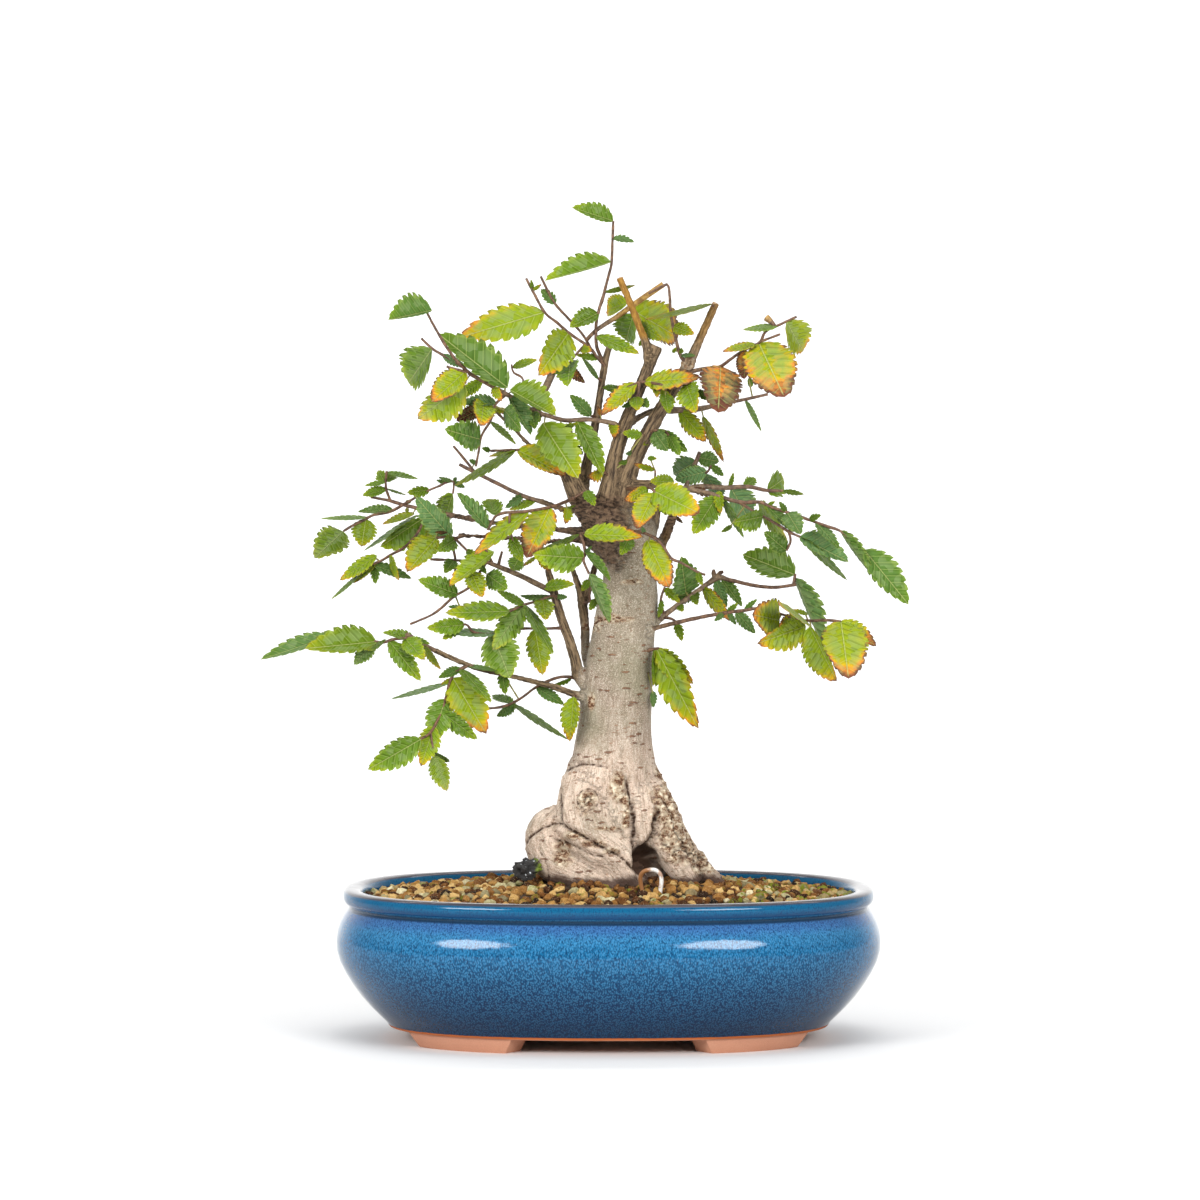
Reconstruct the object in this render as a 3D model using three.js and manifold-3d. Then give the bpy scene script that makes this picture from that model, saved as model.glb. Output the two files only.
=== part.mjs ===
// A japanese zelkova grown as a bonsai in an oval glazed pot. Millimetres, +Z up, front towards -Y.
import * as THREE from "three";
import { mergeVertices } from "three/addons/utils/BufferGeometryUtils.js";
import Module from "manifold-3d";

const wasm = await Module();
wasm.setup();

// Driving dimensions of the pot
const POT_HALF_WIDTH = 140.6;
const POT_DEPTH_SHARE = 0.8;
const POT_CORNER_POWER = 2.5;
const POT_SIDES = 28;
const WALL = 9;
const LIP_TOP = 78;
const FOOT_HEIGHT = 7.3;
const FLOOR_TOP = 17;
const FOOT_FROM = 0.593;
const FOOT_TO = 1.21;
const FOOT_STEPS = 4;
const FOOT_DEPTH = 16;
const FOOT_SUNK = 1.5;
const FOOT_SLANT = 0.06;
const DRAIN_RADIUS = 11;
const DRAIN_SIDES = 10;
const DRAIN_LENGTH = 30;
const DRAIN_PLACES = [-62, 62];
const SCREEN_SIZE = 30;
const SCREEN_THICK = 1.2;
const TIE_WIRE_RADIUS = 0.9;

// Driving dimensions of the soil and of what lies in it
const SOIL_EDGE_HEIGHT = 74;
const SOIL_MOUND = 14;
const SOIL_RINGS = 6;
const SOIL_CLEARANCE = 1.2;
const GRAIN_RELIEF = 1.4;
const LUMP_HALF = [6.8, 5.5, 5.2];
const LUMP_PLACE = [-41.5, -26, 88];
const LOOP_WIRE_RADIUS = 1.1;

// Driving dimensions of the tree
const TRUNK_SIDES = 13;
const ROOT_SIDES = 7;
const STOUT_SIDES = 5;
const STOUT_FROM = 2.4;
const THIN_SIDES = 4;
const TWIG_SIDES = 3;
const NECK_HALF = 0.5;
const SESSILE = 2.6;
const RIB_THICK = 1;
const BLADE_HALF_SHARE = 0.22;
const BLADE_WIDTH_SHARE = 0.5;
const BLADE_BOW = 0.22;
const LONE_TOOTH = 0.4;
const LONE_NOTCH = 0.68;
const NOTCH_DEPTH = 0.8;
const FOLD_LIMIT = Math.PI / 3;
const MOST_LEAN = 22;
const LEAN_VARIES = 0.3;
const GAP = 0.3;

// Twigs further than this in front of or behind the trunk's middle spread wider in depth.
const SPREAD_FROM = 12;
const SPREAD = 1.6;

// The place of the viewer that the tree was measured from, in front of the pot and above it.
const VIEW_X = -4.4;
const VIEW_Z = 427;
const VIEW_DISTANCE = 4000;

// The pot's middle is put this far along X, so that the whole thing is centred on its origin.
const POT_PLACE_X = 12.5;

// Stand a place that was measured in the plane through the pot's middle at its own depth y.
function seen(x, y, z) {
  const nearness = 1 + y / VIEW_DISTANCE;
  return new THREE.Vector3(
    VIEW_X + (x - VIEW_X) * nearness,
    y,
    VIEW_Z + (z - VIEW_Z) * nearness,
  );
}

function spread(y) {
  const beyond = Math.max(Math.abs(y) - SPREAD_FROM, 0);
  return y + Math.sign(y) * beyond * (SPREAD - 1);
}

// A repeatable number from 0 to 1 for each pair of numbers.
function scatter(i, j) {
  const wave = Math.sin(i * 127.1 + j * 311.7) * 43758.5453;
  return wave - Math.floor(wave);
}

// Solids

function solidOf(geometry) {
  const bare = geometry.index ? geometry.toNonIndexed() : geometry.clone();
  bare.deleteAttribute("normal");
  bare.deleteAttribute("uv");
  const merged = mergeVertices(bare, 1e-4);
  return new wasm.Manifold(
    new wasm.Mesh({
      numProp: 3,
      vertProperties: new Float32Array(merged.attributes.position.array),
      triVerts: new Uint32Array(merged.index.array),
    }),
  );
}

function geometryOf(solid) {
  const mesh = solid.getMesh();
  const places = new Float32Array(mesh.numVert * 3);
  for (let i = 0; i < mesh.numVert; i += 1) {
    const from = i * mesh.numProp;
    places.set(mesh.vertProperties.subarray(from, from + 3), i * 3);
  }
  const geometry = new THREE.BufferGeometry();
  geometry.setAttribute("position", new THREE.BufferAttribute(places, 3));
  geometry.setIndex(new THREE.BufferAttribute(new Uint32Array(mesh.triVerts), 1));
  return geometry;
}

function geometryFrom(points, faces) {
  const geometry = new THREE.BufferGeometry();
  const places = points.flatMap((p) => [p.x, p.y, p.z]);
  geometry.setAttribute("position", new THREE.Float32BufferAttribute(places, 3));
  geometry.setIndex(faces.flat());
  return geometry;
}

function joined(solids) {
  let whole = solids[0];
  for (const next of solids.slice(1)) whole = whole.add(next);
  return whole;
}

// The largest body of a solid, so that no loose scrap is left.
function mainBody(solid) {
  const bodies = solid.decompose();
  bodies.sort((a, b) => b.volume() - a.volume());
  return bodies[0];
}

// A stack of equal rings closed by a fan at each end. Each ring runs anticlockwise seen from the last.
function stackedRings(rings) {
  const sides = rings[0].length;
  const points = rings.flat();
  const faces = [];
  for (let row = 0; row + 1 < rings.length; row += 1) {
    for (let k = 0; k < sides; k += 1) {
      const a = row * sides + k;
      const b = row * sides + ((k + 1) % sides);
      faces.push([a, b, b + sides], [a, b + sides, a + sides]);
    }
  }
  for (const [row, isLast] of [[0, false], [rings.length - 1, true]]) {
    const hub = row * sides;
    for (let k = 1; k + 1 < sides; k += 1) {
      faces.push(isLast ? [hub, hub + k, hub + k + 1] : [hub, hub + k + 1, hub + k]);
    }
  }
  return geometryFrom(points, faces);
}

// A tube with closed ends through places, each with its own radius.
function tubeThrough(places, radii, sides) {
  let across = new THREE.Vector3(0.31, 1, 0.23);
  const rings = places.map((place, i) => {
    const before = places[Math.max(i - 1, 0)];
    const after = places[Math.min(i + 1, places.length - 1)];
    const along = after.clone().sub(before).normalize();
    across = across.clone().addScaledVector(along, -across.dot(along)).normalize();
    const other = along.clone().cross(across);
    return Array.from({ length: sides }, (_, k) => {
      const angle = (2 * Math.PI * k) / sides;
      return place
        .clone()
        .addScaledVector(across, radii[i] * Math.cos(angle))
        .addScaledVector(other, radii[i] * Math.sin(angle));
    });
  });
  return solidOf(stackedRings(rings));
}

// Branches of the crown are written as points [x, y, z, radius], their depth before the spread.
function branchPlaces(path) {
  return path.map(([x, y, z]) => seen(x, spread(y), z));
}

function branch(path, sides, extra = 0) {
  return tubeThrough(branchPlaces(path), path.map((p) => p[3] + extra), sides);
}

function root(path, extra = 0) {
  const places = path.map(([x, y, z]) => seen(x, y, z));
  return tubeThrough(places, path.map((p) => p[3] + extra), ROOT_SIDES);
}

// Pot

// Points of an oval ring at height z, whose half width along X is given.
function ovalRing(halfWidth, z) {
  const power = 2 / POT_CORNER_POWER;
  return Array.from({ length: POT_SIDES }, (_, k) => {
    const angle = (2 * Math.PI * k) / POT_SIDES;
    const c = Math.cos(angle);
    const s = Math.sin(angle);
    return new THREE.Vector3(
      halfWidth * Math.sign(c) * Math.abs(c) ** power,
      halfWidth * POT_DEPTH_SHARE * Math.sign(s) * Math.abs(s) ** power,
      z,
    );
  });
}

// Outline of the pot from the underside, up the bulging side to the lip: half width and height.
const POT_OUTSIDE = [
  [111, FOOT_HEIGHT],
  [116, FOOT_HEIGHT + 1.2],
  [125, 16.6],
  [133.6, 28],
  [139.4, 40],
  [POT_HALF_WIDTH, 51.6],
  [138.5, 61.6],
  [134.3, 68.5],
  [136.9, 72.5],
  [136.9, 76],
  [135, LIP_TOP],
];

// Outline down the inside, from the lip to the floor.
const POT_INSIDE = [
  [127.5, LIP_TOP],
  [134.5 - WALL, 68],
  [POT_HALF_WIDTH - WALL, 54],
  [139.4 - WALL, 40],
  [120, 25],
  [106, FLOOR_TOP],
];

// The half width of the inside at a height, by straight lines between the outline's points.
function insideHalfWidth(z) {
  for (let i = 0; i + 1 < POT_INSIDE.length; i += 1) {
    const [upperWidth, upperZ] = POT_INSIDE[i];
    const [lowerWidth, lowerZ] = POT_INSIDE[i + 1];
    if (z <= upperZ && z >= lowerZ) {
      return lowerWidth + ((upperWidth - lowerWidth) * (z - lowerZ)) / (upperZ - lowerZ);
    }
  }
  return POT_INSIDE[POT_INSIDE.length - 1][0];
}

// A low foot: a stretch of the oval's edge between two angles, with slanted ends.
function potFoot(fromAngle, toAngle) {
  const power = 2 / POT_CORNER_POWER;
  const levels = [
    { z: 0, out: 108, slant: 0 },
    { z: FOOT_HEIGHT + FOOT_SUNK, out: 112, slant: FOOT_SLANT },
  ];
  const rings = levels.map(({ z, out, slant }) => {
    const outer = [];
    const inner = [];
    for (let i = 0; i <= FOOT_STEPS; i += 1) {
      const angle = fromAngle - slant + ((toAngle - fromAngle + 2 * slant) * i) / FOOT_STEPS;
      const c = Math.cos(angle);
      const s = Math.sin(angle);
      const x = Math.sign(c) * Math.abs(c) ** power;
      const y = Math.sign(s) * Math.abs(s) ** power * POT_DEPTH_SHARE;
      outer.push(new THREE.Vector3(out * x, out * y, z));
      inner.unshift(new THREE.Vector3((out - FOOT_DEPTH) * x, (out - FOOT_DEPTH) * y, z));
    }
    return [...outer, ...inner];
  });
  return solidOf(stackedRings(rings));
}

function potSolid() {
  const outside = POT_OUTSIDE.map(([width, z]) => ovalRing(width, z));
  const inside = POT_INSIDE.map(([width, z]) => ovalRing(width, z));
  let pot = solidOf(stackedRings([...outside, ...inside]));
  for (const side of [0, Math.PI]) {
    pot = pot.add(potFoot(side + FOOT_FROM, side + FOOT_TO));
    pot = pot.add(potFoot(side + Math.PI - FOOT_TO, side + Math.PI - FOOT_FROM));
  }
  for (const x of DRAIN_PLACES) {
    const drain = new THREE.CylinderGeometry(DRAIN_RADIUS, DRAIN_RADIUS, DRAIN_LENGTH, DRAIN_SIDES);
    drain.rotateX(Math.PI / 2);
    drain.translate(x, 0, FLOOR_TOP);
    pot = pot.subtract(solidOf(drain));
  }
  return pot;
}

function screenSolid(x) {
  const screen = new THREE.BoxGeometry(SCREEN_SIZE, SCREEN_SIZE, SCREEN_THICK);
  screen.translate(x, 0, FLOOR_TOP + GAP + SCREEN_THICK / 2);
  return solidOf(screen);
}

// The wire that ties the root ball down: out of the left drain hole, along the underside to a twist.
const TIE_WIRE = [
  [-59, -3, 15],
  [-58.5, -3.5, 9],
  [-56, -5, FOOT_HEIGHT - GAP - TIE_WIRE_RADIUS],
  [-38, -18, FOOT_HEIGHT - GAP - TIE_WIRE_RADIUS],
  [-25, -27, FOOT_HEIGHT - GAP - TIE_WIRE_RADIUS],
  [-21, -30, 4.6],
  [-19, -31, 2.2],
];

function tieWireSolid() {
  const places = TIE_WIRE.map(([x, y, z]) => new THREE.Vector3(x, y, z));
  return tubeThrough(places, TIE_WIRE.map(() => TIE_WIRE_RADIUS), 6);
}

// Soil

function soilHeight(share, ring, side) {
  const grain = GRAIN_RELIEF * (2 * scatter(ring, side) - 1);
  return SOIL_EDGE_HEIGHT + SOIL_MOUND * (1 - share) ** 1.2 + (share < 1 ? grain : 0);
}

function soilSolid() {
  const levels = [FLOOR_TOP + SCREEN_THICK + 2 * GAP, 40, 68];
  const rings = levels.map((z) => ovalRing(insideHalfWidth(z) - SOIL_CLEARANCE, z));
  for (let ring = SOIL_RINGS; ring > 0; ring -= 1) {
    const share = ring / SOIL_RINGS;
    const width = (insideHalfWidth(SOIL_EDGE_HEIGHT) - SOIL_CLEARANCE) * share;
    const level = ovalRing(width, 0);
    level.forEach((p, side) => {
      p.z = soilHeight(share, ring, side);
    });
    rings.push(level);
  }
  return solidOf(stackedRings(rings));
}

// A dark lump of slow feed with pale specks, at the left foot of the trunk.
function lumpSolid(extra = 0) {
  const lump = new THREE.IcosahedronGeometry(1, 1);
  lump.scale(...LUMP_HALF.map((half) => half + extra));
  lump.rotateY(0.3);
  lump.translate(...LUMP_PLACE);
  return solidOf(lump);
}

// A loop of old white wire that stands out of the soil, right of the trunk.
const LOOP_WIRE = [
  [17, -47, 72],
  [17.5, -48, 80],
  [19, -49, 88],
  [22.5, -50, 91.5],
  [26.5, -51, 89],
  [29, -52, 82],
  [30, -52, 72],
];

function loopWireSolid(extra = 0) {
  const places = LOOP_WIRE.map(([x, y, z]) => new THREE.Vector3(x, y, z));
  return tubeThrough(places, LOOP_WIRE.map(() => LOOP_WIRE_RADIUS + extra), 6);
}

// Wood

// The trunk from below the soil to the whorl of limbs: height, middle x, half width and half depth.
const TRUNK = [
  [58, -2, 24, 22],
  [76, -1, 28, 26],
  [92, 0, 29, 27],
  [108, 0, 28, 26],
  [122, 1, 25.5, 24],
  [133, 1, 23.5, 22.5],
  [143, 0.7, 22.4, 21.5],
  [154, 1.1, 20.6, 20],
  [164, 2.6, 19.1, 19],
  [184, 4.2, 18.3, 18],
  [205, 7, 16.5, 16.5],
  [225, 10, 15.6, 15.5],
  [240, 11, 13.6, 14.5],
  [250, 8, 14.6, 15.5],
  [258, 6.5, 18, 17],
  [266, 5.5, 18.5, 17],
  [274, 4, 14, 13],
];

// The root flare: each swelling is a stout tapered tube [x, y, z, radius].
const ROOTS = [
  // the broad lobe in front
  [[-9, -4, 142, 14], [-12, -12, 120, 16.5], [-7, -20, 102, 15.5], [6, -23, 90, 11.5],
    [14, -24, 74, 8]],
  // the knob on the left, which folds under the lobe
  [[-22, -2, 116, 9], [-32, -7, 110, 12], [-34, -11, 100, 12.5], [-29, -17, 90, 11], [-14, -24, 84, 9],
    [4, -29, 75, 6]],
  // the small lobe beside the dark hollow
  [[16, -10, 128, 7], [17.5, -18, 112, 8], [18.5, -17, 99, 6], [18, -12, 88, 4]],
  // the corky root to the right
  [[13, 2, 140, 12], [24, 0, 122, 13.5], [33, -3, 108, 13], [43, -5, 96, 10], [54, -6, 86, 7],
    [64, -6, 74, 4]],
  // the two roots behind
  [[-2, 10, 136, 14], [-8, 22, 112, 14], [-16, 34, 92, 10], [-24, 44, 74, 6]],
  [[12, 8, 130, 12], [24, 22, 104, 12], [36, 34, 86, 8], [46, 42, 72, 5]],
];

// Limbs and stouter branches, from the trunk outwards: [x, y, z, radius].
const LIMBS = [
  // the left limb, which ends in a bare twig, and the leader
  [[4, 0, 254, 12], [-6, -2, 268, 8.5], [-15, -4, 280, 6.2], [-20, -6, 290, 4.6], [-25, -8, 297, 3],
    [-31, -9, 301, 1.5], [-40, -10, 306, 1.2], [-49, -11, 315, 1], [-62.5, -12, 328, 1]],
  [[-15, -3, 280, 5], [-12.5, -1, 291, 3.3], [-10, 1, 301, 2.8], [-8, 2, 311, 2.4], [-6, 3, 322, 2.2],
    [-4, 4, 335, 2], [-2, 5, 348, 2], [0.5, 5, 358, 1.7]],
  // the two thick limbs of the middle, cut short, each with a younger stub
  [[2, -4, 260, 11], [-1, -5, 274, 6.4], [1, -6, 288, 4.8], [3.5, -5, 301, 4], [7.5, -3, 314, 3.8],
    [12, -1, 326, 3.3], [17, 1, 338, 3.1], [21, 2, 348, 3], [25.5, 3, 358.5, 3.2]],
  [[21, 2, 350, 2.6], [19, 2, 361, 1.9], [16.5, 1, 367, 1.4], [11, 0, 380, 1.3], [5.5, -1, 393, 1.3]],
  [[8, -1, 260, 10], [7, -3, 274, 6.4], [9.5, -5, 288, 4.8], [14, -7, 300, 4.2], [20, -8, 312, 4],
    [26, -8, 323, 3.8], [32, -8, 333, 3.2], [38, -8, 343, 2.6], [42, -8, 350, 2.4], [47, -7, 361, 1.6],
    [55.5, -6, 380, 1.4]],
  // the branches to the right
  [[17, 4, 246, 9], [26, 9, 254, 3.6], [31, 13, 264, 2.5], [35.5, 16.3, 275, 2.3]],
  [[14, 5, 256, 11], [21, 8, 267, 5.5], [25, 11, 277, 3.4], [35, 15, 283.2, 2.2]],
  [[9, -5, 286, 3.2], [23, -14.2, 286.4, 2.1]],
  [[10, -2, 317, 2.4], [16, 4, 321, 1.7], [23, 9, 324, 1.8], [33.5, 13, 324.5, 2.1]],
  [[14, 0, 210, 7], [25, -1, 215.5, 2.2], [29, -0.8, 218.7, 2.1]],
  [[12, -4, 206, 7], [23.5, -9.4, 211.7, 1.8]],
  // the long branches to the left
  [[-2, 4, 266, 6], [-13, 9, 271.5, 1.9], [-24, 12, 273.5, 1.6], [-35, 15.3, 277.6, 1.6]],
  [[-4, 6, 260, 5], [-22, 12, 262.5, 1.7], [-40, 15, 264, 1.5], [-55, 17, 265.6, 1.4],
    [-63, 18, 267, 1.4],
    [-82, 20.2, 270.5, 1.5]],
  [[-1, 1, 252, 5], [-14, 0, 257.5, 1.8], [-28, -1, 256.5, 1.4], [-50, -2, 258.5, 1.3],
    [-66, -3, 259.3, 1.2],
    [-78, -4, 259.8, 1.3]],
  // the low limbs beside the trunk on the left
  [[-6, -4, 180, 6], [-15, -6, 187, 3.6], [-17, -8, 195, 3], [-20, -10, 205, 2.7], [-24, -12, 216, 2.5],
    [-27, -13, 226, 2.4], [-29, -14, 233, 2.2], [-31.5, -15, 243, 1.8]],
  [[-5, 3, 188, 6], [-11.5, 6, 197, 2.7], [-12, 8, 210, 2.4], [-13, 9, 221, 2.6], [-15, 10, 232, 2],
    [-19, 11, 243, 1.4]],
  [[-13, 9, 224, 2.3], [-9, 11, 236, 1.9], [-6.5, 12, 246, 1.6]],
  // the lowest branch to the left
  [[-4, -5, 174, 6], [-17, -9, 177.5, 2.2], [-30, -13, 182, 1.7], [-50, -19, 187, 1.4],
    [-66, -24, 190.6, 1.4],
    [-73, -26, 193, 1.4], [-90, -30.5, 200.5, 1.5]],
];

function trunkSolid(extra = 0) {
  const rings = TRUNK.map(([z, x, halfWidth, halfDepth], row) =>
    Array.from({ length: TRUNK_SIDES }, (_, k) => {
      const angle = (2 * Math.PI * k) / TRUNK_SIDES;
      const flute = 1 + 0.035 * Math.sin(3 * angle + row * 0.35) + 0.02 * Math.sin(5 * angle + 1);
      return seen(
        x + (halfWidth * flute + extra) * Math.cos(angle),
        (halfDepth * flute + extra) * Math.sin(angle),
        z,
      );
    }),
  );
  return solidOf(stackedRings(rings));
}

function isStout(path) {
  return path[Math.floor(path.length / 2)][3] > STOUT_FROM;
}

// The pieces of the wood, thicker by extra, before they are joined.
function woodPieces(extra = 0) {
  return [
    trunkSolid(extra),
    ...ROOTS.map((path) => root(path, extra)),
    ...LIMBS.map((path) => branch(path, isStout(path) ? STOUT_SIDES : THIN_SIDES, extra)),
  ];
}

// Leafy shoots

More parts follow.
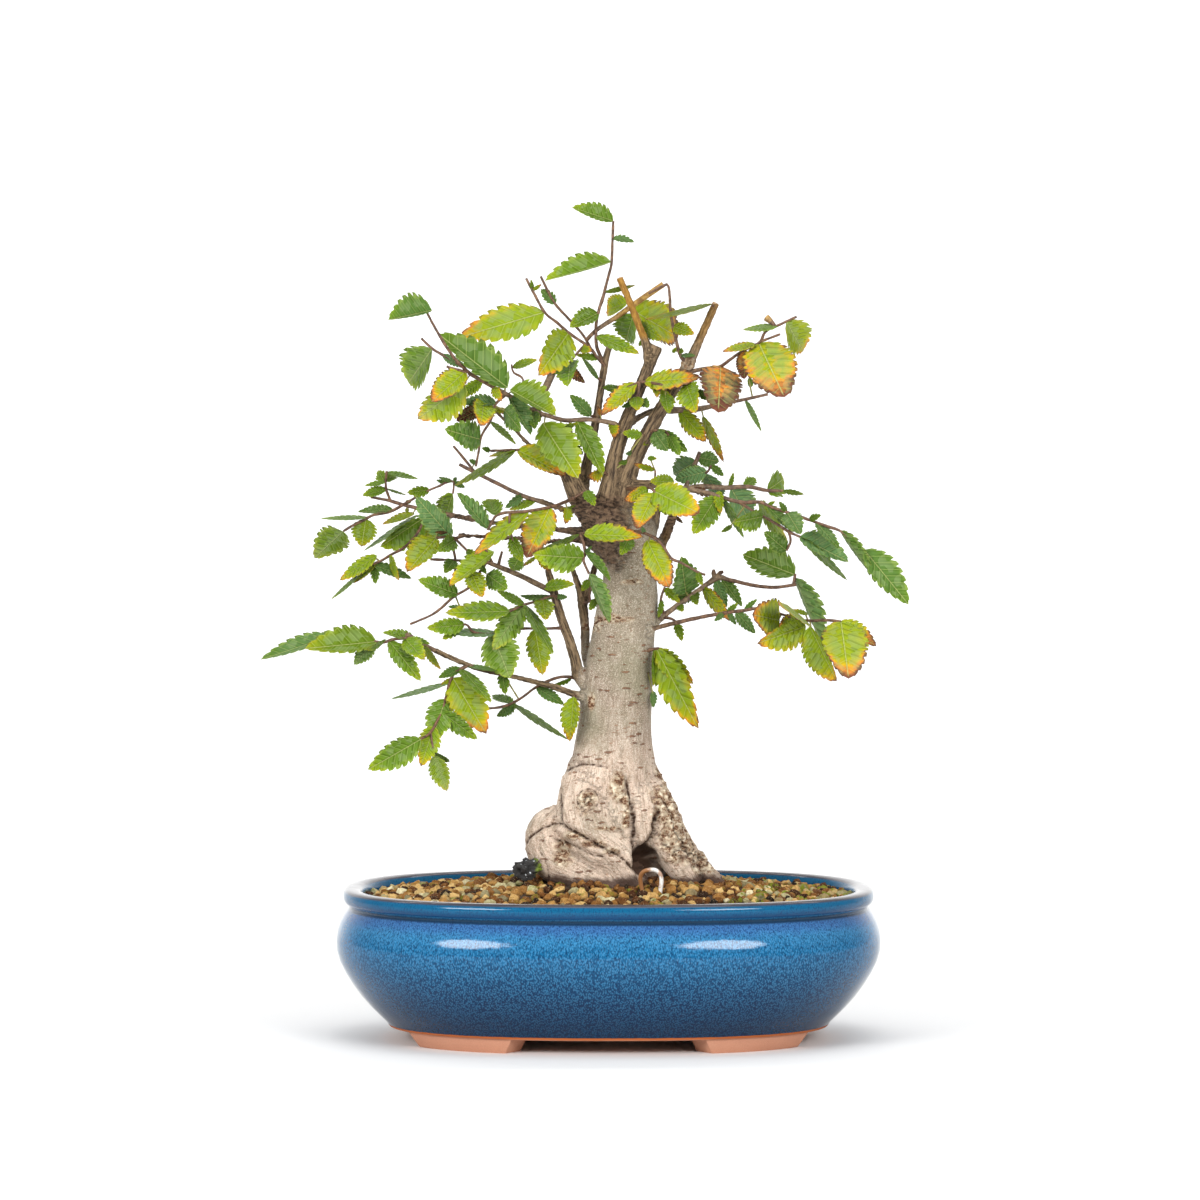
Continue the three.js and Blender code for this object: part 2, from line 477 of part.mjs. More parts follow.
// Each leafy shoot has a name, its twigs as points [x, y, z, radius], and its leaves as
// [base x, base z, tip x, tip z, half width on one side, on the other side, autumn, underside].
// The first half width is the one to the left of a leaf that points up. Autumn runs from 0, deep
// green, to 1, brown. Underside is 1 where the paler side faces the front.
const SHOOTS = [
  // at the top of the leader
  ["shoot_top", [
    [[-3, 5, 350, 1.1], [-6, 5, 357, 1], [-6.5, 5, 366, 0.9], [-5.5, 4, 374, 0.9], [-2.5, 4, 384, 0.9],
      [-0.5, 3, 392, 0.8], [1.5, 3, 400, 0.8], [2, 2, 411, 0.8], [2.5, 2, 422, 0.7]],
  ], [
    [2.3, 422, -19, 429, 2, 6, 0.25], [2.3, 413, 13.5, 411, 2.5, 1, 0.1],
    [0, 401, -33, 391, 0.5, 8, 0.3],
    [-1, 385, 14, 389, 1.2, 1.5, 0.4], [-6.5, 375, -20.3, 367, 3, 5.5, 0.25],
    [-5, 363, 16, 353.5, 3.5, 3, 0.4],
  ]],
  ["shoot_leader_left", [
    [[-2, 3.5, 347.5, 1.1], [-6, 1, 352, 1], [-10, 0, 357, 0.9], [-20, -2, 364, 0.9],
      [-27, -5, 370, 0.9],
      [-33, -7, 375, 0.8], [-38, -8, 384, 0.8], [-42.5, -9, 392.5, 0.8]],
    [[-8.5, 0.5, 355, 0.9], [-13, 6, 363, 0.8], [-20, 8, 371, 0.8], [-28, 9, 380, 0.8],
      [-35, 9, 393.5, 0.7]],
    [[-11.5, 4.2, 360.5, 0.9], [-6, 8, 368, 0.9], [4, 9, 375, 0.9]],
    [[-12, -0.4, 358.4, 0.8], [-17, -2, 353, 0.7], [-21, -3, 347.5, 0.7]],
  ], [
    [-33.5, 374.5, -77, 362, 8, 8.5, 0.6], [-21, 364, -36.5, 342, 9, 7, 0.55],
    [-5, 351, -17, 353, 1.5, 2, 0.4], [-27, 379.5, -35, 387, 2.5, 3, 0.1],
    [-20, 349, -21, 337, 4, 7, 0.3],
    [-21, 346, -12, 338.5, 2, 3, 0.95],
  ]],
  ["shoot_leader_middle", [
    [[-3, 4, 339, 0.9], [-5.5, 1, 341, 0.7]],
  ], [
    [-5, 340.5, -14, 352, 1.3, 1.3, 0.1],
  ]],
  ["shoot_leader_foot", [
    [[-6, 2, 321, 0.9], [-9, -1, 321.5, 0.7]],
  ], [
    [-9, 321.5, -20, 332.5, 3, 3.5, 0.15],
  ]],
  // among the cut limbs of the middle
  ["shoot_golden_stub", [
    [[21.5, 3, 351, 1], [20, 7, 356, 0.9], [18, 9, 362, 0.8], [14, 10, 372, 0.8], [10, 10, 380, 0.7]],
  ], [
    [13, 377, 36, 362, 11, 6, 0.65], [10, 380, -1, 376, 3, 6, 0.55], [12, 374, 9, 360, 4, 8, 0.3],
    [14, 368, 28, 361, 3, 3.5, 0.4],
  ]],
  ["shoot_golden_twig", [
    [[41, -9, 348, 1.2], [37, -10, 353, 1.1], [34.5, -11, 362, 1], [33, -11, 369, 0.9],
      [32, -11, 376, 0.9],
      [31, -11, 388, 0.8], [28.5, -11, 388.7, 0.8], [20.5, -11, 384.5, 0.7]],
  ], [
    [34, 368, 44.5, 363.5, 3.5, 3, 0.45],
    [36.5, 352.5, 45, 352.5, 1.2, 1, 0.1],
  ]],
  ["shoot_limb_tip", [
    [[54.5, -6, 377, 0.9], [53.5, -9, 379, 0.7]],
  ], [
    [53, 379.5, 18, 371.3, 1.8, 1.5, 0.5],
  ]],
  ["shoot_right_upper", [
    [[41, -8, 344, 1.3], [50, -10, 346, 1.1], [56, -12, 346.5, 1], [60, -14, 348.5, 1],
      [66, -16, 353, 0.9],
      [72, -17, 356.5, 0.9], [78, -18, 359.5, 0.9], [81, -19, 365, 0.8], [88, -20, 368.5, 0.8],
      [97, -21, 372.7, 0.7]],
    [[78, -18, 359.7, 0.8], [88.5, -20, 363.7, 0.7]],
    [[86, -19.7, 367.6, 0.9], [84, -19, 370, 1.4], [81.5, -18, 372, 2.2]],
  ], [
    [58, 347, 56.5, 323, 10.5, 9.5, 0.9], [77.5, 359, 91, 330.5, 12.5, 11.5, 0.75],
    [76, 359, 58.5, 354.5, 1.5, 2.5, 0.6], [71, 354, 70, 340.5, 3, 4, 0.9],
    [87, 369.3, 69, 366, 2, 1.5, 0.3, 1],
    [91.5, 370.5, 100, 355.5, 8.5, 5, 0.5, 1],
  ]],
  ["shoot_middle_right", [
    [[17.5, 0, 338.5, 1.1], [21, -7, 338.5, 1], [25, -13, 338, 0.9], [34, -14, 336, 0.9],
      [40, -14, 338, 0.8],
      [46, -14, 335, 0.7]],
    [[21, -7, 338.5, 0.9], [17, -8, 339.3, 0.8], [14.5, -8, 338.5, 0.7], [8, -8, 335.5, 0.7]],
    [[16, -8, 339, 0.8], [15, -9, 333, 0.7], [12, -9, 328.5, 0.7]],
  ], [
    [18.5, 340, 48, 341.5, 5, 4.5, 0.7], [14.5, 338.5, -4, 321.5, 3, 5, 0.7],
    [8, 335, -3, 336, 2.5, 2, 0.2],
    [24, 337.5, 35, 328, 1.5, 2.5, 0.5],
    [29, 333, 31, 322.5, 4, 3, 0.3],
    [40, 338.5, 45.3, 323, 5, 6.5, 0.45],
    [12, 333, 15, 324.5, 3.5, 3.5, 0.45],
  ]],
  ["shoot_red_branch_right", [
    [[31, 12, 324.5, 1.7], [45, 16, 325, 1.4], [58, 18, 327.5, 1.1], [70, 20, 330, 1],
      [82, 22, 332.7, 0.8]],
  ], [
    [36.5, 323, 50.5, 308, 4.5, 4.5, 0.6], [48.5, 321.5, 59.5, 297.5, 2.5, 2.5, 0.65],
    [70, 331, 79, 313.3, 1.7, 1.2, 0.2],
  ]],
  ["shoot_right_limb_left", [
    [[19, -9, 311.5, 0.9], [17.5, -13, 311.5, 0.7]],
  ], [
    [17, 311.5, 7, 313, 2.5, 2.5, 0.35],
  ]],
  ["shoot_right_limb_right", [
    [[21, -9, 313, 1], [24, -14, 314, 0.8], [29, -15, 314, 0.8], [31, -16, 311.5, 0.7]],
  ], [
    [23.5, 313.5, 31, 303, 4, 4.5, 0.05], [27, 315, 41, 303, 3, 4, 0.2], [31, 311, 37, 301, 3, 3, 0.25],
  ]],
  // along the reddish branch to the upper left
  ["shoot_red_branch_left", [
    [[5, -4, 316, 1.7], [2, -6, 317.8, 1.5], [-10, -7, 319.7, 1.3], [-22, -10, 319.3, 1.3],
      [-31, -13, 321.5, 1.3],
      [-39, -16, 324.3, 1.4], [-48, -19, 330, 1.4], [-55, -21, 334, 1.3], [-63, -24, 338.5, 1.2],
      [-72, -27, 343.5, 1.1]],
    [[-39, -16, 324.5, 1.3], [-35, -13, 331, 1.5], [-32, -11, 337, 2.1], [-28, -10, 346, 2]],
    [[-71, -26.7, 343, 1], [-80, -29, 352, 0.9], [-88, -31, 364.5, 0.8], [-94, -32, 375.5, 0.7]],
    [[-74.5, -27.6, 346.3, 0.9], [-80, -27, 350, 0.8], [-85.5, -27, 353, 0.8], [-91, -26, 356.3, 0.8],
      [-96.5, -25, 361.5, 0.7]],
    [[-72, -27, 344, 0.8], [-76, -28, 344.8, 0.8], [-83.5, -29, 347, 0.7]],
    [[-53, -20, 332.5, 0.9], [-58, -20, 328, 0.8], [-59.5, -20, 324, 0.8], [-61, -20, 319, 0.8],
      [-64, -20, 314, 0.8],
      [-66, -20, 310, 0.7], [-67, -19, 303, 0.7], [-68.5, -18, 295.5, 0.7]],
    [[-47, -19, 329.5, 0.9], [-44, -18, 340, 0.7], [-49, -17, 344, 0.7], [-50, -16, 348, 0.6]],
    [[-20, -9.5, 319.4, 0.8], [-19, -11, 312, 0.7], [-19, -11, 307, 0.6]],
  ], [
    [1, 319.5, 2.7, 309.5, 4, 1.2, 0.75],
    [-16.5, 318, -2.7, 291, 6, 3.5, 0.25],
    [-19, 307, -13, 301.5, 2, 2, 0.3], [-26, 314.5, -15.5, 318, 1.5, 1.5, 0.4],
    [-34, 318, -15.5, 289, 10, 8, 0.35],
    [-36, 327, -35.5, 318, 2, 2.5, 0.3, 1], [-40, 322, -38, 314.5, 3, 3, 0.2],
    [-51, 335, -27, 321.5, 10, 1.5, 0.3],
    [-49.5, 346.5, -36.5, 350.5, 2.5, 1.5, 0.4], [-52, 331.5, -40, 311.5, 6, 1.5, 0.05],
    [-54, 325, -45, 314, 4.5, 4.5, 0.15], [-52, 336, -88, 364, 4, 11, 0.15],
    [-60, 336, -55, 329, 2.5, 2.5, 0.7],
    [-59, 326, -51, 323, 1.5, 2, 0.8], [-58.5, 329, -77, 327.5, 1, 4.5, 0],
    [-64, 329, -66, 317, 6, 5, 0.6],
    [-64, 326, -78.5, 319, 3, 4, 0.95], [-60, 318, -47.5, 306.5, 2, 1, 0.25],
    [-66.5, 309.5, -84, 314.5, 6, 7.5, 0.2],
    [-66, 338, -78, 331, 3, 3, 0.45], [-74, 338, -98.5, 320, 10, 6, 0.5, 1],
    [-74, 344, -91, 329, 5, 7, 0.65],
    [-86, 353, -73, 346.5, 2, 2.5, 0], [-91, 356, -103.5, 338, 5.5, 10.5, 0.3, 1],
    [-91, 376, -113.5, 371, 1, 10, 0.2],
  ]],
  ["shoot_left_limb_tip", [
    [[-38, -10, 304.7, 1], [-43, -12, 304, 0.9], [-47.5, -13, 304, 0.8], [-54, -14, 303.8, 0.7],
      [-61, -14, 303.5, 0.7]],
  ], [
    [-47, 304, -22, 290.5, 7.5, 3, 0.7], [-47.5, 303.5, -80, 285.5, 3, 2, 0.35],
    [-47, 305, -62, 300.5, 1, 1.5, 0.5],
  ]],
  // along the branches to the left
  ["shoot_left_bare", [
    [[-32, 14.5, 276.6, 1.4], [-42, 17, 279.5, 1.3], [-50, 19, 283, 1.2], [-58, 21, 287, 1.1],
      [-68, 24, 292, 1.1],
      [-77, 26, 296.5, 1]],
    [[-69, 24.3, 292.5, 0.9], [-75, 25, 300, 0.8], [-80, 26, 306, 0.7]],
  ], [
    [-37.5, 277, -51.5, 273, 1.8, 2, 0.45],
    [-45, 279, -53.5, 274, 2.5, 2, 0.1],
  ]],
  ["shoot_left_end", [
    [[-79, 20, 270, 1.3], [-95, 22, 273, 1.1], [-107, 24, 276, 1], [-114, 25, 278, 0.9],
      [-122.5, 27, 279.6, 0.8]],
    [[-112.5, 24.8, 277.5, 0.8], [-114.5, 24, 283, 0.8], [-115, 23, 287, 0.7], [-114.5, 22, 293, 0.7]],
    [[-106, 23.8, 275.7, 0.9], [-102, 22, 278, 0.8], [-97, 21, 281, 0.8], [-92, 20, 283.5, 0.7],
      [-87, 19, 285.5, 0.7],
      [-84, 19, 287, 0.7], [-80, 19, 287.5, 0.7], [-80.3, 18, 281.5, 0.6]],
    [[-106, 24, 275.7, 0.9], [-113, 22, 272, 0.8], [-121, 20, 270.5, 0.8], [-126, 19, 268, 0.8],
      [-132, 18, 265, 0.8],
      [-137, 18, 262, 0.7]],
    [[-94, 22, 272.7, 0.9], [-98, 18, 262, 0.8], [-105, 15, 254, 0.8], [-112, 13, 250, 0.8],
      [-117, 12, 247, 0.8],
      [-123.5, 11, 244, 0.7], [-128, 11, 240, 0.7]],
  ], [
    [-79, 288, -88, 290, 1, 1, 0.1],
    [-81, 281.5, -84.5, 269, 3, 6, 0.3], [-92, 283, -104, 282, 3, 2.5, 0.3],
    [-114.5, 287, -119, 293.5, 3, 3, 0.3],
    [-114, 292, -98, 289, 1.8, 0.8, 0.25],
    [-116, 287.5, -126, 285.5, 1, 1.5, 0.3], [-115, 283.5, -127, 280.5, 1.8, 3, 0.3],
    [-114.5, 284, -104, 280.5, 0.8, 0.8, 0.35], [-111.5, 273.5, -129.5, 272, 1, 3, 0.08],
    [-125, 271, -149, 268.5, 0.8, 1.3, 0.25], [-125, 268, -127.5, 254, 6, 6, 0.4],
    [-137.5, 262, -152.5, 247.5, 7, 8, 0.3, 1],
    [-92, 267, -94.5, 254.5, 5, 4.5, 0.6], [-97.5, 270, -118, 254, 9.5, 3, 0.3],
    [-98, 270.5, -127, 251.5, 1, 1.5, 0.2],
    [-100, 271, -117, 265.5, 1, 2.5, 0.5], [-119.5, 249.5, -139, 236.5, 3, 3.5, 0.5],
    [-120, 246.5, -132, 235, 1.5, 2, 0.6],
    [-128, 240, -143.5, 226.7, 1, 1, 0.25], [-122.5, 246.5, -101.5, 237.5, 3, 2, 0.1],
    [-119, 243.5, -120.5, 234.5, 2, 2.5, 0.25], [-112, 247, -108, 236.5, 2, 2, 0.5],
  ]],
  ["shoot_left_middle", [
    [[-75, -3.7, 259.7, 1.1], [-79, -4, 258, 0.9], [-80.5, -4, 255, 0.8], [-79, -4, 247, 0.8],
      [-79.5, -4, 239, 0.7]],
    [[-79, -4, 258.5, 0.8], [-84, -5, 259, 0.8], [-89, -6, 258.5, 0.7]],
    [[-92, -5, 247.5, 0.7], [-79, -4, 247, 0.8], [-74, -4, 246.8, 0.7]],
    [[-79, -4, 258, 0.8], [-73, -6, 252, 0.7]],
  ], [
    [-81, 259.5, -99.5, 280, 6.5, 5.5, 0.05], [-89, 258, -104.5, 240.5, 4.5, 8, 0.5],
    [-79, 257.5, -89, 251.5, 4, 4, 0.25], [-79.8, 247, -84.5, 240.5, 3, 3.5, 0.25],
    [-75, 251, -66, 247, 2, 2.5, 0.25],
  ]],
  ["shoot_lower_left_limb", [
    [[-30, -14.3, 231.4, 1.7], [-36, -16, 234.3, 1.6], [-45, -18, 238.8, 1.5], [-55, -20, 243, 1.4],
      [-63.5, -22, 246.4, 1.1]],
    [[-57, -20.5, 244, 0.9], [-55, -22, 251.5, 0.7]],
    [[-60, -21, 245, 0.9], [-62, -21, 250, 0.8], [-65, -21, 255, 0.7]],
    [[-63, -22, 246.2, 0.9], [-68, -23, 244, 0.8], [-71, -24, 241, 0.7]],
    [[-63, -22, 246.2, 0.9], [-67, -20, 240, 0.8], [-72, -18, 233, 0.8], [-80, -17, 228, 0.8],
      [-88, -16, 221, 0.8],
      [-94, -16, 217.5, 0.7], [-102.5, -16, 214, 0.7]],
  ], [
    [-59, 251.5, -82.5, 233.3, 1.8, 6.5, 0.5], [-71, 241, -65, 227.5, 5, 4.5, 0.5],
    [-63, 240, -52, 232, 5, 5, 0.2],
    [-33, 234, -17.5, 234.5, 3.5, 2, 0.4], [-79, 231.5, -98.5, 237, 3.5, 5.5, 0.25],
  ]],
  ["shoot_lower_left_side", [
    [[-26, -14, 228, 0.9], [-30, -18, 228.5, 0.8], [-36, -20, 226, 0.8], [-42, -21, 224.5, 0.8],
      [-47, -22, 222.5, 0.7],
      [-51, -22, 220.7, 0.7]],
  ], [
    [-28, 229.5, -46, 229, 3, 1, 0.05], [-34, 227, -32.5, 215.5, 5, 4.5, 0.4],
    [-43.5, 225, -58, 231.5, 2, 2, 0.25],
    [-51, 220.7, -84.5, 219.8, 4, 5, 0.4], [-43.5, 223, -60, 200.5, 6, 5.5, 0.35, 1],
    [-42, 222, -28.7, 198.3, 3, 2.5, 0.25],
  ]],
  ["shoot_lower_left_tip", [
    [[-30.5, -15, 240, 1.3], [-33, -17, 245, 0.9], [-37, -19, 249, 0.7]],
  ], [
    [-37, 249, -45, 243.5, 1, 1, 0.8], [-37, 247.5, -30, 241.5, 1.5, 2, 0.75],
  ]],
  ["shoot_lower_left_back", [
    [[-13, 8, 225, 0.9], [-9, 3, 226, 0.7], [-6, 2, 227, 0.7]],
    [[-9.5, 3.5, 226, 0.7], [-10, 2, 231, 0.6], [-10, 2, 237, 0.6]],
  ], [
    [-10, 237, -14, 231, 2, 2, 0.4],
  ]],
  ["shoot_lower_left_low", [
    [[-23, -12, 212, 1], [-33, -15, 211.7, 0.8], [-46, -18, 211.5, 0.8], [-58, -20, 209, 0.8],
      [-69, -22, 209.5, 0.8],
      [-73, -23, 213.5, 0.7], [-77, -23, 214, 0.7]],
  ], [
    [-38, 210.5, -34, 187.5, 6, 5.5, 0.45], [-60, 207.5, -51, 186, 9, 9, 0.25, 1],
    [-57, 211, -86, 209.5, 1.5, 2, 0.05],
    [-74, 216, -94, 212, 4, 4, 0.35], [-77, 212, -86, 206, 3, 2, 0.35],
  ]],
  // along the lowest branch to the left
  ["shoot_lowest_foot", [
    [[-17, -10, 177.2, 1], [-18, -13, 176.5, 0.7]],
  ], [
    [-18, 176, -20, 153, 3.5, 5.5, 0.55],
  ]],
  ["shoot_lowest_thin", [
    [[-12, -2, 185, 1.2], [-15.5, -3, 185.6, 1.1], [-22, -5, 186.8, 0.9], [-29, -7, 185.5, 0.9],
      [-38, -9, 181, 0.8],
      [-44, -14, 176.5, 0.8], [-50, -18, 173, 0.8], [-56, -21, 171, 0.7], [-62, -22, 170.4, 0.7]],
  ], [
    [-36.5, 179.8, -23, 172.3, 3, 2.5, 0.15], [-50, 172.5, -20.5, 154, 2.2, 2.2, 0.2],
    [-50, 173, -60, 177.5, 1.5, 2.5, 0.2],
    [-47, 172, -58, 166, 3.5, 1.5, 0.15],
  ]],
  ["shoot_lowest_drop", [
    [[-72, -26, 193, 1.1], [-79, -27, 189, 0.9], [-82, -29, 184, 0.8], [-84, -32, 176, 0.8],
      [-87, -36, 167, 0.8],
      [-92, -41, 158, 0.8], [-97, -45, 154.5, 0.7]],
    [[-92, -41, 158, 0.7], [-91, -42, 151, 0.7], [-90, -42, 146, 0.6]],
  ], [
    [-80, 186, -63, 157, 9, 8, 0.65], [-83, 175, -91.5, 153, 6.5, 6.5, 0.3],
    [-84, 168, -67.7, 154.5, 4, 4.5, 0.3],
    [-88, 160, -97, 140.5, 5.5, 5, 0.5], [-98, 155, -124.5, 138.7, 7, 6, 0.3],
    [-90, 145, -83.5, 127.5, 4, 5, 0.4, 1],
    [-90, 148, -82.3, 142.5, 1.5, 3, 0.2], [-76, 191, -88, 186, 1.5, 3, 0.2],
    [-84, 184, -113, 175, 0.9, 1.2, 0.15],
    [-76, 191.5, -61, 173.5, 3, 2.5, 0.3],
  ]],
  ["shoot_lowest_end", [
    [[-88, -29.8, 199.5, 1.3], [-95, -32, 203, 1.3], [-104.5, -35, 208.7, 1.4]],
    [[-101, -34, 206.5, 0.9], [-106, -36, 206.5, 0.8], [-112, -37, 206, 0.8], [-117, -38, 204.5, 0.8],
      [-128, -37, 206.5, 0.7], [-136, -37, 208, 0.7], [-143, -37, 208, 0.7]],
  ], [
    [-143, 208, -180, 195.5, 1.5, 5, 0.15], [-119.5, 206.5, -157.5, 201.3, 3.5, 9, 0.3],
    [-121, 204.5, -131.5, 193, 4, 4, 0.15, 1], [-115.5, 205, -125, 201, 2, 1.5, 0.35],
    [-99, 206.5, -117, 209.5, 0.7, 3.5, 0.25], [-113, 204, -97, 184.5, 4.5, 4, 0.3],
    [-105, 206, -95, 195.5, 5, 4, 0.4],
    [-96, 202.5, -86.5, 190.5, 1.5, 2.5, 0.5],
  ]],
  // in front of the whorl of limbs
  ["shoot_front_left", [
    [[-15, -5, 279.5, 1.4], [-19, -13, 278.5, 1.2], [-24, -19, 276.5, 1], [-30, -24, 274.5, 0.9],
      [-41, -29, 272.5, 0.9],
      [-48, -30, 272, 0.9], [-54, -29, 271.5, 0.8], [-58, -28, 270, 0.8], [-60, -28, 267, 0.8],
      [-62.5, -28, 262.5, 0.7]],
    [[-51, -29.5, 271.7, 0.8], [-51, -30, 265, 0.7], [-50, -30, 259.5, 0.7], [-46, -30, 248.5, 0.6]],
    [[-19, -13, 278.5, 0.8], [-15, -14, 281, 0.7], [-12, -14, 283, 0.6]],
  ], [
    [-41, 272, -69.5, 249.7, 3, 5, 0.6], [-30, 273.5, -42.5, 248, 6.5, 8, 0.75],
    [-50, 259.5, -44, 246, 2.5, 4, 0.3],
    [-46, 248.5, -50, 241.5, 4, 4, 0.3], [-58.5, 270.5, -62, 279, 4, 5, 0.35, 1],
    [-62.5, 263.5, -78.5, 282, 2, 5, 0.1],
    [-21, 274, -22.5, 265.5, 3, 2, 0.65], [-12, 283, -7, 275, 3, 2.5, 0.3],
  ]],
  ["shoot_front_low", [
    [[-3, -12, 262, 1.3], [-6, -20, 262, 1], [-10, -26, 261, 0.9], [-14.5, -30, 260.5, 0.8],
      [-13, -32, 256, 0.8],
      [-12, -33, 250, 0.8], [-13, -34, 247, 0.8], [-10, -34, 240, 0.7]],
  ], [
    [-13, 260.5, 18, 259, 5.5, 3, 0.6], [-13.5, 248.5, -39, 250, 7.5, 6.5, 0.35],
    [-15.5, 261, -40, 250, 2, 1.5, 0.4],
    [-11, 252, 1, 236, 3.5, 0.8, 0.15], [-9, 240, 0.5, 214.5, 5.5, 2, 0.1, 1],
  ]],
  ["shoot_front_right", [
    [[9, -12, 258, 1.2], [11, -18, 260, 1], [14, -23, 262, 0.9], [21, -27, 260, 0.9],
      [27, -29, 256, 0.8],
      [32.5, -30, 248, 0.8], [37, -30, 246, 0.8], [46, -30, 241, 0.7], [50, -30, 239.5, 0.7]],
  ], [
    [20, 257.5, 31.5, 233, 6.5, 6.5, 0.65], [12, 259, 6, 250, 4, 3.5, 0.3],
    [46, 241, 48.5, 234, 1.5, 2, 0.35],
  ]],
  ["shoot_front_middle", [
    [[9, -7, 284, 1.2], [12, -14, 284, 1], [16, -21, 284, 0.9], [22.5, -28, 284, 0.9],
      [26, -29, 277, 0.7]],
  ], [
    [20.5, 284.5, 8, 278, 3.5, 3, 0.7], [23, 281.5, 14.5, 263, 4.5, 6.5, 0.65],
    [23, 283, 46.5, 271.5, 8, 7, 0.55],
    [26, 276, 30, 270, 2, 1.5, 0.4],
  ]],
  ["shoot_middle_left", [
    [[0, -9, 291, 0.9], [-3.5, -12, 293, 0.7]],
  ], [
    [-3, 293, -11, 290, 4, 2, 0.8],
  ]],
  // along the branches to the right
  ["shoot_right_back", [
    [[35, 16, 273, 1.8], [40, 19, 285, 1.5], [46, 22, 300, 1.2], [47, 22, 303, 1]],
    [[43, 20.5, 293, 0.8], [50, 18, 292, 0.7], [53, 17, 296, 0.7]],
  ], [
    [46, 298, 33, 291, 6, 6, 0.05], [51, 293, 34, 288.5, 4.5, 4.5, 0.05], [47, 300, 57, 298, 4, 4, 0.1],
    [53, 297, 59.5, 290.5, 2, 2, 0.15], [50, 291, 58.5, 279, 4, 4, 0.05],
  ]],
  ["shoot_right_middle", [
    [[32, 14, 282, 2], [47, 18, 285, 1.6], [60, 20, 284.5, 1.4], [72, 22, 285, 1.2], [82, 24, 283, 1],
      [90, 25, 283, 0.7]],
  ], [
    [63, 287, 72.5, 268, 8, 6, 0.05],
    [82, 284, 90, 289, 5.5, 6.5, 0.3], [90, 283, 101, 281, 1.5, 1.5, 0.3], [43, 284, 55, 280, 2, 2, 1],
  ]],
  ["shoot_right_front", [
    [[20, -12.5, 286.3, 1.9], [28, -16, 285.4, 1.7], [38, -20, 284, 1.5], [50, -23, 282, 1.4],
      [58, -25, 279.7, 1.3],
      [68, -27, 277, 1.1], [78, -29, 277, 1], [84, -30, 274.5, 0.9], [90, -31, 272.5, 0.9],
      [99, -33, 269.5, 0.9],
      [106, -34, 267, 0.8], [113, -36, 264.5, 0.8], [119.5, -38, 262.2, 0.8], [126, -39, 257, 0.7],
      [132, -40, 252.5, 0.7]],
    [[67, -26.8, 277.3, 0.9], [75, -28, 272.3, 0.8], [82, -30, 268.5, 0.8], [88, -31, 265, 0.8],
      [93, -32, 261.8, 0.8],
      [99, -33, 259, 0.7]],
    [[93, -32, 261.8, 0.7], [94, -31, 257, 0.7], [92, -30, 252, 0.6]],
    [[23, -13.5, 286, 0.8], [24, -15, 290, 0.7], [24, -15, 293.5, 0.6]],
  ], [
    [24, 293.5, 12.8, 297, 1.8, 1.6, 0.7], [34, 287.5, 21, 288, 3, 3.5, 0.4],
    [57, 283, 58, 271, 2, 3, 0.5],
    [56, 279.5, 43.5, 260.5, 6, 6, 0.35], [58, 277, 70, 258.3, 2, 2, 0.2],
    [80, 270, 64, 266.5, 6, 4, 0.25],
    [77, 275, 93, 255.5, 3.5, 3.5, 0.45, 1], [81, 274.5, 95, 261.5, 3.5, 1.5, 0.15],
    [92, 271, 99.5, 260, 5, 4.5, 0.05],
    [98.5, 259, 124, 246, 7.5, 3, 0.05],
    [100, 258, 123.5, 236.5, 2.5, 2, 0.15, 1],
    [92, 252, 80, 262, 4, 4.5, 0.1],
    [107, 266, 119, 253, 3, 2, 0.15],
    [120, 263.5, 137, 238.5, 4.5, 1, 0.15, 1], [132, 252.5, 155, 224, 8, 5.5, 0.15],
  ]],
  ["shoot_lower_right_upper", [
    [[26, -1.5, 216.2, 1.9], [32, 0, 221, 1.6], [41, 2, 227.5, 1.5], [50, 4, 234, 1.5],
      [56.5, 5, 238, 1.9],
      [62, 6, 237, 1.2], [75, 8, 234, 1.1], [86, 9, 233, 1], [97, 10, 234.5, 1]],
    [[95.5, 10, 234, 0.9], [96.5, 10, 240, 0.8]],
    [[56, 5, 238, 1], [60.5, 5, 241.5, 0.8]],
    [[28, -1.5, 217.5, 0.9], [32.5, -4, 216.8, 0.8], [35, -5, 215, 0.7]],
    [[29, -1, 218.7, 0.9], [27, -4, 224, 0.8], [27.5, -6, 229, 0.7], [29, -6, 233, 0.7]],
  ], [
    [34.5, 215, 38, 205, 2.5, 2, 0.3], [26.5, 227, 25.5, 217, 2, 1, 0.3],
    [29, 232.5, 37, 225, 2.5, 2, 0.4], [40, 230, 37.5, 248.5, 6, 8, 0.15],
    [43, 231.5, 33, 228, 4, 3, 0.1],
    [50, 231, 63.5, 215.5, 3.5, 3.5, 0.7],
    [56, 235, 61, 222.5, 3, 3, 0.1],
    [58, 236, 69, 223, 3.5, 2, 0.1], [97, 238, 111, 202, 7.5, 1, 0.15, 1],
    [96, 239.5, 69.5, 250, 5.5, 9, 0.3],
  ]],
  ["shoot_lower_right_lower", [
    [[21, -8.5, 210.8, 1.5], [28, -11, 213, 1.3], [35, -14, 214.7, 1.2], [45, -18, 217, 1.1],
      [60, -24, 219.8, 1],
      [70, -28, 221, 1], [77, -31, 222, 0.9], [88, -35, 219.5, 0.8], [101, -40, 216, 0.8],
      [113, -44, 216, 0.8],
      [120, -47, 215.3, 0.7]],
  ], [
    [66, 219, 76, 209, 3, 3, 0.05],
    [70, 222, 77, 227, 1.5, 1, 0.2],
    [88.5, 216, 74, 219, 8, 9.5, 0.8],
    [102, 213, 76.5, 204, 8, 5, 0.45], [101, 215, 88, 212, 1, 5, 0.6],
    [102, 217, 87, 224.5, 1.2, 1.5, 0.55],
    [104, 213, 118, 184.5, 2, 9, 0.5], [120.5, 214, 124, 186, 11, 10, 0.65],
    [119.5, 215.5, 138.5, 202.5, 5, 3, 0.75],
  ]],
  ["shoot_trunk_right", [
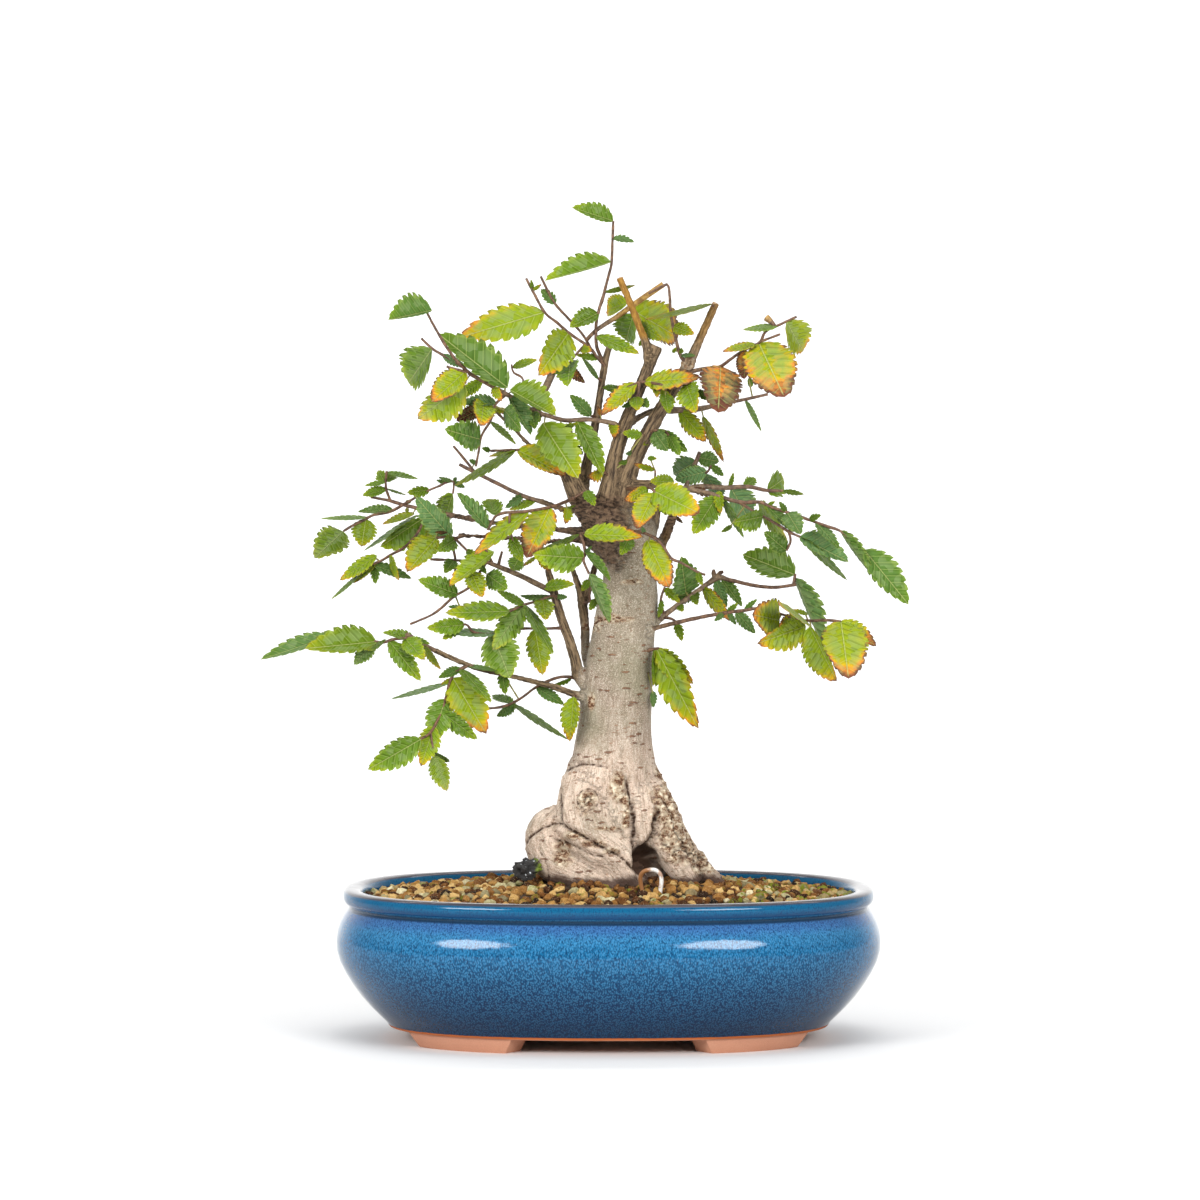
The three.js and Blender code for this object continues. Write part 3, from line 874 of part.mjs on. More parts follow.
    [[17, -8, 199.5, 1.2], [23, -11, 201, 1], [26, -13, 201.5, 0.8]],
  ], [
    [24, 201, 44, 183, 5, 6, 0.45], [25, 200, 46.5, 160, 6.5, 8.5, 0.5],
    [23.5, 201, 23, 181.5, 2.5, 1, 0.4],
  ]],
];

// The number of teeth on each side of a leaf of a given length.
function teethOf(length) {
  if (length < 13) return 1;
  if (length < 22) return 2;
  return length < 33 ? 3 : 4;
}

// Half width of a blade along its rib, as a share of its widest: round at the base, drawn out at the tip.
function bladeOutline(t) {
  return Math.sin(Math.PI * t ** 0.75) ** 0.9;
}

// The point of a shoot's twigs that lies nearest to a place in the picture plane.
function nearestTwigPlace(twigs, x, z) {
  let best = null;
  for (const path of twigs) {
    for (let i = 0; i + 1 < path.length; i += 1) {
      const [ax, ay, az] = path[i];
      const [bx, by, bz] = path[i + 1];
      const length2 = (bx - ax) ** 2 + (bz - az) ** 2;
      const raw = ((x - ax) * (bx - ax) + (z - az) * (bz - az)) / length2;
      const share = Math.min(Math.max(raw, 0), 1);
      const place = [ax + (bx - ax) * share, ay + (by - ay) * share, az + (bz - az) * share];
      const apart = Math.hypot(place[0] - x, place[2] - z);
      if (!best || apart < best.apart) best = { place, apart };
    }
  }
  return best.place;
}

// The depth from a leaf's base to its tip. A blade that looks short for its width leans more.
function leanOf(leaf, depth) {
  const [baseX, baseZ, tipX, tipZ, left, right] = leaf;
  const length = Math.hypot(tipX - baseX, tipZ - baseZ);
  const whole = Math.max((left + right) / BLADE_WIDTH_SHARE, length);
  const lean = Math.min(Math.sqrt(whole ** 2 - length ** 2), MOST_LEAN);
  const away = depth > 8 ? 1 : -1;
  return away * (lean + length * LEAN_VARIES * scatter(baseX, tipZ));
}

// One leaf, folded and rolled about its rib so that it shows its two half widths. It starts inside
// the twig, and has a narrow neck where its base stands away from the twig.
function leafSolid(leaf, twigPlace, lean, clearance = 0) {
  const [baseX, baseZ, tipX, tipZ, left, right, , underside] = leaf;
  const depth = twigPlace[1];
  const start = seen(...twigPlace);
  const neck = seen(baseX, depth, baseZ);
  const hasNeck = start.distanceTo(neck) > SESSILE;
  const base = hasNeck ? neck : start;
  const tip = seen(tipX, depth + lean, tipZ);
  const rib = tip.clone().sub(base);
  const length = rib.length();
  rib.normalize();
  const across = rib.clone().cross(new THREE.Vector3(0, 1, 0)).normalize();
  const up = rib.clone().cross(across).multiplyScalar(underside ? -1 : 1);
  const half = Math.max(BLADE_HALF_SHARE * length, left, right);
  const turnLeft = Math.acos(left / half);
  const turnRight = Math.acos(right / half);
  const isFolded = turnLeft + turnRight < FOLD_LIMIT;
  const fold = isFolded ? (turnLeft + turnRight) / 2 : Math.abs(turnLeft - turnRight) / 2;
  const turned = (turnLeft + turnRight) / 2;
  const roll = isFolded ? (turnLeft - turnRight) / 2 : Math.sign(turnLeft - turnRight || 1) * turned;

  // A point of the blade at share t of its rib, out to one side by a share of the half width.
  const point = (t, width, side) => {
    const turn = fold + side * roll;
    const sideways = across
      .clone()
      .multiplyScalar(side * Math.cos(turn))
      .addScaledVector(up, Math.sin(turn));
    return base
      .clone()
      .addScaledVector(rib, t * length)
      .addScaledVector(up, BLADE_BOW * length * t * (1 - t))
      .addScaledVector(sideways, width * half);
  };

  // The margin of one side, from the neck over the teeth towards the tip.
  const margin = (side) => {
    const chain = hasNeck ? [[0.02, point(0.02, NECK_HALF / half, side)]] : [];
    const teeth = teethOf(length);
    for (let i = 0; i < teeth; i += 1) {
      const pitch = 1 / (teeth + 0.2);
      const tipT = teeth === 1 ? LONE_TOOTH : (i + 0.7) * pitch;
      const notchT = teeth === 1 ? LONE_NOTCH : (i + 1) * pitch;
      chain.push([tipT, point(tipT, bladeOutline(tipT), side)]);
      chain.push([notchT, point(notchT, bladeOutline(notchT) * NOTCH_DEPTH, side)]);
    }
    return chain;
  };
  const points = [start, point(0.5, 0, 1), point(1, 0, 1)];
  const [START, MIDDLE, APEX] = [0, 1, 2];
  const upper = [];
  for (const side of [1, -1]) {
    const numbered = margin(side).map(([t, p]) => [t, points.push(p) - 1]);
    const outer = [[0, START], ...numbered, [1, APEX]];
    const facesUp = side * (underside ? -1 : 1) > 0;
    const add = (a, b, c) => upper.push(facesUp ? [a, b, c] : [a, c, b]);
    for (let i = 0; i + 1 < outer.length; i += 1) {
      const [t, here] = outer[i];
      const [nextT, next] = outer[i + 1];
      const hub = t < 0.5 ? MIDDLE : APEX;
      if (next !== hub) add(hub, next, here);
      if (t < 0.5 && nextT >= 0.5) add(MIDDLE, APEX, next);
    }
  }

  // The lower face is split alike. The blade is thick along its rib and thins to its margin, and
  // the space that it keeps clear is as thick all over.
  const away = up.clone().multiplyScalar(Math.cos(roll)).addScaledVector(across, -Math.sin(roll));
  const offset = away.multiplyScalar((RIB_THICK / 2 + clearance) / Math.cos(fold));
  const doubled = clearance > 0 ? points.length : APEX;
  const below = points.slice(0, doubled).map((p) => p.clone().sub(offset));
  const lifted = points.map((p, i) => (i < doubled ? p.clone().add(offset) : p));
  const lower = (i) => (i < doubled ? points.length + i : i);
  const faces = [...upper, ...upper.map(([a, b, c]) => [lower(a), lower(c), lower(b)])];
  const edges = new Set(upper.flatMap(([a, b, c]) => [`${a},${b}`, `${b},${c}`, `${c},${a}`]));
  for (const edge of edges) {
    const [a, b] = edge.split(",").map(Number);
    if (edges.has(`${b},${a}`)) continue;
    if (lower(a) !== a) faces.push([b, a, lower(a)]);
    if (lower(b) !== b) faces.push([b, lower(a), lower(b)]);
  }
  return solidOf(geometryFrom([...lifted, ...below], faces));
}

function boxesMeet(a, b) {
  const p = a.boundingBox();
  const q = b.boundingBox();
  return [0, 1, 2].every((k) => p.min[k] <= q.max[k] && q.min[k] <= p.max[k]);
}

function isClear(solid, others) {
  return others.every((other) => !boxesMeet(solid, other) || solid.intersect(other).isEmpty());
}

// Further leans that a leaf tries, in millimetres, until its blade is clear of everything around it.
const LEAN_TRIES = [0, -4, 4, -8, 8, -12, 12, -17, 17, -22, 22, -28, 28];

const woodAround = woodPieces(GAP);
const wood = mainBody(joined(woodPieces()));
const inflatedWood = joined(woodAround);
const twigsOf = new Map(
  SHOOTS.map(([name, twigs]) => [name, twigs.map((path) => branch(path, TWIG_SIDES))]),
);
const placedBlades = [];

// One shoot: each blade leans until it is clear of the wood, of the other shoots and, where it can
// be, of its own neighbours. Blades of one shoot that still touch grow together with it.
function shootSolid([name, twigs, leaves]) {
  const otherTwigs = [...twigsOf].filter(([other]) => other !== name).flatMap(([, solids]) => solids);
  const around = [...woodAround, ...otherTwigs, ...placedBlades];
  const spreadTwigs = twigs.map((path) => path.map(([x, y, z]) => [x, spread(y), z]));
  const ownBlades = [];
  for (const leaf of leaves) {
    const place = nearestTwigPlace(spreadTwigs, leaf[0], leaf[1]);
    const lean = leanOf(leaf, place[1]);
    const firstClear = (obstacles) =>
      LEAN_TRIES.find((more) => {
        const test = leafSolid(leaf, place, lean + more, GAP);
        return isClear(test, obstacles);
      });
    const further = firstClear([...around, ...ownBlades]) ?? firstClear(around);
    ownBlades.push(leafSolid(leaf, place, lean + (further ?? 0)));
  }
  placedBlades.push(...ownBlades);
  return mainBody(joined([...twigsOf.get(name), ...ownBlades]).subtract(inflatedWood));
}

// Materials

function material(hex, roughness) {
  return new THREE.MeshStandardMaterial({ color: hex, roughness, metalness: 0 });
}

const glaze = material(0x1f3f8f, 0.2);
const soilGrain = material(0xa98a5e, 0.95);
const bark = material(0xa89880, 0.85);
const plasticMesh = material(0x2a2a2a, 0.7);
const tieWireMetal = material(0x3a3330, 0.5);
const whiteWire = material(0xd9d4cc, 0.6);
const darkLump = material(0x241f1c, 0.9);

// A shoot takes the middle of its leaves' colours, between deep green and orange-brown.
function leafMaterial(leaves) {
  const autumn = leaves.reduce((sum, leaf) => sum + leaf[6], 0) / leaves.length;
  const colour = new THREE.Color(0x4f6b2c).lerp(new THREE.Color(0xc06a3a), autumn);
  return new THREE.MeshStandardMaterial({ color: colour, roughness: 0.55, metalness: 0 });
}

// The whole

const bonsai = new THREE.Group();

function place(name, solid, finish) {
  const mesh = new THREE.Mesh(geometryOf(solid), finish);
  mesh.name = name;
  mesh.position.x = POT_PLACE_X;
  bonsai.add(mesh);
}

const lumpHollow = lumpSolid(GAP);
const soil = soilSolid()
  .subtract(inflatedWood)
  .subtract(lumpHollow)
  .subtract(loopWireSolid(GAP));

place("pot", potSolid(), glaze);
DRAIN_PLACES.forEach((x, i) => place(`drain_screen_${i + 1}`, screenSolid(x), plasticMesh));
place("tie_wire", tieWireSolid(), tieWireMetal);
place("soil", mainBody(soil), soilGrain);
place("feed_lump", lumpSolid().subtract(inflatedWood), darkLump);
place("wire_loop", loopWireSolid().subtract(inflatedWood), whiteWire);
place("wood", wood, bark);
for (const shoot of SHOOTS) place(shoot[0], shootSolid(shoot), leafMaterial(shoot[2]));

export default bonsai;
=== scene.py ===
import math

import bmesh
import bpy
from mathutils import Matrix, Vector, kdtree, noise


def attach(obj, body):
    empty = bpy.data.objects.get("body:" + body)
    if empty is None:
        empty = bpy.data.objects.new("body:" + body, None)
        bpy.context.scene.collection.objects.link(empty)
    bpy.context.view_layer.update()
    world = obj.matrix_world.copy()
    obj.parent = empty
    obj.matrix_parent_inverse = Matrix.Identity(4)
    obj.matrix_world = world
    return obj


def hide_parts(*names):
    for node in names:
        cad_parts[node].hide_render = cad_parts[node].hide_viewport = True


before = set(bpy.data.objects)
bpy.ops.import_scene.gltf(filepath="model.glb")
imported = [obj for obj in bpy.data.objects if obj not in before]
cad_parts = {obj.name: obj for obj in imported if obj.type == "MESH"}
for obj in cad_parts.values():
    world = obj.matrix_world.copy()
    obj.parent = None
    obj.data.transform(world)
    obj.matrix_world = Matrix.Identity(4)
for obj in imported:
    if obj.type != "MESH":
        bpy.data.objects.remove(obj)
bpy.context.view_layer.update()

# The pot
# One piece of stoneware, pressed in a mould: an oval bowl with a rounded lip and four low feet.
# It is glazed a mottled blue and fired, and wiped bare of glaze on its feet, foot line and underside.

# Shapes are measured in millimetres: MM turns them into metres, and IN_MM turns metres into them.
MM = 0.001
IN_MM = 1000
POT_PLACE = Vector((12.5, 0, 0))
POT_SIDES = 176
POT_DEPTH_SHARE = 0.8
POT_CORNER_POWER = 2.5
FOOT_ANGLES = (0.51, 1.155)
FOOT_STEPS = 18
BARE_BELOW = 9.2
DRAIN_PLACES = (-62, 62)
DRAIN_RADIUS = 11
DRAIN_SIDES = 40
DRAIN_CUT = (0, 30)

# Half width along X and height of the wall's section, from the underside over the lip to the floor.
POT_SECTION = [
    (60, 7.3), (100, 7.3), (108, 7.3), (112, 7.3), (113.6, 7.7), (114.3, 8.6), (115.4, 10.2), (119.2, 13.8),
    (123.4, 18), (128.1, 23.4), (132.3, 29.2), (136, 35.2), (138.9, 41), (140.4, 46.5), (140.6, 51.6),
    (139.9, 56.5), (138.4, 61), (136.4, 64.8), (134.6, 67.4), (133.9, 68.6), (134.4, 69.7), (135.8, 70.8),
    (136.7, 72), (137, 73.5), (137, 75), (136.6, 76.5), (135.6, 77.5), (134.2, 78), (131.5, 78.1),
    (129, 77.8), (127.6, 77), (126.6, 75.4), (126, 72), (126.6, 66), (130, 58), (131.4, 50), (130.2, 41),
    (126, 32), (119, 24), (110, 18.5), (100, 17), (60, 17),
]
# A foot's levels from the ground up: height, reach from the middle, slant of its ends and depth.
FOOT_SECTION = [
    (0.0, 107.6, 0.004, 15.4), (0.5, 108.2, 0.0, 16), (5.6, 110.8, -0.036, 17), (8.6, 112.4, -0.052, 18),
]


def metres(place):
    """A place that is measured in millimetres from the pot's middle, in the part's own frame."""
    return (Vector(place) + POT_PLACE) * MM


def oval(angle, half_width):
    """The point of the pot's rounded oval at an angle, in millimetres."""
    c = math.cos(angle)
    s = math.sin(angle)
    power = 2 / POT_CORNER_POWER
    x = half_width * math.copysign(abs(c) ** power, c)
    y = half_width * POT_DEPTH_SHARE * math.copysign(abs(s) ** power, s)
    return x, y


def around(sides):
    """The angles of evenly set corners round a ring."""
    return [2 * math.pi * k / sides for k in range(sides)]


def oval_ring(half_width, z, sides):
    """A level ring of points along the pot's oval."""
    return [metres((*oval(angle, half_width), z)) for angle in around(sides)]


def mesh_object(name, points, faces=(), edges=()):
    """A new object with a mesh of these points, in metres, its normals pointing out."""
    mesh = bpy.data.meshes.new(name)
    mesh.from_pydata([tuple(p) for p in points], list(edges), list(faces))
    if faces:
        shape = bmesh.new()
        shape.from_mesh(mesh)
        bmesh.ops.recalc_face_normals(shape, faces=shape.faces)
        shape.to_mesh(mesh)
        shape.free()
    thing = bpy.data.objects.new(name, mesh)
    bpy.context.scene.collection.objects.link(thing)
    return thing


def lofted(name, rings):
    """A closed solid through rings of equal length, with a face over its first and its last ring."""
    sides = len(rings[0])
    faces = []
    for row in range(len(rings) - 1):
        for k in range(sides):
            a = row * sides + k
            b = row * sides + (k + 1) % sides
            faces.append((a, b, b + sides, a + sides))
    faces.append(tuple(range(sides)))
    faces.append(tuple((len(rings) - 1) * sides + k for k in range(sides)))
    return mesh_object(name, [p for ring in rings for p in ring], faces)


def baked(thing):
    """Keep what an object's modifiers make as its plain mesh."""
    shown = thing.evaluated_get(bpy.context.evaluated_depsgraph_get())
    mesh = bpy.data.meshes.new_from_object(shown)
    thing.modifiers.clear()
    thing.data = mesh
    return thing


def cut_or_join(thing, others, operation):
    """Join other solids to a thing, or cut them out of it, and remove them."""
    for other in others:
        modifier = thing.modifiers.new("joint", "BOOLEAN")
        modifier.object = other
        modifier.operation = operation
        modifier.solver = "EXACT"
    baked(thing)
    for other in others:
        bpy.data.objects.remove(other)


def smooth(thing, angle=0.6):
    """Round shading, except over edges that are sharper than an angle."""
    thing.data.shade_smooth()
    thing.data.set_sharp_from_angle(angle=angle)


def pot_foot(start, end):
    """One low foot with slanted, softly rounded ends, between two angles of the oval."""
    rings = []
    for z, out, slant, depth in FOOT_SECTION:
        width = end - start - 2 * slant
        angles = [start + slant + width * i / FOOT_STEPS for i in range(FOOT_STEPS + 1)]
        outer = [metres((*oval(a, out), z)) for a in angles]
        inner = [metres((*oval(a, out - depth), z)) for a in reversed(angles)]
        rings.append(outer + inner)
    return lofted("foot", rings)


pot = lofted("pot_shell", [oval_ring(width, z, POT_SIDES) for width, z in POT_SECTION])
feet = []
for side in (0, math.pi):
    feet.append(pot_foot(side + FOOT_ANGLES[0], side + FOOT_ANGLES[1]))
    feet.append(pot_foot(side + math.pi - FOOT_ANGLES[1], side + math.pi - FOOT_ANGLES[0]))
drains = []
for x in DRAIN_PLACES:
    circle = [(x + DRAIN_RADIUS * math.cos(a), DRAIN_RADIUS * math.sin(a)) for a in around(DRAIN_SIDES)]
    drains.append(lofted("drain", [[metres((*spot, z)) for spot in circle] for z in DRAIN_CUT]))
cut_or_join(pot, feet, "UNION")
cut_or_join(pot, drains, "DIFFERENCE")
smooth(pot, angle=0.7)


class Wire:
    """An output of a node tree, on which node maths is written as Python sums."""

    def __init__(self, tree, socket=None):
        self.tree = tree
        self.socket = socket

    def node(self, kind, settings=None, values=None, out=0):
        """Add any node: its settings first, then the values or the links of its sockets."""
        made = self.tree.nodes.new(kind)
        for name, value in (settings or {}).items():
            if name == "stops":
                ramp = made.color_ramp
                while len(ramp.elements) < len(value):
                    ramp.elements.new(1)
                for stop, (place, colour) in zip(ramp.elements, value):
                    stop.position = place
                    stop.color = (*colour, 1)
            else:
                setattr(made, name, value)
        for name, value in (values or {}).items():
            if isinstance(value, Wire):
                self.tree.links.new(value.socket, made.inputs[name])
            else:
                made.inputs[name].default_value = value
        return Wire(self.tree, made.outputs[out])

    def sum(self, operation, *values):
        """A Math node, or a Vector Math node where one of the values is a vector."""
        if any(isinstance(v, Wire) and v.socket.type == "VECTOR" for v in values):
            if operation == "MULTIPLY":
                vector, scale = values if values[0].socket.type == "VECTOR" else values[::-1]
                return self.vector("SCALE", {0: vector, "Scale": scale})
            return self.vector(operation, dict(enumerate(values)))
        return self.node("ShaderNodeMath", {"operation": operation}, dict(enumerate(values)))

    def vector(self, operation, values):
        """A Vector Math node."""
        return self.node("ShaderNodeVectorMath", {"operation": operation}, values)

    def __add__(self, other):
        return self.sum("ADD", self, other)

    def __radd__(self, other):
        return self.sum("ADD", other, self)

    def __sub__(self, other):
        return self.sum("SUBTRACT", self, other)

    def __rsub__(self, other):
        return self.sum("SUBTRACT", other, self)

    def __mul__(self, other):
        return self.sum("MULTIPLY", self, other)

    def __rmul__(self, other):
        return self.sum("MULTIPLY", self, other)

    def __truediv__(self, other):
        return self.sum("DIVIDE", self, other)

    def __rtruediv__(self, other):
        return self.sum("DIVIDE", other, self)

    def __pow__(self, other):
        return self.sum("POWER", self, other)

    def most(self, other):
        """The larger of two values."""
        return self.sum("MAXIMUM", self, other)

    def through(self, operation):
        """This value through maths that takes one value, such as SINE."""
        return self.sum(operation, self)

    def share(self, low, high):
        """0 below low, 1 above high, and a smooth rise between them."""
        settings = {"interpolation_type": "SMOOTHSTEP"}
        return self.node("ShaderNodeMapRange", settings, {"Value": self, "From Min": low, "From Max": high})

    def ramp(self, *stops):
        """A colour for each share, by straight steps between the stops."""
        return self.node("ShaderNodeValToRGB", {"stops": stops}, {0: self})

    def mixed(self, first, second):
        """The first colour where this is 0 and the second where it is 1."""
        values = {0: self}
        for place, colour in ((6, first), (7, second)):
            values[place] = colour if isinstance(colour, Wire) else (*colour, 1)
        return self.node("ShaderNodeMix", {"data_type": "RGBA"}, values, 2)

    def parts(self):
        """The three numbers of a vector."""
        split = self.node("ShaderNodeSeparateXYZ", None, {0: self}).socket.node
        return [Wire(self.tree, output) for output in split.outputs]

    def stretched(self, x, y, z):
        """A place with its pattern scaled along each axis."""
        return self.vector("MULTIPLY", {0: self, 1: (x, y, z)})

    def speckle(self, scale, detail=2.0, rough=0.5, warp=0.0):
        """Soft noise from 0 to 1, with this many waves in a metre."""
        values = {"Vector": self, "Scale": scale, "Detail": detail, "Roughness": rough, "Distortion": warp}
        return self.node("ShaderNodeTexNoise", None, values)

    def cells(self, scale):
        """Distance to the nearest of scattered dots, with about this many dots in a metre."""
        return self.node("ShaderNodeTexVoronoi", None, {"Vector": self, "Scale": scale})

    def own(self, name, out=2):
        """A number that the piece carries at each of its points, or a vector from output 1."""
        return self.node("ShaderNodeAttribute", {"attribute_name": name}, None, out)


def new_material(name, **fixed):
    """A new material: places on the piece as a wire, and a call that links its look and gives it back."""
    material = bpy.data.materials.new(name)
    material.use_nodes = True
    tree = material.node_tree
    shader = tree.nodes["Principled BSDF"]
    for label, value in fixed.items():
        shader.inputs[label.replace("_", " ")].default_value = value
    place = Wire(tree).node("ShaderNodeTexCoord", None, None, 3)

    def finish(colour, roughness=None, relief=None, depth=0.001):
        tree.links.new(colour.socket, shader.inputs["Base Color"])
        if roughness is not None:
            tree.links.new(roughness.socket, shader.inputs["Roughness"])
        if relief is not None:
            bump = place.node("ShaderNodeBump", None, {"Strength": 1.0, "Distance": depth, "Height": relief})
            tree.links.new(bump.socket, shader.inputs["Normal"])
        return material

    return place, finish


place, finish = new_material("blue_glaze", IOR=1.35)
height = place.parts()[2] * IN_MM
runs = place.stretched(1, 1, 0.5)
flecks = runs.speckle(1500, 3, 0.75)
light_flecks = runs.cells(1350).share(0.3, 0.62)
clouds = place.speckle(34, 3, 0.6)
streaks = place.stretched(1, 1, 0.25).speckle(190, 3, 0.6)
# the blue is darkest at the foot and grows paler up to the shoulder
level = (height + clouds * 9 + streaks * 5 - 7) / 80
blue = level.ramp(
    (0.14, (0.001, 0.012, 0.036)), (0.34, (0.001, 0.021, 0.062)), (0.44, (0.001, 0.035, 0.094)),
    (0.55, (0.001, 0.059, 0.144)), (0.66, (0.003, 0.096, 0.222)), (0.77, (0.024, 0.155, 0.315)),
)
blue = (flecks.share(0.57, 0.39) * 0.82).mixed(blue, (0.001, 0.015, 0.055))
blue = ((1 - light_flecks) * (height.share(5, 50) * 0.31 + 0.09)).mixed(blue, (0.06, 0.28, 0.52))
# a violet tinge under the lip, painted shade as a dark line in its groove, and brown clay through its thin
# edge
violet_band = (height + streaks * 6).share(62.5, 69) * (1 - height.share(67.6, 69.2))
violet = flecks.share(0.3, 0.7).mixed((0.010, 0.016, 0.11), (0.04, 0.05, 0.26))
blue = (violet_band * 0.42).mixed(blue, violet)
lip_blue = (height + flecks).share(71.5, 75.5).mixed((0.001, 0.042, 0.12), (0.001, 0.088, 0.19))
lip_blue = (flecks.share(0.52, 0.34) * 0.7).mixed(lip_blue, (0.001, 0.02, 0.07))
blue = height.share(69.4, 71).mixed(blue, lip_blue)
# painted shade: the groove under the lip is darkened
groove_shade = height.share(66.9, 68) * (1 - height.share(69.4, 70.6))
blue = (groove_shade * 0.92).mixed(blue, (0.001, 0.016, 0.042))
thin_edge = (height + flecks * 0.8).share(76.6, 77.7)
blue = (thin_edge * 0.82).mixed(blue, (0.055, 0.032, 0.022))
pits = 1 - place.cells(120).share(0.035, 0.06)
blue = (pits * (place.speckle(40) - 0.5).share(0.02, 0.1)).mixed(blue, (0.002, 0.006, 0.03))
# bare clay below the glaze line, burnt redder right at it
grit = place.speckle(1400, 3, 0.7)
bare_clay = (grit * 0.6 + clouds * 0.4).mixed((0.38, 0.15, 0.085), (0.62, 0.33, 0.215))
burnt = (height + clouds * 0.8).share(7.6, 8.6)
bare_clay = burnt.mixed(bare_clay, (0.40, 0.10, 0.022))
glazed = (height + streaks * 0.5).share(BARE_BELOW - 0.1, BARE_BELOW + 0.1)
gloss = glazed.node("ShaderNodeMix", None, {0: glazed, 2: 0.72, 3: flecks * 0.04 + 0.035})
skin = glazed.node("ShaderNodeMix", None, {0: glazed, 2: grit * 0.25, 3: flecks * 0.035 + clouds * 0.5 + 0.5})
pot.data.materials.clear()
blue_glaze = finish(glazed.mixed(bare_clay, blue), gloss, relief=skin, depth=0.0006)
pot.data.materials.append(blue_glaze)
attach(pot, "root")
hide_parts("pot")

# The drain screens
# Two squares of woven black plastic mesh lie over the drain holes, to keep the soil in.
# Each is cut from a roll, and the soil's weight holds it down.

SCREEN_HEIGHT = 17.9
SCREEN_BARS = 15
BARS_SPAN = 28.8
BAR_END = 14.5
BAR_RADIUS = 0.5
BAR_SIDES = 6
BAR_STEP = 2


def new_tree(name, inputs):
    """A node tree with named inputs: the wires of its inputs, and a call that ends it with a shape."""
    tree = bpy.data.node_groups.new(name, "GeometryNodeTree")
    tree.interface.new_socket("Geometry", in_out="INPUT", socket_type="NodeSocketGeometry")
    for label, kind in inputs:
        tree.interface.new_socket(label, in_out="INPUT", socket_type="NodeSocket" + kind)
    tree.interface.new_socket("Geometry", in_out="OUTPUT", socket_type="NodeSocketGeometry")
    entry = tree.nodes.new("NodeGroupInput")
    leave = tree.nodes.new("NodeGroupOutput")
    given = {socket.name: Wire(tree, socket) for socket in entry.outputs if socket.name}

    def end(shape):
        tree.links.new(shape.socket, leave.inputs[0])
        return tree

    return given, end


def grow(thing, tree, **values):
    """Run a node tree on an object with its named inputs, and keep the plain mesh."""
    modifier = thing.modifiers.new(tree.name, "NODES")
    modifier.node_group = tree
    for item in tree.interface.items_tree:
        label = item.name.replace(" ", "_")
        if item.in_out == "INPUT" and label in values:
            modifier[item.identifier] = values[label]
    return baked(thing)


def finished(shape, material):
    """The last steps of a tree: plain mesh with its material."""
    plain = shape.node("GeometryNodeRealizeInstances", None, {0: shape})
    return plain.node("GeometryNodeSetMaterial", None, {"Geometry": plain, "Material": material})


def kept(shape, name, value, kind="FLOAT", domain="POINT"):
    """Keep a value on each point, or another part, of a shape under a name."""
    values = {"Geometry": shape, "Name": name, "Value": value}
    return shape.node("GeometryNodeStoreNamedAttribute", {"data_type": kind, "domain": domain}, values)


def sharp_over(shape, angle):
    """Leave the edges sharp at which a shape turns by more than an angle."""
    turn = shape.node("GeometryNodeInputMeshEdgeAngle")
    is_sharp = turn.node("FunctionNodeCompare", {"operation": "GREATER_THAN"}, {"A": turn, "B": angle})
    return kept(shape, "sharp_edge", is_sharp, "BOOLEAN", "EDGE")


def tube_along(paths, sides, thickness, step):
    """Round tubes with closed ends along polylines, smoothed, with a point every step."""
    curve = paths.node("GeometryNodeMeshToCurve", None, {0: paths})
    curve = curve.node("GeometryNodeCurveSplineType", {"spline_type": "CATMULL_ROM"}, {0: curve})
    curve = curve.node("GeometryNodeResampleCurve", {"mode": "LENGTH"}, {"Curve": curve, "Length": step})
    ring = paths.node("GeometryNodeCurvePrimitiveCircle", None, {"Resolution": sides, "Radius": 1.0})
    values = {"Curve": curve, "Profile Curve": ring, "Scale": thickness, "Fill Caps": True}
    return sharp_over(curve.node("GeometryNodeCurveToMesh", None, values), angle=0.9)


def read(wire, name, kind="FLOAT"):
    """A named number or vector of the points in a tree."""
    return wire.node("GeometryNodeInputNamedAttribute", {"data_type": kind}, {"Name": name})


given, end = new_tree("screen", [("Radius", "Float"), ("Material", "Material")])
bars = tube_along(given["Geometry"], BAR_SIDES, given["Radius"], BAR_STEP * MM)
screen_tree = end(finished(bars, given["Material"]))

place, finish = new_material("black_plastic", Roughness=0.55)
screen_black = finish(place.speckle(600).mixed((0.012, 0.012, 0.012), (0.03, 0.03, 0.03)))
for number, x in enumerate(DRAIN_PLACES, 1):
    points = []
    for bar in range(SCREEN_BARS):
        across = (bar / (SCREEN_BARS - 1) - 0.5) * BARS_SPAN
        points += [metres((x + across, end_y, SCREEN_HEIGHT)) for end_y in (-BAR_END, BAR_END)]
        points += [metres((x + end_x, across, SCREEN_HEIGHT)) for end_x in (-BAR_END, BAR_END)]
    edges = [(i, i + 1) for i in range(0, len(points), 2)]
    screen = mesh_object(f"mesh_screen_{number}", points, edges=edges)
    grow(screen, screen_tree, Radius=BAR_RADIUS * MM, Material=screen_black)
    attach(screen, "root")
    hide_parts(f"drain_screen_{number}")

# The tie wire
# A dark aluminium wire holds the root ball down. Its two ends leave a drain hole side by side,
# run along the underside, and are twisted together and cut off short.

TIE_ROUTE = [
    (-59, -3, 16), (-58.5, -3.5, 9), (-56, -5, 6.1), (-38, -18, 6.1), (-25, -27, 6.1), (-21, -30, 4.6),
    (-19, -31, 2.4),
]
STRAND_RADIUS = 0.5
TWIST_RADIUS = 0.48
TURNS = 9
TWIST_FROM = 0.25
TWIST_TIGHTENS = 1.3
STRAND_STEPS = 90
STRAND_SIDES = 8
STRAND_STEP = 0.7


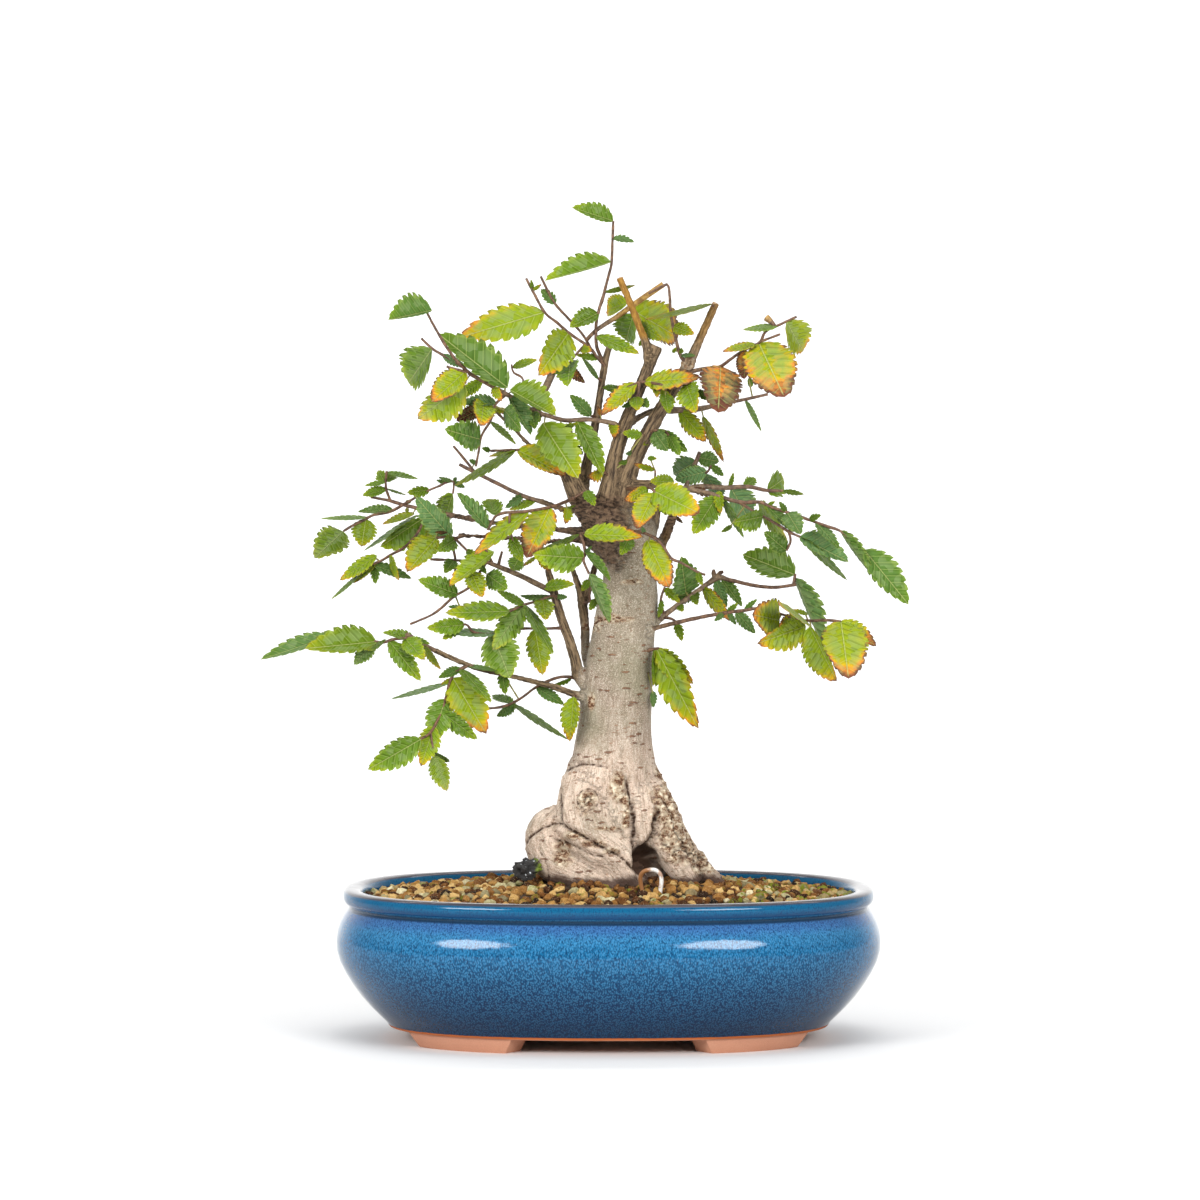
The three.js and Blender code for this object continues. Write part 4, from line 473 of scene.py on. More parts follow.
def along(route, share):
    """The place at a share of a route's length."""
    lengths = [(Vector(b) - Vector(a)).length for a, b in zip(route, route[1:])]
    left = share * sum(lengths)
    for (a, b), length in zip(zip(route, route[1:]), lengths):
        if left <= length:
            return Vector(a).lerp(Vector(b), left / length)
        left -= length
    return Vector(route[-1])


given, end = new_tree("wire", [
    ("Radius", "Float"), ("Sides", "Int"), ("Step", "Float"), ("Material", "Material"),
])
tubes = tube_along(given["Geometry"], given["Sides"], given["Radius"], given["Step"])
wire_tree = end(finished(tubes, given["Material"]))

place, finish = new_material("dark_wire", Metallic=0.8, Roughness=0.42)
scuffs = place.stretched(1, 1, 0.4).speckle(700, 3)
grey = scuffs.share(0.4, 0.75).mixed((0.05, 0.035, 0.028), (0.16, 0.13, 0.11))
dark_wire = finish(grey, relief=scuffs, depth=0.0002)
# each strand winds round the route, tighter towards the cut end
points = []
edges = []
for strand in (0, math.pi):
    first = len(points)
    for i in range(STRAND_STEPS + 1):
        share = i / STRAND_STEPS
        turn = strand + TURNS * 2 * math.pi * max(share - TWIST_FROM, 0) ** TWIST_TIGHTENS
        offset = Vector((0.4 * math.cos(turn), 0.9 * math.cos(turn), math.sin(turn))) * TWIST_RADIUS
        points.append(metres(along(TIE_ROUTE, share) + offset))
    edges += [(i, i + 1) for i in range(first, len(points) - 1)]
tie = mesh_object("tie_wire_strands", points, edges=edges)
grow(
    tie, wire_tree,
    Radius=STRAND_RADIUS * MM, Sides=STRAND_SIDES, Step=STRAND_STEP * MM, Material=dark_wire,
)
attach(tie, "root")
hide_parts("tie_wire")

# The soil
# Fired clay granules of about five millimetres, with some pumice, grit and bits of moss among them,
# filled in round the root ball and worked up in a low mound towards the trunk.

SOIL_EDGE = 73.6
SOIL_MOUND = 14
SOIL_RIPPLE = 1.6
SOIL_UNDER_GRAINS = 1.6
SOIL_EDGE_WIDTH = 124.6
SOIL_RINGS = 26
SOIL_SIDES = 96
TRUNK_HALF = (30, 27)
# No granules lie within this share of the trunk's oval, or this far below the soil's edge.
BARE_UNDER_TRUNK = 0.72
BARE_EDGE = 3.6
RIGHT_ROOT = [(30, -6), (63, -7)]
GRAIN_SPACING = 4.45
GRAIN_RADIUS = 2.9
GRAIN_DENTS = 0.4
GRAIN_SEED = 4
MOST_GRAINS = 400000.0

# Half width and height of the soil's side, from the pot's floor up.
SOIL_WALL = [(104, 19), (112, 24), (121, 33), (125, 41), (126.4, 50), (125, 58), (121.8, 66)]


def line_distance(x, z, line):
    """How far a place lies from a line of points, all in one plane."""
    nearest = 1e9
    for (ax, az), (bx, bz) in zip(line, line[1:]):
        dx, dz = bx - ax, bz - az
        t = min(max(((x - ax) * dx + (z - az) * dz) / (dx * dx + dz * dz), 0), 1)
        nearest = min(nearest, math.hypot(x - ax - t * dx, z - az - t * dz))
    return nearest


def rise(value, low, high):
    """0 below low, 1 above high, and a smooth rise between them."""
    t = min(max((value - low) / (high - low), 0), 1)
    return t * t * (3 - 2 * t)


def soil_top(share, x, y):
    """The soil's height at a share of the way from its middle to its edge."""
    mound = SOIL_MOUND * (1 - share) ** 1.2
    ripple = noise.noise(Vector((x, y, 0)) * 0.055) * SOIL_RIPPLE * (1 - share ** 6)
    return SOIL_EDGE + mound + ripple - SOIL_UNDER_GRAINS


def carry(thing, name, values, kind="FLOAT"):
    """Give each point of a piece a number, or a vector, under a name."""
    store = thing.data.attributes.new(name, kind, "POINT").data
    store.foreach_set("value" if kind == "FLOAT" else "vector", values)


rings = [oval_ring(width, z, SOIL_SIDES) for width, z in SOIL_WALL]
for ring in range(SOIL_RINGS, 0, -1):
    share = ring / SOIL_RINGS
    level = []
    for angle in around(SOIL_SIDES):
        x, y = oval(angle, SOIL_EDGE_WIDTH * share)
        level.append(metres((x, y, soil_top(share, x, y))))
    rings.append(level)
bed = lofted("soil_bed", rings)
# Granules lie where the bed is open to the air, and are darker near the foot and the right root.
is_open = []
near_trunk = []
for vertex in bed.data.vertices:
    x, y, z = vertex.co / MM - POT_PLACE
    inside_trunk = math.hypot((x + 2) / TRUNK_HALF[0], (y + 2) / TRUNK_HALF[1])
    is_open.append(0.0 if inside_trunk < BARE_UNDER_TRUNK or z < SOIL_EDGE - BARE_EDGE else 1.0)
    by_foot = 1 - rise(math.hypot((x + 4) / 36, (y + 8) / 33), 1.02, 1.2)
    by_root = 1 - rise(line_distance(x, y, RIGHT_ROOT), 9, 15)
    near_trunk.append(max(by_foot, by_root))
carry(bed, "open", is_open)
carry(bed, "near", near_trunk)
smooth(bed)

# the soil under the granules is painted near black, as painted shade in the gaps between them
place, finish = new_material("soil_dust", Roughness=1.0)
crumbs = place.speckle(520, 4, 0.7)
gap_shade = crumbs.share(0.3, 0.7).mixed((0.02, 0.011, 0.006), (0.11, 0.06, 0.03))
bed.data.materials.append(finish(gap_shade, relief=crumbs, depth=0.002))

place, finish = new_material("granules", Roughness=0.92, IOR=1.25)
kind = place.own("kind")
clay = kind.ramp(
    (0.0, (0.012, 0.009, 0.007)), (0.1, (0.085, 0.030, 0.010)), (0.25, (0.185, 0.073, 0.017)),
    (0.44, (0.30, 0.140, 0.036)), (0.62, (0.45, 0.245, 0.070)), (0.78, (0.71, 0.48, 0.19)),
    (0.87, (0.20, 0.17, 0.09)), (0.93, (0.50, 0.45, 0.24)), (1.0, (0.86, 0.78, 0.50)),
)
grain_dust = place.speckle(900, 4, 0.65)
dirty_clay = clay.vector("MULTIPLY", {0: clay, 1: (0.40, 0.33, 0.26)})
clay = (grain_dust.share(0.4, 0.7) * 0.55).mixed(clay, dirty_clay)
pale_dust = place.speckle(1500, 2).share(0.56, 0.72) * 0.4
clay = pale_dust.mixed(clay, (0.62, 0.47, 0.26))
mossy = place.own("moss") * place.speckle(420, 3).share(0.42, 0.62)
clay = mossy.mixed(clay, (0.17, 0.19, 0.018))
# the lower part of each granule is painted darker: painted shade under it
damp_and_shade = (place.own("sunk") + grain_dust * 0.3).share(-0.34, 0.36)
clay = (damp_and_shade * 0.95).mixed(clay, (0.022, 0.009, 0.003))
granule_look = finish(clay, relief=grain_dust, depth=0.0012)

given, end = new_tree("granules", [
    ("Spacing", "Float"), ("Grain Radius", "Float"), ("Seed", "Int"), ("Material", "Material"),
])
top = given["Geometry"]
values = {
    "Mesh": top, "Distance Min": given["Spacing"], "Density Max": MOST_GRAINS,
    "Density Factor": read(top, "open"), "Seed": given["Seed"],
}
seeds = top.node("GeometryNodeDistributePointsOnFaces", {"distribute_method": "POISSON"}, values)


def drawn(wire, low, high, seed):
    """A number for each point, or three of them, drawn at random from a fixed seed."""
    if isinstance(low, tuple):
        settings = {"data_type": "FLOAT_VECTOR"}
        return wire.node("FunctionNodeRandomValue", settings, {0: low, 1: high, "Seed": seed})
    return wire.node("FunctionNodeRandomValue", None, {2: low, 3: high, "Seed": seed}, 1)


seeds = kept(seeds, "kind", drawn(seeds, 0.0, 1.0, seed=3) * (1 - read(seeds, "near") * 0.5))
place_x, _, place_z = seeds.node("GeometryNodeInputPosition").parts()
seeds = kept(seeds, "level", place_z)
more_right = place_x.share(0.07, 0.11)
seeds = kept(seeds, "moss", (drawn(seeds, -3.2, 1.0, seed=5) + more_right).most(0.0))
ball = top.node("GeometryNodeMeshIcoSphere", None, {"Radius": given["Grain Radius"], "Subdivisions": 2})
turns = drawn(top, (0, 0, 0), (6.28, 6.28, 6.28), seed=7)
turns = top.node("FunctionNodeEulerToRotation", None, {0: turns})
sizes = drawn(top, (0.72, 0.66, 0.55), (1.22, 1.08, 0.95), seed=9) * drawn(top, 0.6, 1.3, seed=11)
values = {"Points": seeds, "Instance": ball, "Rotation": turns, "Scale": sizes}
grains = seeds.node("GeometryNodeInstanceOnPoints", None, values)
grains = grains.node("GeometryNodeRealizeInstances", None, {0: grains})
# every granule is dented and chipped in its own way
spot = grains.node("GeometryNodeInputPosition")
outward = spot.node("GeometryNodeInputNormal")
shift = outward * (spot.cells(420) * 2.2 - 1.1) * given["Grain Radius"] * GRAIN_DENTS
grains = grains.node("GeometryNodeSetPosition", None, {"Geometry": grains, "Offset": shift})
# how far each point lies below its granule's middle, for the painted shade on its underside
grains = kept(grains, "sunk", (read(grains, "level") - spot.parts()[2]) / given["Grain Radius"])
granule_tree = end(finished(sharp_over(grains, angle=0.5), given["Material"]))

granules = bpy.data.objects.new("soil_granules", bed.data.copy())
bpy.context.scene.collection.objects.link(granules)
granules.data.materials.clear()
grow(
    granules, granule_tree,
    Spacing=GRAIN_SPACING * MM, Grain_Radius=GRAIN_RADIUS * MM, Seed=GRAIN_SEED, Material=granule_look,
)
for piece in (bed, granules):
    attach(piece, "root")
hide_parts("soil")

# The lump of feed
# A ball of slow organic feed lies at the left foot of the trunk. It is pressed by hand, has gone
# black with damp, and pale specks and a little moss sit on it.

FEED_HALF = (7.2, 5.6, 5.2)
FEED_PLACE = (-41.5, -26, 89.6)
FEED_ROUNDNESS = 5

shape = bmesh.new()
bmesh.ops.create_icosphere(shape, subdivisions=FEED_ROUNDNESS, radius=1)
for vertex in shape.verts:
    p = vertex.co
    # lumps, smaller lumps and crumbs
    rough = 0.5 * noise.noise(p * 1.9) + 0.24 * noise.noise(p * 4.1 + Vector((3, 0, 0)))
    rough += 0.06 * noise.noise(p * 12)
    reach = [half * (0.9 + rough) for half in FEED_HALF]
    vertex.co = metres(Vector(FEED_PLACE) + Vector((p.x * reach[0], p.y * reach[1], p.z * reach[2])))
feed = mesh_object("feed_ball", [])
shape.to_mesh(feed.data)
shape.free()
smooth(feed)
place, finish = new_material("old_feed", Roughness=0.8)
damp_and_shade = place.speckle(420, 4, 0.7)
black = damp_and_shade.mixed((0.006, 0.006, 0.007), (0.045, 0.042, 0.04))
specks = (1 - place.cells(420).share(0.16, 0.26)) * place.speckle(160).share(0.5, 0.58)
black = specks.mixed(black, (0.62, 0.66, 0.68))
green = place.parts()[0] * IN_MM + place.speckle(300) * 6
black = (green.share(-22.5, -20) * 0.85).mixed(black, (0.17, 0.24, 0.014))
feed.data.materials.append(finish(black, relief=damp_and_shade, depth=0.0015))
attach(feed, "root")
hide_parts("feed_lump")

# The wire loop
# The bent end of an old white-coated wire stands out of the soil, right of the trunk.
# It was pushed in by hand, and rust has come through its coat.

LOOP_ROUTE = [
    (17.6, -43.5, 78), (16.4, -45, 84), (16.4, -46.6, 87.6), (18, -48.2, 89.9), (20.8, -49.6, 90.9),
    (23.8, -50.4, 90.8), (26.2, -50.8, 89), (27, -51.2, 85.4), (26.4, -51.5, 80.4), (25.8, -51.5, 73),
]
LOOP_RADIUS = 1.1
LOOP_SIDES = 12
LOOP_STEP = 0.8

loop = mesh_object(
    "white_wire_loop", [metres(p) for p in LOOP_ROUTE],
    edges=[(i, i + 1) for i in range(len(LOOP_ROUTE) - 1)],
)
place, finish = new_material("rusty_white", Roughness=0.55)
rust = place.speckle(230, 4, 0.65)
chalk = place.speckle(900, 2).mixed((0.52, 0.50, 0.46), (0.80, 0.79, 0.76))
inner = place.parts()[0] * IN_MM - POT_PLACE.x + rust * 9
rusted = (rust.share(0.5, 0.6) * 0.8).most(1 - inner.share(24.5, 27)).mixed(chalk, (0.30, 0.13, 0.045))
grow(
    loop, wire_tree, Radius=LOOP_RADIUS * MM, Sides=LOOP_SIDES, Step=LOOP_STEP * MM,
    Material=finish(rusted, relief=rust, depth=0.0004),
)
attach(loop, "root")
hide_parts("wire_loop")

# The wood of the tree
# Roots, trunk, limbs and branches grew as one. The bark is smooth and grey-beige with brown pores,
# corky on the right root, and fissured where old cuts have healed. The limbs end in pruned tips.

# Where the picture was taken from.
VIEW_X = -4.4
VIEW_Z = 427
VIEW_DISTANCE = 4000
SPREAD_FROM = 12
SPREAD = 1.6
TRUNK_SIDES = 72
ROOT_SIDES = 28
LIMB_SIDES = 20
FLOW_STEPS = 4
WOOD_VOXEL = 0.9
TRUNK_TOP_HALF = 6.0
CREASES_BELOW = 145
# How far a crease and a knot are felt, in their own widths and reaches.
CREASE_REACH = 4
KNOT_REACH = 3

# The trunk: height, middle x, half width and half depth.
TRUNK = [
    (58, -2, 24, 22), (76, -1, 28, 26), (92, 0, 29, 27), (108, 0, 28, 26), (122, 1, 25.5, 24),
    (133, 1.2, 23, 22.3), (143, 1.5, 21.6, 21.3), (154, 1.9, 19.8, 19.7), (164, 2.8, 18.8, 18.8),
    (184, 4.2, 18.3, 18), (205, 7, 16.5, 16.5), (225, 10, 15.6, 15.5), (240, 11, 13.6, 14.5),
    (250, 8, 14.6, 15.5), (258, 6.5, 18, 17), (266, 5.5, 18.5, 17), (274, 4, 14, 13),
]

# The root flare: swellings as rows x, y, z, radius.
ROOTS = [
    [(-8, -4, 142, 12), (-11.5, -12, 120, 15.5), (-7, -20, 102, 15.5), (6, -23, 90, 11.5), (14, -24, 74, 8)],
    [(-22, -2, 114, 7.5), (-31, -7, 109, 9.6), (-32.6, -11, 100, 10.6), (-28, -17, 90, 10), (-14, -24, 84, 9),
     (4, -29, 75, 6)],
    [(16, -10, 128, 7), (17.3, -17, 113, 8), (18.2, -17.5, 104.5, 6.6), (18.5, -15, 99.5, 4.5)],
    [(20, -4, 127, 9), (27, -11, 112, 9.6), (32, -14, 98, 9.4), (37.5, -15, 88, 7.8), (44, -14, 79, 6)],
    [(12.5, 2, 140, 11.5), (22.3, 0, 122, 10.8), (30, -3, 108, 9.4), (39, -4.5, 94.5, 7.8),
     (48.5, -6, 85.4, 6), (55.5, -6, 80, 4.4), (62, -5, 74, 2.5)],
    [(-2, 10, 136, 14), (-8, 22, 112, 14), (-16, 34, 92, 10), (-24, 44, 74, 6)],
    [(12, 8, 130, 12), (24, 22, 104, 12), (36, 34, 86, 8), (46, 42, 72, 5)],
]

# Limbs and stouter branches, from the trunk outwards: x, y, z, radius.
LIMBS = [
    [(4, 0, 254, 12), (-6, -2, 268, 8.5), (-15, -4, 280, 6.2), (-20, -6, 290, 4.6), (-25, -8, 297, 3),
     (-31, -9, 301, 1.5), (-40, -10, 306, 1.2), (-49, -11, 315, 1), (-62.5, -12, 328, 1)],
    [(-15, -3, 280, 5), (-12.5, -1, 291, 3.3), (-10, 1, 301, 2.8), (-8, 2, 311, 2.4), (-6, 3, 322, 2.2),
     (-4, 4, 335, 2), (-2, 5, 348, 2), (0.5, 5, 358, 1.7)],
    [(2, -4, 260, 11), (-1, -5, 274, 6.4), (1, -6, 288, 4.8), (3.5, -5, 301, 4), (7.5, -3, 314, 3.8),
     (12, -1, 326, 3.3), (17, 1, 338, 3.1), (21, 2, 348, 3.2), (25, 3, 357.5, 3.4)],
    [(21, 2, 348, 2.8), (19.5, 2, 358, 2.4), (16.5, 1, 366, 2), (11, 0, 380, 1.9), (5.5, -1, 393, 1.9)],
    [(8, -1, 260, 10), (7, -3, 274, 6.4), (9.5, -5, 288, 4.8), (14, -7, 300, 4.2), (20, -8, 312, 4),
     (26, -8, 323, 3.8), (32, -8, 333, 3.2), (38, -8, 343, 3), (42, -8, 350, 2.8), (47, -7, 361, 2.3),
     (55.5, -6, 380, 2)],
    [(17, 4, 246, 9), (26, 9, 254, 3.6), (31, 13, 264, 2.5), (35.5, 16.3, 275, 2.3)],
    [(14, 5, 256, 11), (21, 8, 267, 5.5), (25, 11, 277, 3.4), (35, 15, 283.2, 2.2)],
    [(9, -5, 286, 3.2), (23, -14.2, 286.4, 2.1)],
    [(10, -2, 317, 2.4), (16, 4, 321, 1.7), (23, 9, 324, 1.8), (33.5, 13, 324.5, 2.1)],
    [(14, 0, 210, 7), (25, -1, 215.5, 2.2), (29, -0.8, 218.7, 2.1)],
    [(12, -4, 206, 7), (23.5, -9.4, 211.7, 1.8)],
    [(-2, 4, 266, 6), (-13, 9, 271.5, 1.9), (-24, 12, 273.5, 1.6), (-35, 15.3, 277.6, 1.6)],
    [(-4, 6, 260, 5), (-22, 12, 262.5, 1.7), (-40, 15, 264, 1.5), (-55, 17, 265.6, 1.4),
     (-63, 18, 267, 1.4), (-82, 20.2, 270.5, 1.5)],
    [(-1, 1, 252, 5), (-14, 0, 257.5, 1.8), (-28, -1, 256.5, 1.4), (-50, -2, 258.5, 1.3),
     (-66, -3, 259.3, 1.2), (-78, -4, 259.8, 1.3)],
    [(-6, -4, 180, 6), (-15, -6, 187, 3.6), (-17, -8, 195, 3), (-20, -10, 205, 2.7), (-24, -12, 216, 2.5),
     (-27, -13, 226, 2.4), (-29, -14, 233, 2.2), (-31.5, -15, 243, 1.8)],
    [(-5, 3, 188, 6), (-11.5, 6, 197, 2.7), (-12, 8, 210, 2.4), (-13, 9, 221, 2.6), (-15, 10, 232, 2),
     (-19, 11, 243, 1.4)],
    [(-13, 9, 224, 2.3), (-9, 11, 236, 1.9), (-6.5, 12, 246, 1.6)],
    [(-4, -5, 174, 6), (-17, -9, 177.5, 2.2), (-30, -13, 182, 1.7), (-50, -19, 187, 1.4),
     (-66, -24, 190.6, 1.4), (-73, -26, 193, 1.4), (-90, -30.5, 200.5, 1.5)],
]

# Creases seen from the front: depth and width in millimetres, and the line [x, z].
CREASES = [
    (1.5, 1.2, [(-23, 137.5), (-22, 138.6), (-15, 141.6), (-7.9, 141.2), (-0.7, 139.8)]),
    (2.6, 1.5, [(-26.6, 133), (-25.6, 124), (-25.2, 116), (-24.4, 110.2), (-20, 107.4), (-15, 105),
                (-9, 101.4), (-4.3, 99), (0.5, 96.4), (4.8, 94.6), (9, 91.5), (13, 87)]),
    (1.7, 1.3, [(-43.5, 100), (-41.5, 103.6), (-38, 106.6), (-32.7, 109.2), (-28.5, 110.6), (-24.6, 110.4)]),
    (2.4, 1.5, [(9.4, 133), (11.4, 125), (12.2, 117), (12.6, 109.7), (13.4, 97.3), (14.8, 87), (15.5, 82)]),
    (2.8, 1.5, [(25.5, 118), (24.4, 111.5), (23.2, 106), (21.2, 101), (18, 98.2), (15.5, 97.6)]),
    (0.8, 1.1, [(-36, 97), (-33, 92), (-31.5, 87), (-31, 82)]),
    (0.8, 1.1, [(-30, 104), (-24, 101.5), (-17, 98.5), (-9, 94.5), (-3, 93.5)]),
    (1, 1.2, [(29, 122), (33, 115), (34, 108), (38, 102), (41, 95)]),
    (1, 1.2, [(27, 100), (33, 97.5), (40, 96), (47, 93)]),
]
# Hollows seen from the front: place, reach and depth.
HOLLOWS = [(18.4, 93.5, 4.6, 11), (20, 88, 4.8, 10)]
# Knots: place, reach and height of the rim round them.
KNOTS = [
    (-10.6, 123, 3.6, 1.3), (-13.6, 117.8, 2.2, 0.6), (24, 106, 2, 0.6), (38.5, 98, 3.2, 1.4),
    (47.5, 92.5, 2.8, 1.1), (41, 349, 2.6, 1.1), (56.5, 238, 2.2, 0.8),
]
# Corky bark: place and reach along x and z.
CORKY = [
    (4.5, 129.5, 4.2, 7.5), (30, 118, 8, 16), (36, 104, 11, 13), (49, 91, 10, 8), (-23.5, 95, 5.5, 7),
    (9, 123, 2.5, 6), (9.2, 114, 2, 6), (2, 216.5, 10, 2.2), (-9, 213, 5, 3.4), (12, 236, 6, 1.6),
    (-9, 174, 2, 5), (-17, 104.5, 6, 2.2), (-7, 100.2, 6, 2.2), (2, 96, 5, 2), (-1, 108, 6, 1.2),
    (27, 137, 2.5, 5), (-10.5, 122.4, 5, 4.4),
]
# Pruned tips that show pale wood.
CUT_ENDS = [(55.5, -6, 381), (5.5, -1, 394), (0.5, 5, 358)]


def seen(x, y, z):
    """A place that was measured in the plane through the pot's middle, set at its own depth y."""
    nearness = 1 + y / VIEW_DISTANCE
    return Vector((VIEW_X + (x - VIEW_X) * nearness, y, VIEW_Z + (z - VIEW_Z) * nearness))


def measured(place):
    """The picture-plane place x, z of a point: what seen was given."""
    nearness = 1 + place.y / VIEW_DISTANCE
    return VIEW_X + (place.x - VIEW_X) / nearness, VIEW_Z + (place.z - VIEW_Z) / nearness


def spread(y):
    """How deep a limb or a twig lies: those far in front or behind reach further still."""
    return y + math.copysign(max(abs(y) - SPREAD_FROM, 0), y) * (SPREAD - 1)


def flowing(rows):
    """Rows of numbers with smooth steps put between them."""
    made = []
    for i in range(len(rows) - 1):
        before, start, stop, after = [rows[min(max(i + step, 0), len(rows) - 1)] for step in (-1, 0, 1, 2)]
        for part in range(FLOW_STEPS):
            t = part / FLOW_STEPS
            made.append([
                b + 0.5 * t * (c - a + t * (2 * a - 5 * b + 4 * c - d + t * (3 * (b - c) + d - a)))
                for a, b, c, d in zip(before, start, stop, after)
            ])
    return made + [list(rows[-1])]


def tapered(path, sides):
    """A round limb through rows x, y, z, radius: its rings of points."""
    rows = flowing([(*seen(x, y, z), radius) for x, y, z, radius in path])
    across = Vector((0.31, 1, 0.23))
    rings = []
    for i, row in enumerate(rows):
        place = Vector(row[:3])
        heading = Vector(rows[min(i + 1, len(rows) - 1)][:3]) - Vector(rows[max(i - 1, 0)][:3])
        heading.normalize()
        across = (across - heading * across.dot(heading)).normalized()
        other = heading.cross(across)
        rings.append([
            metres(place + across * row[3] * math.cos(a) + other * row[3] * math.sin(a))
            for a in around(sides)
        ])
    return rings


rings = []
for row, (z, x, half_width, half_depth) in enumerate(flowing(TRUNK)):
    ring = []
    for angle in around(TRUNK_SIDES):
        flute = 1 + 0.035 * math.sin(3 * angle + row * 0.0875) + 0.02 * math.sin(5 * angle + 1)
        across = half_width * flute * math.cos(angle)
        ring.append(metres(seen(x + across, half_depth * flute * math.sin(angle), z)))
    rings.append(ring)
solids = [rings]
solids += [tapered(path, ROOT_SIDES) for path in ROOTS]
for path in LIMBS:
    solids.append(tapered([(x, spread(y), z, radius) for x, y, z, radius in path], LIMB_SIDES))
parts = [lofted("wood_part", rings) for rings in solids]
wood = parts[0]
whole = bmesh.new()
for part in parts:
    whole.from_mesh(part.data)
whole.to_mesh(wood.data)
whole.free()
for part in parts[1:]:
    bpy.data.objects.remove(part)
wood.name = "tree_wood"
remesh = wood.modifiers.new("one_skin", "REMESH")
remesh.mode = "VOXEL"
remesh.voxel_size = WOOD_VOXEL * MM
even = wood.modifiers.new("even", "SMOOTH")
even.factor = 0.5
even.iterations = 3
baked(wood)

# The grain runs along each root, limb and trunk: for every place on their rings, the ring's own
# middle, its three directions and how far along it lies.
rows = []
for rings in solids:
    middles = [sum(ring, Vector()) / len(ring) for ring in rings]
    run = 0.0
    for i, ring in enumerate(rings):
        run += (middles[i] - middles[max(i - 1, 0)]).length
        heading = (middles[min(i + 1, len(rings) - 1)] - middles[max(i - 1, 0)]).normalized()
        across = (ring[0] - middles[i]).normalized()
        rows += [(place, middles[i], across, heading.cross(across), heading, run) for place in ring]
nearest_row = kdtree.KDTree(len(rows))
for i, row in enumerate(rows):
    nearest_row.insert(row[0], i)
nearest_row.balance()


def grain_place(place):
    """A place as its growth sees it: two ways across the limb and one along it."""
    _, middle, across, other, heading, run = rows[nearest_row.find(place)[1]]
    off = place - middle
    return off.dot(across), off.dot(other), off.dot(heading) + run


def trunk_at(z):
    """The trunk's middle x and half width at a height."""
    for (z0, x0, w0, _), (z1, x1, w1, _) in zip(TRUNK, TRUNK[1:]):
        if z <= z1:
            t = max(z - z0, 0) / (z1 - z0)
            return x0 + (x1 - x0) * t, w0 + (w1 - w0) * t
    return TRUNK[-1][1], TRUNK_TOP_HALF


